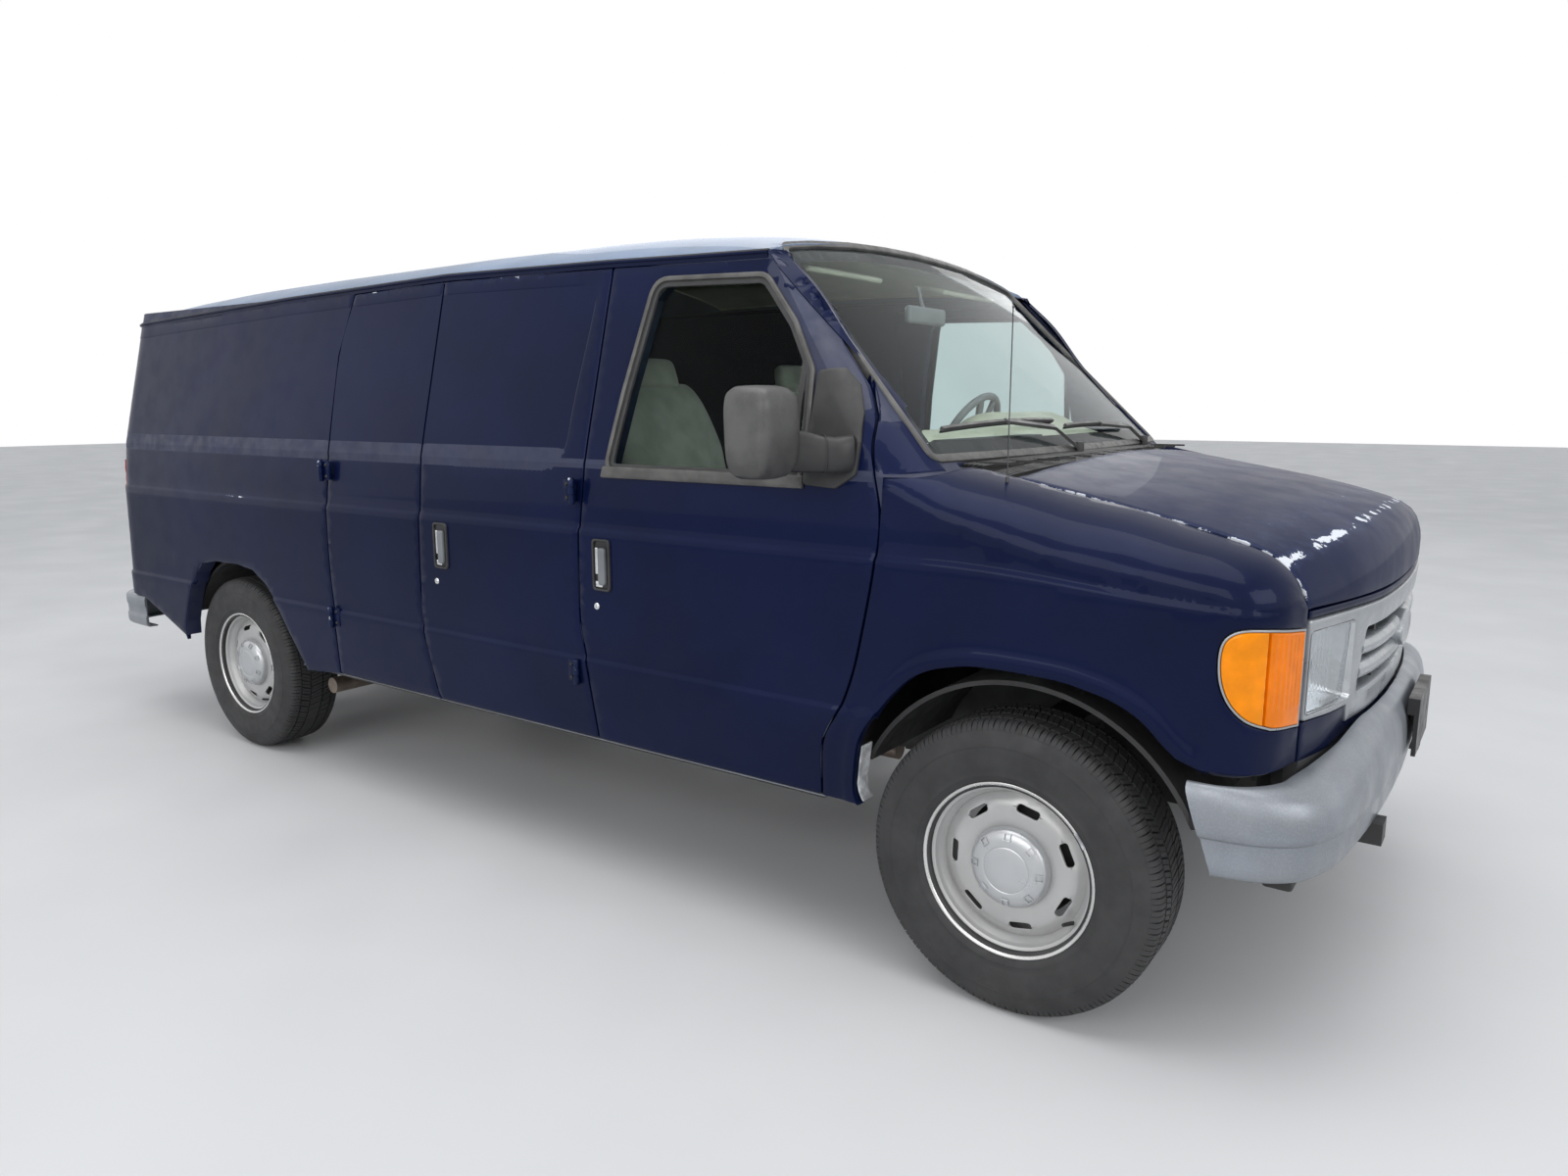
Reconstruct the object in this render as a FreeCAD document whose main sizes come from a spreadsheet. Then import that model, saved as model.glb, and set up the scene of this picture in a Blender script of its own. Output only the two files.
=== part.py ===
import FreeCAD, Part
import math
import os
from FreeCAD import Vector

# Full-size panel van. X points forward, Y to the left, Z up, in millimetres.
# The origin is on the ground under the middle of the vehicle's box.

doc = FreeCAD.newDocument("panel_van")
sheet = doc.addObject("Spreadsheet::Sheet", "sizes")

SIZES = (
    ("wheelbase", 3505), ("front_overhang", 755), ("rear_overhang", 1124), ("body_width", 2014),
    ("roof_height", 2029), ("mirror_span", 2430), ("front_track", 1763), ("rear_track", 1704),
    ("tyre_diameter", 735.4), ("tyre_width", 235), ("bead_diameter", 406.4), ("rim_width", 200),
    ("flange_depth", 16), ("bead_gap", 0.4), ("slot_count", 7), ("slot_size", 20), ("slot_reach", 153),
    ("wall", 60), ("flange_wall", 16), ("flange_lap", 26), ("screen_flange", 25), ("stop_width", 14),
    ("door_gap", 9), ("hood_wall", 36), ("glass_wall", 6), ("glass_seat", 3), ("running_gap", 5),
    ("seat_gap", 0.3), ("swing_room", 12), ("overrun", 60), ("rear_corner", 150), ("crease_low", 692),
    ("crease_high", 1090), ("crease_step", 7), ("sill_height", 450), ("sill_wall", 90),
    ("rail_width", 70), ("rail_depth", 120), ("rail_base", 430), ("rail_spread", 870),
    ("cross_width", 90), ("jack_pad", 8), ("floor_wall", 40), ("arch_room", 74), ("arch_wall", 12),
    ("axle_tube", 90), ("diff_radius", 150), ("diff_depth", 190), ("shaft_diameter", 76),
    ("spring_width", 65), ("spring_depth", 34), ("beam_width", 44), ("beam_depth", 80),
    ("coil_diameter", 110), ("kingpin_inset", 60), ("hub_back", 25), ("kingpin_diameter", 50),
    ("spindle_diameter", 56), ("engine_length", 620), ("engine_width", 520), ("engine_depth", 520),
    ("engine_base", 470), ("tank_length", 900), ("tank_width", 330), ("tank_depth", 160),
    ("pipe_diameter", 64), ("muffler_length", 560), ("muffler_diameter", 190), ("bumper_wall", 40),
    ("rear_bumper_depth", 150), ("plate_width", 305), ("plate_depth", 152), ("plate_wall", 18),
    ("plate_spacing", 178), ("plate_bore", 6.5), ("grille_wall", 45), ("seat_width", 560),
    ("cushion_length", 520), ("headrest_width", 270), ("seat_offset", 430), ("wheel_ring", 390),
    ("wheel_grip", 28), ("column_diameter", 56), ("mirror_width", 190), ("mirror_rise", 200),
    ("mirror_depth", 130), ("arm_wall", 70), ("wiper_arm", 16), ("antenna_length", 430),
    ("antenna_diameter", 6),
)


class Size:
    """A length that knows its value and the expression it comes from."""

    def __init__(self, value, text):
        self.value = float(value)
        self.text = text

    def mix(self, other, sign, result):
        text = other.text if isinstance(other, Size) else repr(other)
        return Size(result, "(%s %s %s)" % (self.text, sign, text))

    def __add__(self, other):
        return self.mix(other, "+", self.value + number(other))

    def __sub__(self, other):
        return self.mix(other, "-", self.value - number(other))

    def __mul__(self, other):
        return self.mix(other, "*", self.value * number(other))

    def __rmul__(self, other):
        return self * other

    def __truediv__(self, other):
        return self.mix(other, "/", self.value / number(other))

    def __neg__(self):
        return Size(-self.value, "(0 - %s)" % self.text)


def number(item):
    return item.value if isinstance(item, Size) else float(item)


named = {}
for row, (alias, value) in enumerate(SIZES, start=1):
    sheet.set("A%d" % row, alias)
    sheet.set("B%d" % row, str(value))
    sheet.setAlias("B%d" % row, alias)
    named[alias] = Size(value, "sizes.%s" % alias)
doc.recompute()


def size(alias):
    return named[alias]


def mm(alias):
    return named[alias].value


half_width = size("body_width") / 2
front_axle = (size("wheelbase") + size("rear_overhang") - size("front_overhang")) / 2
rear_axle = front_axle - size("wheelbase")
tyre_radius = size("tyre_diameter") / 2
zero = size("wheelbase") - size("wheelbase")


def station(share):
    """Place along the van: 0 at the rear axle, 1 at the front axle, -1 and 2 at the bumpers' faces."""
    if share < 0:
        return rear_axle + size("rear_overhang") * share
    if share > 1:
        return front_axle + size("front_overhang") * (share - 1)
    return rear_axle + size("wheelbase") * share


def sx(share):
    return station(share).value


def sz(share):
    return mm("roof_height") * share


def sy(share):
    return half_width.value * share


# Objects of the document whose sizes are bound to the sheet.

def bind(item, **props):
    for name, value in props.items():
        item.setExpression(name.replace("_", "."), value.text)


def place(item, x, y, z, turn=None, angle=0):
    axis = turn or Vector(0, 0, 1)
    item.Placement = FreeCAD.Placement(Vector(0, 0, 0), FreeCAD.Rotation(axis, angle))
    bind(item, Placement_Base_x=x, Placement_Base_y=y, Placement_Base_z=z)


def box(name, length, width, height, x, y, z):
    """A box whose x is its rear end, y its middle and z its underside."""
    item = doc.addObject("Part::Box", name)
    bind(item, Length=length, Width=width, Height=height)
    place(item, x, y - width / 2, z)
    return item


def rod(name, diameter, length, x, y, z, along):
    item = doc.addObject("Part::Cylinder", name)
    bind(item, Radius=diameter / 2, Height=length)
    turns = {"X": (Vector(0, 1, 0), 90), "Y": (Vector(1, 0, 0), -90), "Z": (Vector(0, 0, 1), 0)}
    place(item, x, y, z, *turns[along])
    return item


def fuse(name, items):
    item = doc.addObject("Part::MultiFuse", name)
    item.Shapes = items
    return item


def cut(name, base, tool):
    item = doc.addObject("Part::Cut", name)
    item.Base = base
    item.Tool = tool
    return item


def group(name, items):
    item = doc.addObject("Part::Compound", name)
    item.Links = items
    return item


def feature(name, shape):
    item = doc.addObject("Part::Feature", name)
    item.Shape = shape
    item.Placement = FreeCAD.Placement()
    return item


def plane_of(body, role):
    return next(item for item in body.Origin.OriginFeatures if item.Role == role)


def sketch(body, name, role, points):
    """A closed outline of straight edges, each corner held by two bound distances."""
    drawing = body.newObject("Sketcher::SketchObject", name)
    drawing.AttachmentSupport = [(plane_of(body, role), "")]
    drawing.MapMode = "FlatFace"
    corners = [Vector(number(a), number(b), 0) for a, b in points]
    count = len(corners)
    for index in range(count):
        drawing.addGeometry(Part.LineSegment(corners[index], corners[(index + 1) % count]), False)
    import Sketcher
    for index in range(count):
        drawing.addConstraint(Sketcher.Constraint("Coincident", index, 2, (index + 1) % count, 1))
    for index, (a, b) in enumerate(points):
        for kind, value in (("DistanceX", a), ("DistanceY", b)):
            where = drawing.addConstraint(Sketcher.Constraint(kind, -1, 1, index, 1, number(value)))
            if isinstance(value, Size) and abs(value.value) > 0:
                drawing.setExpression("Constraints[%d]" % where, value.text)
    return drawing


def pad_body(name, role, points, length, both=True):
    body = doc.addObject("PartDesign::Body", name)
    drawing = sketch(body, name + "_outline", role, points)
    pad = body.newObject("PartDesign::Pad", name + "_pad")
    pad.Profile = drawing
    pad.Midplane = both
    bind(pad, Length=length)
    return body


def spun_body(name, points):
    """A solid of revolution about the body's own Y, from (radius, width) corners."""
    body = doc.addObject("PartDesign::Body", name)
    drawing = sketch(body, name + "_section", "XY_Plane", points)
    spin = body.newObject("PartDesign::Revolution", name + "_spin")
    spin.Profile = drawing
    spin.ReferenceAxis = (drawing, ["V_Axis"])
    spin.Angle = 360
    drawing.Visibility = False
    return body


# Shapes of the body panels, which are free forms made from outlines in shares.

def wire_xz(points, y):
    corners = [Vector(x, y, z) for x, z in points]
    return Part.makePolygon(corners + corners[:1])


def prism_xz(points, low, high):
    return Part.Face(wire_xz(points, low)).extrude(Vector(0, high - low, 0))


def prism_yz(points, low, high):
    corners = [Vector(low, y, z) for y, z in points]
    return Part.Face(Part.makePolygon(corners + corners[:1])).extrude(Vector(high - low, 0, 0))


def prism_xy(points, low, high):
    corners = [Vector(x, y, low) for x, y in points]
    return Part.Face(Part.makePolygon(corners + corners[:1])).extrude(Vector(0, 0, high - low))


def block(x0, x1, y0, y1, z0, z1):
    return Part.makeBox(x1 - x0, y1 - y0, z1 - z0, Vector(x0, y0, z0))


def grown(points, distance):
    """The same outline with every edge moved out by a distance."""
    area = sum(points[i - 1][0] * points[i][1] - points[i][0] * points[i - 1][1] for i in range(len(points)))
    turn = 1 if area > 0 else -1
    moved = []
    for i in range(len(points)):
        before, here, after = points[i - 1], points[i], points[(i + 1) % len(points)]
        first = unit(before, here)
        second = unit(here, after)
        out_first = (first[1] * turn, -first[0] * turn)
        out_second = (second[1] * turn, -second[0] * turn)
        spread = 1 + out_first[0] * out_second[0] + out_first[1] * out_second[1]
        moved.append((here[0] + distance * (out_first[0] + out_second[0]) / spread,
                      here[1] + distance * (out_first[1] + out_second[1]) / spread))
    return moved


def unit(start, end):
    across, up = end[0] - start[0], end[1] - start[1]
    length = math.hypot(across, up)
    return across / length, up / length


def mirrored(shape):
    return shape.mirror(Vector(0, 0, 0), Vector(0, 1, 0))


# Plan of the body at one height: a flat back, round rear corners, straight sides,
# round front corners and a bowed front.

def plan(z, width, rear, corner, side_end, bulge, glass_edge, bow):
    (bulge_x, bulge_y), (edge_x, edge_y) = bulge, glass_edge
    knee = corner * (1 - math.sqrt(0.5))

    def at(x, y):
        return Vector(x, y, z)
    edges = [
        Part.LineSegment(at(rear, -width + corner), at(rear, width - corner)),
        Part.Arc(at(rear, width - corner), at(rear + knee, width - knee), at(rear + corner, width)),
        Part.LineSegment(at(rear + corner, width), at(side_end, width)),
        Part.Arc(at(side_end, width), at(bulge_x, bulge_y), at(edge_x, edge_y)),
        Part.Arc(at(edge_x, edge_y), at(edge_x + bow, 0), at(edge_x, -edge_y)),
        Part.Arc(at(edge_x, -edge_y), at(bulge_x, -bulge_y), at(side_end, -width)),
        Part.LineSegment(at(side_end, -width), at(rear + corner, -width)),
        Part.Arc(at(rear + corner, -width), at(rear + knee, -width + knee), at(rear, -width + corner)),
    ]
    return Part.Wire([edge.toShape() for edge in edges])


rear_foot_share, rear_top_share = -0.883, -0.838
belt_share, gutter_share = 0.636, 0.922
width_shares = {"belt": 0.976, "gutter": 0.850, "high": 0.985}
glass_line_shares = ((0.9358, 0.880), (0.7735, 0.748))
pillar_line_shares = ((0.896, 0.9175, 0.952), (0.7765, 0.7815, 0.800))
nose_shares = {"side_end": 1.28, "bulge": (1.66, 0.935), "edge": (1.772, 0.775), "bow": 0.145}


def between(low, high, share):
    return low + (high - low) * share


def upper_level(z, inset):
    """The plan above the belt, where the glass and the pillars lean back."""
    share = (z - sz(belt_share)) / (sz(gutter_share) - sz(belt_share))
    low, high = glass_line_shares
    low_pillar, high_pillar = pillar_line_shares
    width = between(sy(width_shares["belt"]), sy(width_shares["gutter"]), share) - inset
    rear = rear_x(z) + inset
    side_end = between(sx(low_pillar[0]), sx(high_pillar[0]), share) - inset
    bulge = (between(sx(low_pillar[1]), sx(high_pillar[1]), share) - inset,
             between(sy(low_pillar[2]), sy(high_pillar[2]), share) - inset)
    edge = (between(sx(low[0]), sx(high[0]), share) - inset, between(sy(low[1]), sy(high[1]), share) - inset)
    return plan(z, width, rear, mm("rear_corner") - inset, side_end, bulge, edge, sy(0.054))


def rear_x(z):
    share = (z - mm("sill_height")) / (sz(gutter_share) - mm("sill_height"))
    return between(sx(rear_foot_share), sx(rear_top_share), share)


def lower_level(z, width, inset):
    nose = nose_shares
    edge = (sx(nose["edge"][0]) - inset, sy(nose["edge"][1]) - inset * 0.4)
    bulge = (sx(nose["bulge"][0]) - inset * 0.8, sy(nose["bulge"][1]) - inset * 0.8)
    return plan(z, width - inset, rear_x(z) + inset, mm("rear_corner") - inset,
                sx(nose["side_end"]), bulge, edge, sy(nose["bow"]))


def tub(inset):
    """The body's solid inside its skin, moved in by an inset on the sides and the ends."""
    top, step = sy(1), mm("crease_step")
    low, high, belt = mm("crease_low"), mm("crease_high"), sz(belt_share)
    base = mm("sill_height")
    belt_width = sy(width_shares["belt"])
    parts = [
        Part.makeLoft([lower_level(base, top - step, inset), lower_level(low, top, inset)], True, True),
        Part.makeLoft([lower_level(low, top - step, inset), lower_level(high, top - step, inset)], True,
                      True),
        Part.makeLoft([lower_level(high, top - 2 * step, inset), lower_level(belt, belt_width, inset)],
                      True, True),
        Part.makeLoft([upper_level(belt, inset), upper_level(mm("roof_height"), inset)], True, True),
    ]
    return parts


hood_section_shares = (
    (0.000, ((0.936, 0.662), (1.085, 0.641), (1.48, 0.620), (1.745, 0.600), (1.865, 0.584), (1.910, 0.552),
             (1.915, 0.509))),
    (0.400, ((0.936, 0.657), (1.085, 0.636), (1.48, 0.613), (1.725, 0.592), (1.840, 0.574), (1.882, 0.545),
             (1.887, 0.509))),
    (0.755, ((0.936, 0.648), (1.085, 0.622), (1.46, 0.592), (1.640, 0.573), (1.715, 0.555), (1.762, 0.532),
             (1.775, 0.509))),
    (1.010, ((0.936, 0.628), (1.085, 0.590), (1.46, 0.556), (1.560, 0.545), (1.620, 0.535), (1.680, 0.522),
             (1.700, 0.509))),
)


def hood_cover(drop, back):
    """What lies under the hood's and fenders' top surface, lowered by a drop."""
    sections = []
    rows = list(reversed(hood_section_shares)) + list(hood_section_shares[1:])
    for index, (across, points) in enumerate(rows):
        y = sy(across) * (-1 if index < len(hood_section_shares) else 1)
        line = [(sx(a) - back, sz(b) - drop) for a, b in points]
        ends = [(line[-1][0], mm("sill_height") - mm("overrun")),
                (line[0][0], mm("sill_height") - mm("overrun"))]
        sections.append(wire_xz(line + ends, y))
    return Part.makeLoft(sections, True, True)


def crown(drop):
    """What lies under the roof's arched top, lowered by a drop."""
    width, height, eave = sy(crown_width_share), mm("roof_height") - drop, sz(gutter_share) - drop
    low = mm("sill_height") - mm("overrun")
    rear, front = sx(-1), sx(1)

    def at(y, z):
        return Vector(rear, y, z)
    knee_y, knee_z = sy(crown_knee_shares[0]), sz(crown_knee_shares[1]) - drop
    edges = [
        Part.LineSegment(at(-width, low), at(width, low)),
        Part.LineSegment(at(width, low), at(width, eave)),
        Part.LineSegment(at(width, eave), at(knee_y, knee_z)),
        Part.Arc(at(knee_y, knee_z), at(0, height), at(-knee_y, knee_z)),
        Part.LineSegment(at(-knee_y, knee_z), at(-width, eave)),
        Part.LineSegment(at(-width, eave), at(-width, low)),
    ]
    arch = Part.Face(Part.Wire([edge.toShape() for edge in edges])).extrude(Vector(front - rear, 0, 0))
    side = [(sx(a), sz(b) - drop) for a, b in crown_side_shares]
    side += [(sx(crown_side_shares[-1][0]), low), (sx(crown_side_shares[0][0]), low)]
    return arch.common(prism_xz(side, -sy(1), sy(1)))


crown_width_share = 1.0
crown_knee_shares = (0.760, 0.9650)
crown_side_shares = ((-1.0, 0.880), (-0.845, 0.905), (-0.780, 0.960), (-0.600, 0.986), (0.0, 1.0),
                     (0.60, 1.0), (0.70, 0.985), (0.765, 0.962), (0.800, 0.930), (0.93, 0.80), (0.99, 0.70))


def body_solid(inset, drop):
    low, middle, waist, upper = tub(inset)
    lower = low.fuse([middle, waist])
    cabin_end = sx(hood_section_shares[0][1][0][0])
    rear_part = block(sx(-1), cabin_end, -sy(1), sy(1), 0, sz(1))
    lower_rear = lower.common(rear_part)
    nose = lower.cut(rear_part).common(hood_cover(drop, inset * 0.9))
    return lower_rear.fuse([nose, upper.common(crown(inset * roof_drop_share))])


roof_drop_share = 0.667
wall, lap, gap = mm("wall"), mm("flange_lap"), mm("door_gap")
flange = mm("flange_wall")
outer = body_solid(0, 0)
middle = body_solid(flange, flange)
behind = body_solid(flange + gap, flange + gap)
inner = body_solid(wall, mm("hood_wall"))
shell = outer.cut(inner)
skin_layer = outer.cut(middle)
wall_layer = middle.cut(inner)
rebate_layer = outer.cut(behind)

door_rear_shares = ((0.613, 0.918), (0.607, 0.644), (0.602, 0.532), (0.601, 0.403), (0.607, 0.348),
                    (0.620, 0.222))
door_front_shares = ((0.854, 0.222), (0.855, 0.296), (0.869, 0.342), (0.878, 0.382), (0.885, 0.429),
                     (0.896, 0.529),
                     (0.898, 0.595), (0.888, 0.667), (0.884, 0.706), (0.870, 0.747), (0.843, 0.801),
                     (0.815, 0.863), (0.785, 0.912), (0.780, 0.918))
split_shares = ((0.386, 0.918), (0.382, 0.628), (0.377, 0.415), (0.380, 0.337), (0.394, 0.245),
                (0.400, 0.222))
quarter_shares = ((0.238, 0.918), (0.222, 0.810), (0.224, 0.628), (0.220, 0.541), (0.219, 0.421),
                  (0.223, 0.337), (0.226, 0.222))
window_shares = ((0.633, 0.628), (0.644, 0.739), (0.660, 0.867), (0.675, 0.893), (0.770, 0.886),
                 (0.801, 0.838), (0.826, 0.784), (0.831, 0.690), (0.829, 0.628))
rear_door_shares = ((0.0, 0.300), (0.850, 0.300), (0.850, 0.640), (0.800, 0.800), (0.735, 0.893),
                    (0.0, 0.905))
rear_window_shares = ((0.115, 0.640), (0.735, 0.640), (0.690, 0.800), (0.640, 0.862), (0.115, 0.868))
screen_shares = ((0.884, 0.655), (0.752, 0.936), (0.400, 0.955), (0.0, 0.961))
rear_arch_shares = ((-1.12, 0.0), (-1.09, 0.169), (-1.06, 0.40), (-0.95, 0.64), (-0.84, 0.83), (-0.70, 1.03),
                    (-0.56, 1.15), (-0.256, 1.20), (0.242, 1.208), (0.555, 1.170), (0.810, 1.034),
                    (1.028, 0.822), (1.224, 0.561), (1.40, 0.333), (1.53, 0.169), (1.60, 0.0))
front_arch_shares = ((-1.055, 0.0), (-1.055, 0.167), (-1.104, 0.208), (-1.126, 0.360), (-1.099, 0.626),
                     (-1.044, 0.773), (-0.933, 0.928), (-0.824, 1.064), (-0.702, 1.184), (-0.579, 1.257),
                     (-0.441, 1.303), (-0.196, 1.344), (0.267, 1.335), (0.492, 1.298), (0.661, 1.249),
                     (0.816, 1.162), (0.944, 1.034), (1.020, 0.945), (1.30, 0.935), (1.60, 1.0), (2.2, 1.0),
                     (2.2, 0.0))
signal_shares = ((1.800, 0.505), (1.678, 0.501), (1.630, 0.498), (1.598, 0.490), (1.585, 0.476),
                 (1.588, 0.455),
                 (1.608, 0.434), (1.640, 0.416), (1.675, 0.405), (1.722, 0.403), (1.800, 0.408))
hood_side_shares = ((0.976, 0.780), (1.10, 0.786), (1.60, 0.790), (1.80, 0.785), (2.05, 0.780))
hood_lip_share = 0.512
lamp_y_shares, lamp_z_shares = (0.605, 0.772), (0.398, 0.492)
grille_y_share, grille_z_shares = 0.590, (0.372, 0.500)
header_foot_share = 0.352
grille_bars = 4
tail_rise_shares = ((-0.37, 0.221), (-0.68, 0.289), (-1.10, 0.295))
tail_lamp_shares = (0.872, 0.955, 0.44, 0.60)
cab_front_share, firewall_share = 0.872, 0.58
pillar_foot_shares, pillar_foot_y_shares = (0.606, 0.626, 0.365, 0.48), (0.880, 0.925)
cargo_hinge_share = 0.598
sill_shares = (0.175, 0.852)
rear_box_share, front_box_share = 0.700, 0.472
bumper_shares = {"width": 0.985, "side_end": 1.60, "bulge": (1.83, 0.915), "edge": (1.935, 0.760),
                 "bow": 0.040, "low": 0.238, "high": 0.334, "plate": 0.318}
bumper_side_shares = ((1.515, 0.336), (1.54, 0.305), (1.60, 0.238), (1.82, 0.236), (2.2, 0.236), (2.2, 0.336))
rear_bumper_shares = ((-0.735, 0.985), (-0.90, 0.985), (-0.975, 0.900), (-1.0, 0.60))
rear_bumper_low_share = 0.212
cross_shares = (-0.78, -0.35, 0.36, 0.62, 1.52)
jack_shares = (-0.25, 0.84)
leaf_shares = ((-1.0, 1.0), (-0.5, 0.30), (-0.15, 0.02), (0.0, 0.0), (0.15, 0.02), (0.5, 0.30), (1.0, 1.0))
dash_shares = ((0.870, 0.40), (0.815, 0.42), (0.800, 0.50), (0.800, 0.610), (0.815, 0.650), (0.860, 0.655),
               (0.905, 0.640), (0.905, 0.590), (0.870, 0.585))
dash_width_share, cover_share = 0.86, 0.775
steering_shares, steering_tilt, column_share = (0.765, 0.645), 118, 0.835
seat_shares = ((0.560, 0.425), (0.730, 0.430), (0.735, 0.480), (0.720, 0.500), (0.610, 0.478), (0.590, 0.560),
               (0.566, 0.735), (0.548, 0.762), (0.528, 0.755), (0.530, 0.700), (0.560, 0.480))
headrest_shares = ((0.530, 0.745), (0.556, 0.745), (0.552, 0.800), (0.524, 0.800))
pedestal_shares = ((0.575, 0.35), (0.715, 0.35), (0.725, 0.44), (0.570, 0.44))
mirror_shares = {"x": 0.812, "low": 0.636, "foot": 0.90, "arm_end": 0.885, "arm_low": 0.643}
antenna_shares = (0.975, 0.845, 0.622)
wiper_shares = (((-0.80, 0.672), (-0.10, 0.655), (0.10, 0.640)),
                ((-0.02, 0.674), (0.55, 0.655), (0.62, 0.642)))


def xz(shares):
    return [(sx(a), sz(b)) for a, b in shares]


def yz(shares):
    return [(sy(a), sz(b)) for a, b in shares]


def side_prism(points):
    return prism_xz(points, -sy(1) - mm("overrun"), -sy(0.735))


def rear_prism(points):
    return prism_yz(points, sx(-1) - mm("overrun"), sx(-0.55))


def arch_prism(shares, axle):
    points = [(axle.value + a * tyre_radius.value, tyre_radius.value * (1 + b)) for a, b in shares]
    points[0] = (points[0][0], 0)
    points[-1] = (points[-1][0], 0)
    return prism_xz(points, -sy(1) - mm("overrun"), -sy(0.80))


def panel(outline, prism):
    """A door's shape: its skin out to the gap and its frame inside the flange."""
    skin = skin_layer.common(prism(grown(outline, -gap / 2)))
    frame = wall_layer.common(prism(grown(outline, -gap / 2 - lap)))
    return skin.fuse([frame]).cut(screen_frame)


def doorway(outline, prism):
    """What the body leaves open for a door: a rebate for its skin and a hole for its frame."""
    rebate = rebate_layer.common(prism(grown(outline, gap / 2)))
    hole = prism(grown(outline, gap / 2 - lap))
    return [rebate, hole]


def glass(outline, prism, depth):
    outside = body_solid(depth, depth)
    inside = body_solid(depth + mm("glass_wall"), depth + mm("glass_wall"))
    return outside.cut(inside).common(prism(outline))


def lines(first, second):
    return xz(first) + xz(tuple(reversed(second)))


front_outline = xz(door_rear_shares) + xz(door_front_shares)
cargo_outline = lines(split_shares, door_rear_shares)
tail_outline = lines(quarter_shares, split_shares)
cargo_opening = lines(quarter_shares, door_rear_shares)
front_window, rear_window = xz(window_shares), yz(rear_window_shares)
rear_outline = yz(rear_door_shares)
rear_opening = rear_outline[1:] + [(-y, z) for y, z in reversed(rear_outline[1:-1])]

screen_outline = yz(screen_shares)
screen_outline = screen_outline + [(-y, z) for y, z in reversed(screen_outline[:-1])]
screen_hole = prism_yz(screen_outline, sx(0.70), sx(1.10))
screen_frame = prism_yz(grown(screen_outline, mm("screen_flange")), sx(0.70), sx(1.10))

rear_arch = arch_prism(rear_arch_shares, rear_axle)
front_arch = arch_prism(front_arch_shares, front_axle)

door_shape = panel(front_outline, side_prism).cut(side_prism(front_window)).cut(front_arch)
cargo_shape = panel(cargo_outline, side_prism)
tail_shape = panel(tail_outline, side_prism).cut(rear_arch)
rear_shape = panel(rear_outline, rear_prism).cut(rear_prism(rear_window))
pane_shape = glass(front_window, side_prism, mm("glass_seat") + flange)
rear_pane_shape = glass(rear_window, rear_prism, mm("glass_seat") + flange)

hood_outline = [(sx(a), sy(b)) for a, b in hood_side_shares]
hood_outline = hood_outline + [(x, -y) for x, y in reversed(hood_outline)]
lip, top = sz(hood_lip_share), sz(1)
hood_shape = shell.common(prism_xy(hood_outline, lip, top))
hood_hole = prism_xy(grown(hood_outline, gap), lip - gap, top)

depth = mm("glass_seat")
screen_shape = body_solid(depth, depth).cut(body_solid(depth + mm("glass_wall"), depth + mm("glass_wall")))
screen_shape = screen_shape.common(screen_hole)

nose_start = sx(1.5)
nose_face = block(nose_start, sx(2.1), -hood_outline[0][1] * 1.0, hood_outline[0][1] * 1.0,
                  sz(header_foot_share), lip - gap)


def front_block(y_share, z_low, z_high):
    return block(nose_start, sx(2.1), -sy(y_share), sy(y_share), sz(z_low), sz(z_high))


def lamp_block():
    inside, outside = lamp_y_shares
    return block(nose_start, sx(2.1), sy(inside), sy(outside), sz(lamp_z_shares[0]), sz(lamp_z_shares[1]))


header_wall = outer.cut(body_solid(mm("grille_wall"), mm("grille_wall")))
lamp_shape = header_wall.common(lamp_block())
grille_block = front_block(grille_y_share, *grille_z_shares)
grille_shape = header_wall.common(grille_block)
row_height = (sz(grille_z_shares[1]) - sz(grille_z_shares[0])) / grille_bars
for row in range(grille_bars):
    base = sz(grille_z_shares[0]) + row_height * (row + 0.25)
    for side in (-1, 1):
        reach = sorted((side * sy(0.075), side * sy(grille_y_share - 0.025)))
        grille_shape = grille_shape.cut(block(nose_start, sx(2.1), reach[0], reach[1], base,
                                              base + row_height * 0.55))
header_shape = header_wall.common(nose_face).cut(grille_block).cut(lamp_block()).cut(mirrored(lamp_block()))

signal_prism = prism_xz(xz(signal_shares), -sy(1.05), -sy(lamp_y_shares[1] + 0.008))
signal_shape = header_wall.common(signal_prism)

belt, gutter = sz(belt_share), sz(gutter_share)
fender_line = [(x, z) for x, z in grown(front_outline, gap / 2) if x > sx(0.80) and z < belt]
fender_outline = sorted(fender_line, key=lambda point: point[1])
fender_outline = [(fender_outline[0][0], 0)] + fender_outline
fender_outline += [(fender_outline[-1][0], belt), (sx(2.1), belt), (sx(2.1), 0)]
fender_prism = prism_xz(fender_outline, -sy(1.05), -(hood_outline[0][1] + gap))
fender_shape = shell.common(fender_prism).cut(front_arch).cut(signal_prism).cut(hood_hole)
fender_shape = fender_shape.cut(prism_xz(front_outline, -sy(1.05), -sy(0.735)))

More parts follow.
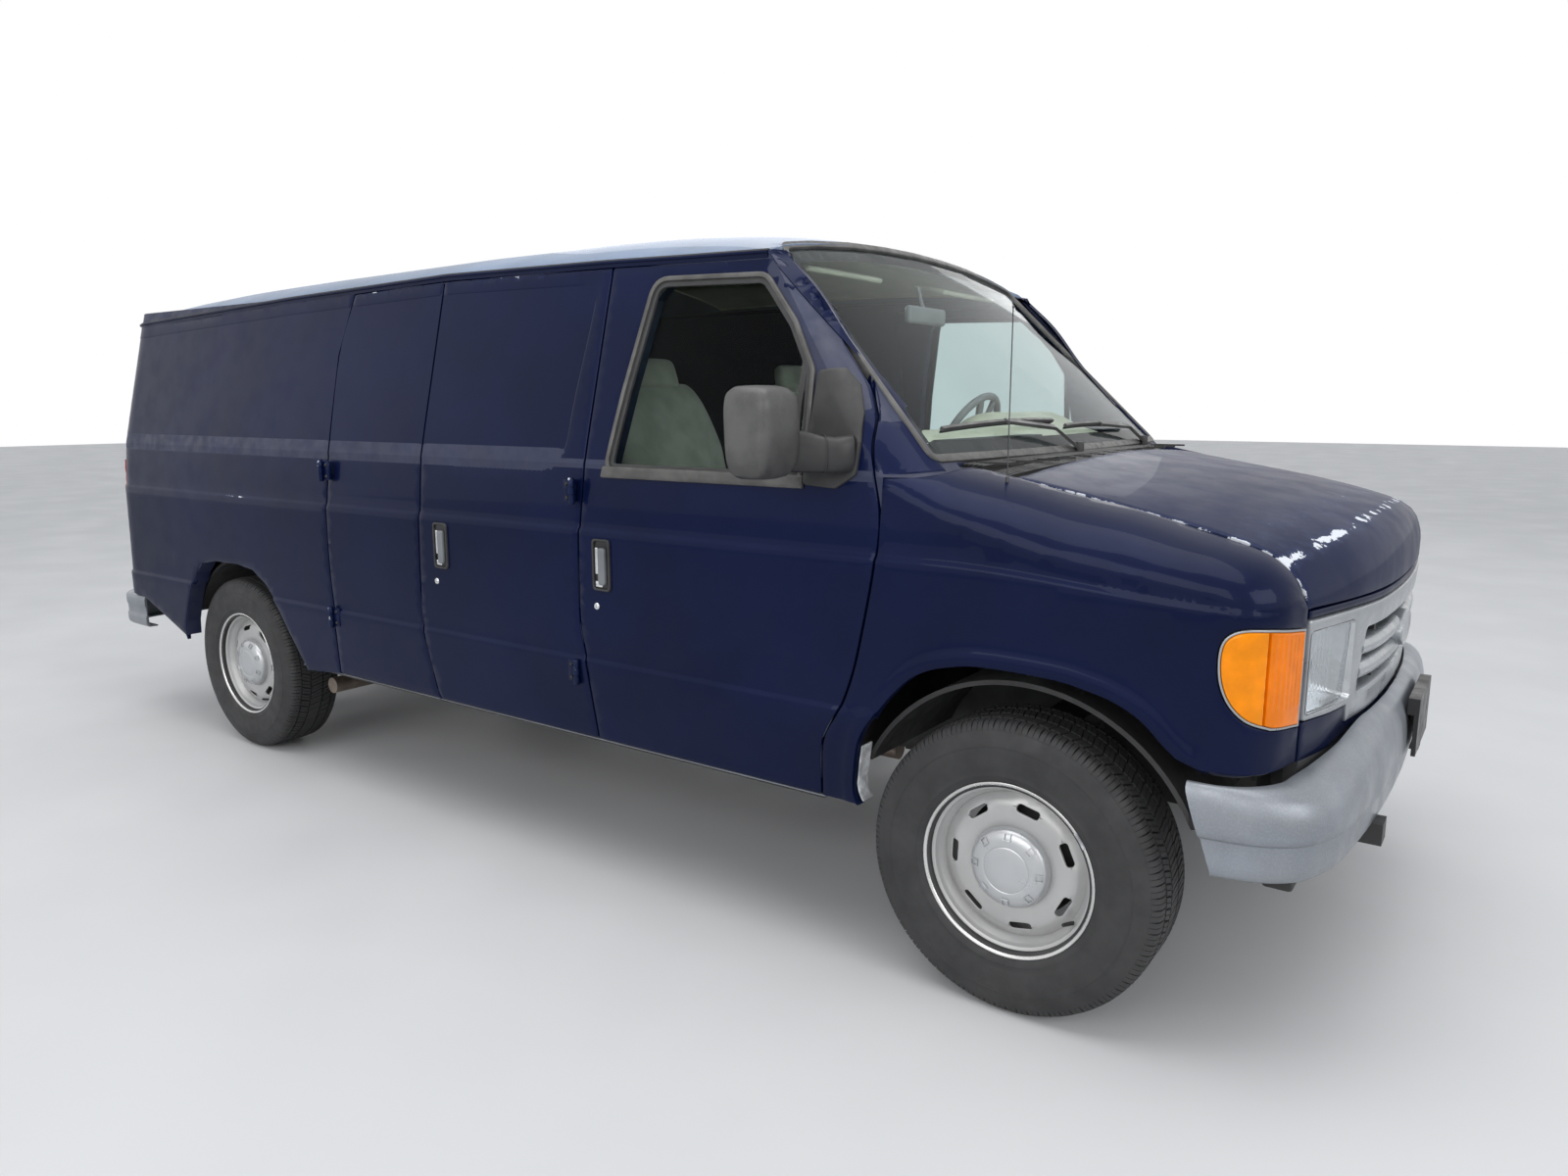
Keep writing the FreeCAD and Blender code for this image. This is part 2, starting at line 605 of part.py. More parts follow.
below_gutter = block(sx(-1.1), sx(1.1), -sy(1.1), 0, 0, gutter)
front_holes, cargo_holes = doorway(front_outline, side_prism), doorway(cargo_opening, side_prism)
rear_holes = doorway(rear_opening, rear_prism)
cabin = shell.common(block(sx(-1.1), sx(0.976), -sy(1.1), sy(1.1), 0, sz(1.1))).cut(screen_hole)
cabin = cabin.cut(fender_prism).cut(mirrored(fender_prism)).cut(rear_arch).cut(mirrored(rear_arch))
cowl_block = block(sx(0.930), sx(0.976) - gap, -sy(0.80), sy(0.80), sz(0.55), sz(0.665))
cowl_shape = cabin.common(cowl_block)
right_half = cabin.common(below_gutter).cut(cowl_block)
left_half = mirrored(right_half)
foot_y = sorted(-sy(a) for a in pillar_foot_y_shares)
pillar_foot = block(sx(pillar_foot_shares[0]), sx(pillar_foot_shares[1]), foot_y[0], foot_y[1],
                    mm("rail_base") + mm("rail_depth") + mm("floor_wall"), sz(pillar_foot_shares[3]))
pillar_root = block(sx(pillar_foot_shares[0]), sx(pillar_foot_shares[1]),
                    -sy(1) + mm("crease_step") + wall / 2, foot_y[1],
                    sz(pillar_foot_shares[2]), sz(pillar_foot_shares[3]))
for item in front_holes + cargo_holes + rear_holes:
    right_half = right_half.cut(item)
corner_room = block(sx(0.40), sx(pillar_foot_shares[1] + 0.008), -sy(1.1), foot_y[0] - gap / 2, 0,
                    sz(pillar_foot_shares[2]))
pillar_root = pillar_root.cut(rebate_layer).cut(front_holes[1]).cut(cargo_holes[1])
right_half = right_half.cut(corner_room).fuse([pillar_root, pillar_foot])
for item in [mirrored(tool) for tool in front_holes] + rear_holes:
    left_half = left_half.cut(item)

# Rubber stops on the flanges, which the closed doors lie against.
stop_layer = body_solid(flange + mm("seat_gap"), flange + mm("seat_gap")).cut(behind)
stop_half = mm("stop_width") / 2


def side_stop(x_share, z):
    return stop_layer.common(side_prism([(sx(x_share) - stop_half * 3, z - stop_half),
                                         (sx(x_share) + stop_half * 3, z - stop_half),
                                         (sx(x_share) + stop_half * 3, z + stop_half),
                                         (sx(x_share) - stop_half * 3, z + stop_half)]))


def rear_stop(y_share, z):
    y = sy(y_share)
    return stop_layer.common(rear_prism([(y - stop_half * 3, z - stop_half),
                                         (y + stop_half * 3, z - stop_half),
                                         (y + stop_half * 3, z + stop_half),
                                         (y - stop_half * 3, z + stop_half)]))


stop_depth = (lap + gap / 2) / 2 - gap / 4
side_top, side_foot = sz(door_rear_shares[0][1]) - stop_depth, sz(door_rear_shares[-1][1]) + stop_depth
door_stops = [side_stop(0.70, side_top), side_stop(0.76, side_foot)]
cargo_stops = [side_stop(share, z) for share in (0.30, 0.50) for z in (side_top, side_foot)]
rear_foot = sz(rear_door_shares[0][1]) + stop_depth
rear_stops = [rear_stop(0.40, rear_foot), rear_stop(0.60, rear_foot)]
right_half = right_half.fuse(door_stops + cargo_stops + [mirrored(item) for item in rear_stops])
left_half = left_half.fuse([mirrored(item) for item in door_stops] + rear_stops)
roof_shape = cabin.common(block(sx(-1.1), sx(1.1), -sy(1.1), sy(1.1), gutter, sz(1.1)))

# Body nodes.

tail_rise = [(sx(a), sz(b)) for a, b in tail_rise_shares]
tail_rise += [(tail_rise[-1][0], 0), (tail_rise[0][0], 0)]
tail_cut = prism_xz(tail_rise, -sy(1.1), sy(1.1))
lamp_skin = outer.cut(body_solid(mm("grille_wall"), mm("grille_wall")))
tail_lamp_block = block(sx(-1.1), sx(-0.70), sy(tail_lamp_shares[0]), sy(tail_lamp_shares[1]),
                        sz(tail_lamp_shares[2]), sz(tail_lamp_shares[3]))
tail_lamp = lamp_skin.common(tail_lamp_block)
tail_lamps = Part.makeCompound([tail_lamp, mirrored(tail_lamp)])
right_half = right_half.cut(tail_cut).cut(mirrored(tail_lamp))
left_half = left_half.cut(tail_cut).cut(tail_lamp)
rear_shape = rear_shape.cut(tail_cut)

feature("side_right", right_half)
feature("side_left", left_half)
feature("roof_panel", roof_shape)
feature("cowl_panel", cowl_shape)
feature("windshield", screen_shape)
feature("fenders", Part.makeCompound([fender_shape, mirrored(fender_shape)]))
feature("header_panel", header_shape)
feature("grille", grille_shape)
feature("headlamps", Part.makeCompound([lamp_shape, mirrored(lamp_shape)]))
feature("turn_signals", Part.makeCompound([signal_shape, mirrored(signal_shape)]))
feature("tail_lamps", tail_lamps)
feature("hood_panel", hood_shape)
feature("door_right", door_shape)
feature("door_left", mirrored(door_shape))
feature("door_glass_right", pane_shape)
feature("door_glass_left", mirrored(pane_shape))
feature("cargo_door_front", cargo_shape)
feature("cargo_door_rear", tail_shape)
feature("rear_door_left", rear_shape)
feature("rear_door_right", mirrored(rear_shape))
feature("rear_glass_left", rear_pane_shape)
feature("rear_glass_right", mirrored(rear_pane_shape))

# Floor with its sills, the boxes over the wheels and the wall before the cab.

rail_top = mm("rail_base") + mm("rail_depth")
slab = inner.common(block(sx(-1), sx(cab_front_share), -sy(1), sy(1), rail_top, rail_top + mm("floor_wall")))
side_y = sy(1) - mm("crease_step") - wall - gap
for low_x, high_x, side in ((quarter_shares[0][0], door_front_shares[6][0], -1),
                            (door_rear_shares[0][0], door_front_shares[6][0], 1)):
    reach = sorted((side * side_y, side * sy(1)))
    slab = slab.cut(block(sx(low_x - 0.03), sx(high_x + 0.01), reach[0], reach[1], 0, sz(1)))
for side in (-1, 1):
    reach = sorted((side * (side_y - mm("sill_wall")), side * side_y))
    slab = slab.fuse([block(sx(sill_shares[0]), sx(sill_shares[1]), reach[0], reach[1], mm("sill_height"),
                            rail_top)])
firewall = block(sx(cab_front_share), sx(cab_front_share) + mm("arch_wall"), -side_y, side_y,
                 rail_top, sz(firewall_share))
slab = slab.fuse([firewall.common(inner)])


def wheel_box(axle, low_y):
    radius = tyre_radius.value + mm("arch_room")
    centre = Vector(axle.value, low_y, tyre_radius.value)
    reach, thin = side_y - low_y, mm("arch_wall")
    room = Part.makeCylinder(radius, sy(1) - low_y, centre, Vector(0, 1, 0))
    walls = Part.makeCylinder(radius + thin, reach + thin, centre - Vector(0, thin, 0), Vector(0, 1, 0))
    above = block(sx(-1), sx(2), 0, side_y, rail_top, sz(1))
    return room, walls.common(above).common(inner)


for axle, low_share in ((rear_axle, rear_box_share), (front_axle, front_box_share)):
    room, walls = wheel_box(axle, sy(low_share))
    for item in (walls, mirrored(walls)):
        slab = slab.fuse([item])
    for item in (room, mirrored(room)):
        slab = slab.cut(item)
# The inner corner of the front cargo door swings through a shallow notch in the sill.
slab = slab.cut(block(sx(0.575), sx(0.612), -side_y, mm("swing_room") - side_y, 0,
                      rail_top + mm("floor_wall")))
tower_reach = mm("coil_diameter") / 2 + mm("running_gap")
slab = slab.cut(block(front_axle.value - tower_reach, front_axle.value + tower_reach, -sy(0.70), sy(0.70),
                      0, mm("rail_base") + 2 * mm("rail_depth") + mm("running_gap")))
feature("floor_pan", slab.removeSplitter())

# Bumpers.


def bumper_plan(inset, z):
    edge, bulge = bumper_shares["edge"], bumper_shares["bulge"]
    return plan(z, sy(bumper_shares["width"]) - inset, sx(0.5), mm("rear_corner"),
                sx(bumper_shares["side_end"]),
                (sx(bulge[0]) - inset * 0.8, sy(bulge[1]) - inset * 0.8),
                (sx(edge[0]) - inset, sy(edge[1]) - inset * 0.4), sy(bumper_shares["bow"]))


bumper_side = [(sx(a), sz(b)) for a, b in bumper_side_shares]
bumper_region = prism_xz(bumper_side, -sy(1.1), sy(1.1))
low_z, high_z = sz(bumper_shares["low"]), sz(bumper_shares["high"])
bumper_full = Part.Face(bumper_plan(0, low_z)).extrude(Vector(0, 0, high_z - low_z)).common(bumper_region)
bumper_room = Part.Face(bumper_plan(mm("bumper_wall"), low_z)).extrude(Vector(0, 0, high_z - low_z))
bumper_shape = bumper_full.cut(bumper_room)
face_x = sx(bumper_shares["edge"][0]) + sy(bumper_shares["bow"])
plate_z = sz(bumper_shares["plate"])
plate_shape = block(face_x - mm("plate_wall"), sx(2), -mm("plate_width") / 2, mm("plate_width") / 2,
                    plate_z - mm("plate_depth") / 2, plate_z + mm("plate_depth") / 2)
plate_shape = plate_shape.cut(bumper_full)
for side in (-1, 1):
    hole = Part.makeCylinder(mm("plate_bore") / 2, sx(2) - sx(1.5),
                             Vector(sx(1.5), side * mm("plate_spacing") / 2, plate_z), Vector(1, 0, 0))
    plate_shape = plate_shape.cut(hole)
feature("front_bumper", bumper_shape)
feature("plate_bracket", plate_shape)

rear_line = [(sx(a), sy(b)) for a, b in rear_bumper_shares]
rear_line = rear_line + [(x, -y) for x, y in reversed(rear_line)]
rear_room = grown(rear_line, -mm("bumper_wall"))
rear_low = sz(rear_bumper_low_share)
rear_high = rear_low + mm("rear_bumper_depth")
rear_full = prism_xy(rear_line, rear_low, rear_high)
inner_line = [(x, y) for x, y in rear_room]
inner_line[0] = (sx(0), inner_line[0][1])
inner_line[-1] = (sx(0), inner_line[-1][1])
rear_beam = rear_full.cut(prism_xy(inner_line, rear_low - mm("overrun"), rear_high - mm("hood_wall") / 3))
rear_beam = rear_beam.cut(block(sx(-0.86), sx(0), -sy(0.946), sy(0.946), 0, sz(1)))
feature("rear_bumper", rear_beam)

# Frame: two rails, what crosses between them and the arms of the bumpers.

half_spread = size("rail_spread") / 2
rail_items = []
for side in (-1, 1):
    rail_items.append(box("rail_%d" % (side + 1), station(2) - station(-1), size("rail_width"),
                          size("rail_depth"),
                          station(-1), half_spread * side, size("rail_base")))
cross_low = size("rail_base") + size("rail_depth") * 0.1
for index, share in enumerate(cross_shares):
    rail_items.append(box("cross_%d" % index, size("cross_width"), size("rail_spread"),
                          size("rail_depth") * 0.6,
                          station(share), zero, cross_low))
rail_items.append(box("front_cross", size("cross_width") * 1.4, size("rail_spread"),
                      size("rail_depth") * 0.28,
                      front_axle - size("cross_width") * 0.7, zero, size("rail_base")))
for side in (-1, 1):
    tower_y = (half_spread + size("rail_width") / 2)
    rail_items.append(box("tower_%d" % (side + 1), size("coil_diameter"), size("floor_wall"),
                          size("rail_depth") * 2,
                          front_axle - size("coil_diameter") / 2,
                          (tower_y + size("floor_wall") / 2 - size("seat_gap")) * side,
                          size("rail_base")))
    rail_items.append(box("tower_top_%d" % (side + 1), size("coil_diameter"), size("coil_diameter") * 1.7,
                          size("floor_wall"), front_axle - size("coil_diameter") / 2,
                          (tower_y + size("coil_diameter") * 0.85 - size("seat_gap")) * side,
                          size("rail_base") + size("rail_depth") * 2 - size("floor_wall")))
for share in jack_shares:
    for side in (-1, 1):
        pad = box("jack_pad_%d" % len(rail_items), size("cross_width"), size("rail_width") * 0.8,
                  size("jack_pad") * 2,
                  station(share), half_spread * side, size("rail_base") - size("jack_pad"))
        rail_items.append(pad)
frame_whole = fuse("frame_whole", rail_items)
front_wall = block(face_x - mm("bumper_wall") / 2, sx(2.2), -sy(1), sy(1), 0, sz(0.5))
front_tool = feature("front_bumper_room", bumper_full.fuse([front_wall]))
rear_wall_tool = rear_full.cut(prism_xy(inner_line, rear_low - mm("overrun"), rear_high))
behind_bumper = block(sx(-1.1), sx(-1) + mm("bumper_wall"), -sy(1), sy(1), 0, sz(0.5))
rear_tool = feature("rear_bumper_room", rear_wall_tool.fuse([behind_bumper]))
frame_front = cut("frame_front", frame_whole, front_tool)
frame = cut("frame_rails", frame_front, rear_tool)

# Front suspension: two crossed beams, coil springs and yokes for the kingpins.

kingpin_y = size("front_track") / 2 - size("kingpin_inset")
beam_low = tyre_radius - size("beam_depth") / 2
knuckle_height = size("beam_depth") * 1.7
ear = size("arch_wall")
beam_items = []
for side in (-1, 1):
    tag = "left" if side > 0 else "right"
    offset = size("beam_width") * (0.55 * side)
    beam_end = kingpin_y - size("spindle_diameter") * 0.6
    inner_end = size("rail_spread") * 0.36
    length = beam_end + inner_end
    middle_y = (beam_end - inner_end) / 2 * side
    beam_items.append(box("beam_" + tag, size("beam_width"), length, size("beam_depth"),
                          front_axle + offset - size("beam_width") / 2, middle_y, beam_low))
    beam_items.append(box("yoke_" + tag, size("beam_width") * 2, size("spindle_diameter") * 0.4,
                          knuckle_height + ear * 2.05,
                          front_axle - size("beam_width"), (beam_end - size("spindle_diameter") * 0.2) * side,
                          tyre_radius - knuckle_height / 2 - ear * 1.025))
    for level, sign in (("low", -1), ("high", 1)):
        ear_z = tyre_radius + (knuckle_height / 2 + ear * 0.525) * sign - ear * 0.5
        beam_items.append(box("ear_%s_%s" % (level, tag), size("kingpin_diameter"),
                              size("spindle_diameter") * 0.6,
                              ear, front_axle - size("kingpin_diameter") / 2,
                              (kingpin_y - size("spindle_diameter") * 0.3) * side, ear_z))
        beam_items.append(rod("pad_%s_%s" % (level, tag), size("kingpin_diameter"), ear, front_axle,
                              kingpin_y * side, ear_z, "Z"))
    coil_y = tower_y + size("coil_diameter") * 1.15
    coil_top = size("rail_base") + size("rail_depth") * 2 - size("floor_wall")
    coil_low = beam_low + size("beam_depth")
    beam_items.append(rod("coil_" + tag, size("coil_diameter") * 0.9, coil_top - coil_low, front_axle,
                          coil_y * side, coil_low, "Z"))
    beam_items.append(box("pivot_" + tag, size("beam_width"), size("beam_width"),
                          size("rail_base") - coil_low, front_axle - offset * 1 - size("beam_width") / 2,
                          inner_end * 0.9 * side, coil_low))
front_beams = fuse("front_axle_beams", beam_items)

for side, tag in ((-1, "right"), (1, "left")):
    spindle_length = size("kingpin_inset") - size("hub_back") - size("seat_gap")
    spindle_y = kingpin_y if side > 0 else -kingpin_y - spindle_length
    pin = rod("kingpin_" + tag, size("kingpin_diameter"), knuckle_height, front_axle, kingpin_y * side,
              tyre_radius - knuckle_height / 2, "Z")
    spindle = rod("spindle_" + tag, size("spindle_diameter"), spindle_length, front_axle, spindle_y,
                  tyre_radius, "Y")
    fuse("knuckle_" + tag, [pin, spindle])

# Rear axle with its differential and drive shaft, on two leaf springs.

tube_half = size("rear_track") / 2 - size("hub_back") - size("seat_gap")
tube = rod("axle_tube_solid", size("axle_tube"), tube_half * 2, rear_axle, -tube_half, tyre_radius, "Y")
case = rod("diff_case", size("diff_radius") * 2, size("diff_depth"), rear_axle, -size("diff_depth") / 2,
           tyre_radius, "Y")
shaft_start = rear_axle + size("diff_radius") * 0.9
gearbox_rear = front_axle - size("engine_length") * 1.66
shaft = rod("shaft", size("shaft_diameter"), gearbox_rear - shaft_start - size("seat_gap"), shaft_start, zero,
            tyre_radius, "X")
fuse("rear_axle", [tube, case, shaft])

spring_low = tyre_radius + size("axle_tube") / 2 + size("seat_gap")
half_span = size("wheelbase") * 0.2
rise = size("rail_base") + size("rail_depth") - size("spring_depth") * 1.5 - spring_low
upper_line = [(half_span * a, spring_low + rise * b + size("spring_depth")) for a, b in leaf_shares]
lower_line = [(half_span * a, spring_low + rise * b) for a, b in reversed(leaf_shares)]
spring_items = []
for side in (-1, 1):
    tag = "left" if side > 0 else "right"
    spring_y = tower_y + size("spring_width") * 1.6
    leaf = pad_body("leaf_" + tag, "XZ_Plane", upper_line + lower_line, size("spring_width"))
    place(leaf, rear_axle, spring_y * side, zero)
    parts = [leaf]
    for end in (-1, 1):
        hanger_low = spring_low + rise
        parts.append(box("hanger_%s_%d" % (tag, end + 1), size("spring_width"),
                         spring_y - tower_y + size("spring_width") / 2,
                         size("rail_base") + size("rail_depth") - hanger_low,
                         rear_axle + half_span * (0.96 * end) - size("spring_width") / 2,
                         (spring_y + size("spring_width") / 2 + tower_y) / 2 * side, hanger_low))
    spring_items.append(fuse("spring_" + tag, parts))
group("leaf_springs", spring_items)

# Engine and gearbox as plain blocks, exhaust and fuel tank.

engine = box("engine_solid", size("engine_length"), size("engine_width"), size("engine_depth"),
             front_axle - size("engine_length") * 0.68, zero, size("engine_base"))
gearbox = box("gearbox_solid", size("engine_length"), size("engine_width") * 0.5, size("engine_base") * 0.34,
              gearbox_rear, zero,
              size("rail_base") + size("rail_depth") - size("engine_base") * 0.36 - size("floor_wall") * 0.1)
fuse("engine_block", [engine, gearbox])

pipe_y = -(size("rail_spread") * 0.28)
muffler_x = station(0.33)
pipe_z = size("rail_base") - size("muffler_diameter") / 2 - size("running_gap")
muffler = rod("muffler", size("muffler_diameter"), size("muffler_length"), muffler_x, pipe_y, pipe_z, "X")
front_pipe = rod("front_pipe", size("pipe_diameter"), station(0.80) - muffler_x, muffler_x, pipe_y, pipe_z,
                 "X")
tail_pipe = rod("tail_pipe", size("pipe_diameter"), muffler_x - station(0.145), station(0.145), pipe_y,
                pipe_z, "X")
outlet = rod("outlet", size("pipe_diameter"), size("rail_spread") * 0.72, station(0.145),
             pipe_y - size("rail_spread") * 0.72, pipe_z, "Y")
hanger = box("pipe_hanger", size("pipe_diameter"), size("pipe_diameter"),
             size("muffler_diameter") / 2 + size("running_gap"),
             station(cross_shares[2]) + size("arch_wall"), pipe_y, pipe_z)
hanger_top = box("pipe_hanger_top", size("pipe_diameter"), size("pipe_diameter"), size("rail_depth") * 0.1,
                 station(cross_shares[2]) + size("arch_wall"), pipe_y, size("rail_base"))
fuse("exhaust_pipe", [muffler, front_pipe, tail_pipe, outlet, hanger, hanger_top])

box("fuel_tank", size("tank_length"), size("tank_width"), size("tank_depth"), station(0.25),
    tower_y + size("tank_width") / 2 + size("running_gap") * 2,
    size("rail_base") + size("rail_depth") - size("tank_depth"))

# Wheels. The section runs from the middle of the hub out to the flange and back.

rim_radius = size("bead_diameter") / 2
flange_radius = rim_radius + size("flange_depth")
half_rim = size("rim_width") / 2
hub_back = -size("hub_back")
rim_outer_shares = ((0.0, 1.05), (0.27, 1.05), (0.325, 0.98), (0.40, 0.92), (0.43, 0.72), (0.55, 0.66),
                    (0.65, 0.70),
                    (0.74, 0.60), (0.83, 0.48), (0.885, 0.54), (0.93, 0.64), (0.955, 0.86))
rim_inner_shares = ((0.97, -0.98), (0.955, -0.84), (0.875, -0.60), (0.875, 0.34), (0.79, 0.36), (0.69, 0.48),
                    (0.59, 0.54), (0.49, 0.54), (0.41, 0.58), (0.39, 0.50), (0.39, 0.10), (0.74, 0.08),
                    (0.74, -0.16),
                    (0.34, -0.18))


def rim_points():
    points = [(rim_radius * a, half_rim * b) for a, b in rim_outer_shares]
    points += [(rim_radius * 1.01, half_rim * 0.97), (flange_radius, half_rim),
               (flange_radius, half_rim * 0.90),
               (rim_radius, half_rim * 0.87), (rim_radius, half_rim * 0.62),
               (rim_radius * 0.925, half_rim * 0.44),
               (rim_radius * 0.915, half_rim * -0.58), (rim_radius, half_rim * -0.78),
               (rim_radius, half_rim * -0.87),
               (flange_radius, half_rim * -0.90), (flange_radius, -half_rim)]
    points += [(rim_radius * a, half_rim * b) for a, b in rim_inner_shares]
    points += [(rim_radius * 0.34, hub_back), (zero, hub_back)]
    return points


def tyre_points():
    bead = rim_radius + size("bead_gap")
    rise = tyre_radius - rim_radius
    half = size("tyre_width") / 2
    side = [(bead, half_rim * 0.86), (rim_radius + rise * 0.16, half_rim * 0.88),
            (rim_radius + rise * 0.52, half),
            (rim_radius + rise * 0.86, half * 0.93), (tyre_radius - size("running_gap"), half * 0.80)]
    crown_edge = [(tyre_radius, half * 0.60)]
    return side + crown_edge + [(a, -b) for a, b in reversed(side + crown_edge)]


def wheel(tag, axle, track, side):
    rim = spun_body("rim_" + tag, rim_points())
    slot = rim.newObject("Sketcher::SketchObject", "slot_outline_" + tag)
    slot.AttachmentSupport = [(plane_of(rim, "XZ_Plane"), "")]
    slot.MapMode = "FlatFace"
    half_slot, reach, long_half = mm("slot_size") / 2, mm("slot_reach"), mm("slot_size") * 1.25
    corners = [(-long_half, reach - half_slot), (long_half, reach - half_slot), (long_half * 1.25, reach),
               (long_half, reach + half_slot), (-long_half, reach + half_slot), (-long_half * 1.25, reach)]
    for index, (a, b) in enumerate(corners):
        c, d = corners[(index + 1) % len(corners)]
        slot.addGeometry(Part.LineSegment(Vector(a, b, 0), Vector(c, d, 0)), False)
    pocket = rim.newObject("PartDesign::Pocket", "slot_" + tag)
    pocket.Profile = slot
    pocket.Midplane = True
    pocket.Type = "Length"
    bind(pocket, Length=size("rim_width") * 3)
    ring = rim.newObject("PartDesign::PolarPattern", "slots_" + tag)
    ring.Originals = [pocket]
    ring.Axis = (plane_of(rim, "Y_Axis"), [""])
    ring.Angle = 360
    ring.setExpression("Occurrences", size("slot_count").text)
    rim.Tip = ring
    tyre = spun_body("tyre_" + tag, tyre_points())
    for item in (rim, tyre):
        item.Placement = FreeCAD.Placement(Vector(0, 0, 0),
                                           FreeCAD.Rotation(Vector(0, 0, 1), 0 if side > 0 else 180))
        bind(item, Placement_Base_x=axle, Placement_Base_y=track / 2 * side, Placement_Base_z=tyre_radius)


wheel("front_left", front_axle, size("front_track"), 1)
wheel("front_right", front_axle, size("front_track"), -1)
wheel("rear_left", rear_axle, size("rear_track"), 1)
wheel("rear_right", rear_axle, size("rear_track"), -1)

# Cab: dashboard with the engine's cover, steering wheel, seats.

def expr_points(shares):
    return [(station(a), size("roof_height") * b) for a, b in shares]


dash = pad_body("dash", "XZ_Plane", expr_points(dash_shares), half_width * (2 * dash_width_share))
place(dash, zero, zero, zero)
cover = box("engine_cover", station(cab_front_share) - station(cover_share), size("engine_width") * 1.1,
            size("roof_height") * 0.22, station(cover_share), zero,
            size("rail_base") + size("rail_depth") + size("floor_wall"))
fuse("dashboard", [dash, cover])

ring_place = FreeCAD.Rotation(Vector(0, 1, 0), steering_tilt)
ring = doc.addObject("Part::Torus", "steering_ring")
bind(ring, Radius1=size("wheel_ring") / 2 - size("wheel_grip") / 2, Radius2=size("wheel_grip") / 2)
ring.Placement = FreeCAD.Placement(Vector(0, 0, 0), ring_place)
bind(ring, Placement_Base_x=station(steering_shares[0]), Placement_Base_y=size("seat_offset"),
     Placement_Base_z=size("roof_height") * steering_shares[1])
spokes = []
for index, angle in enumerate((0, 120, 240)):
    spoke = doc.addObject("Part::Box", "spoke_%d" % index)
    bind(spoke, Length=size("wheel_ring") / 2 - size("wheel_grip") / 2, Width=size("wheel_grip"),
         Height=size("wheel_grip") / 2)
    turn = ring_place.multiply(FreeCAD.Rotation(Vector(0, 0, 1), angle))
    spoke.Placement = FreeCAD.Placement(Vector(0, 0, 0), turn)
    bind(spoke, Placement_Base_x=station(steering_shares[0]), Placement_Base_y=size("seat_offset"),
         Placement_Base_z=size("roof_height") * steering_shares[1])
    spokes.append(spoke)
column = doc.addObject("Part::Cylinder", "column")
bind(column, Radius=size("column_diameter") / 2, Height=station(column_share) - station(steering_shares[0]))
column.Placement = FreeCAD.Placement(Vector(0, 0, 0), ring_place)
bind(column, Placement_Base_x=station(steering_shares[0]), Placement_Base_y=size("seat_offset"),
     Placement_Base_z=size("roof_height") * steering_shares[1])
steering_raw = fuse("steering_raw", [ring, column] + spokes)
cut("steering_wheel", steering_raw, doc.getObject("dashboard"))

seat_items = []
for side, tag in ((1, "left"), (-1, "right")):
    cushion = pad_body("cushion_" + tag, "XZ_Plane", expr_points(seat_shares), size("seat_width"))
    place(cushion, zero, size("seat_offset") * side, zero)
    head = pad_body("headrest_" + tag, "XZ_Plane", expr_points(headrest_shares), size("headrest_width"))
    place(head, zero, size("seat_offset") * side, zero)
    pedestal = pad_body("pedestal_" + tag, "XZ_Plane", expr_points(pedestal_shares), size("seat_width") * 0.7)
    place(pedestal, zero, size("seat_offset") * side, zero)
    foot_z = size("rail_base") + size("rail_depth") + size("floor_wall")
    foot = box("seat_foot_" + tag, size("cushion_length") * 0.7, size("seat_width") * 0.7,
               size("roof_height") * pedestal_shares[0][1] - foot_z + size("running_gap"),
               station(pedestal_shares[0][0]), size("seat_offset") * side, foot_z)
    seat_items.append(fuse("seat_" + tag, [cushion, head, pedestal, foot]))
group("seats", seat_items)

# Mirrors, wipers and antenna.

arm_z = size("roof_height") * mirror_shares["arm_low"]
for side, tag in ((-1, "right"), (1, "left")):
    half_span_y = size("mirror_span") / 2
    housing = box("housing_" + tag, size("mirror_depth"), size("mirror_width"), size("mirror_rise"),
                  station(mirror_shares["x"]), (half_span_y - size("mirror_width") / 2) * side,
                  size("roof_height") * mirror_shares["low"])
    arm_length = half_span_y - size("mirror_width") / 2 - half_width * mirror_shares["foot"]
    arm = box("arm_" + tag,
              station(mirror_shares["arm_end"]) - station(mirror_shares["x"]) - size("mirror_depth") / 2,
              arm_length, size("arm_wall"), station(mirror_shares["x"]) + size("mirror_depth") / 2,
              (half_width * mirror_shares["foot"] + arm_length / 2) * side, arm_z)
    housing_round = doc.addObject("Part::Fillet", "housing_round_" + tag)
    doc.recompute()
    housing_round.Base = housing
    radius = mm("mirror_depth") * 0.2
    housing_round.Edges = [(index + 1, radius, radius) for index in range(12)]
    mirror_whole = fuse("mirror_whole_" + tag, [housing_round, arm])
    door_room = feature("door_room_" + tag, outer)
    cut("mirror_" + tag, mirror_whole, door_room)

mast = Part.makeCylinder(mm("antenna_diameter") / 2, mm("antenna_length"),
                         Vector(sx(antenna_shares[0]), -sy(antenna_shares[1]), sz(antenna_shares[2])))
foot = Part.makeCylinder(mm("antenna_diameter") * 3, mm("antenna_length") * 0.1,
                         Vector(sx(antenna_shares[0]), -sy(antenna_shares[1]),
                                sz(antenna_shares[2]) - mm("antenna_length") * 0.05))
feature("antenna", mast.fuse([foot]).cut(outer))

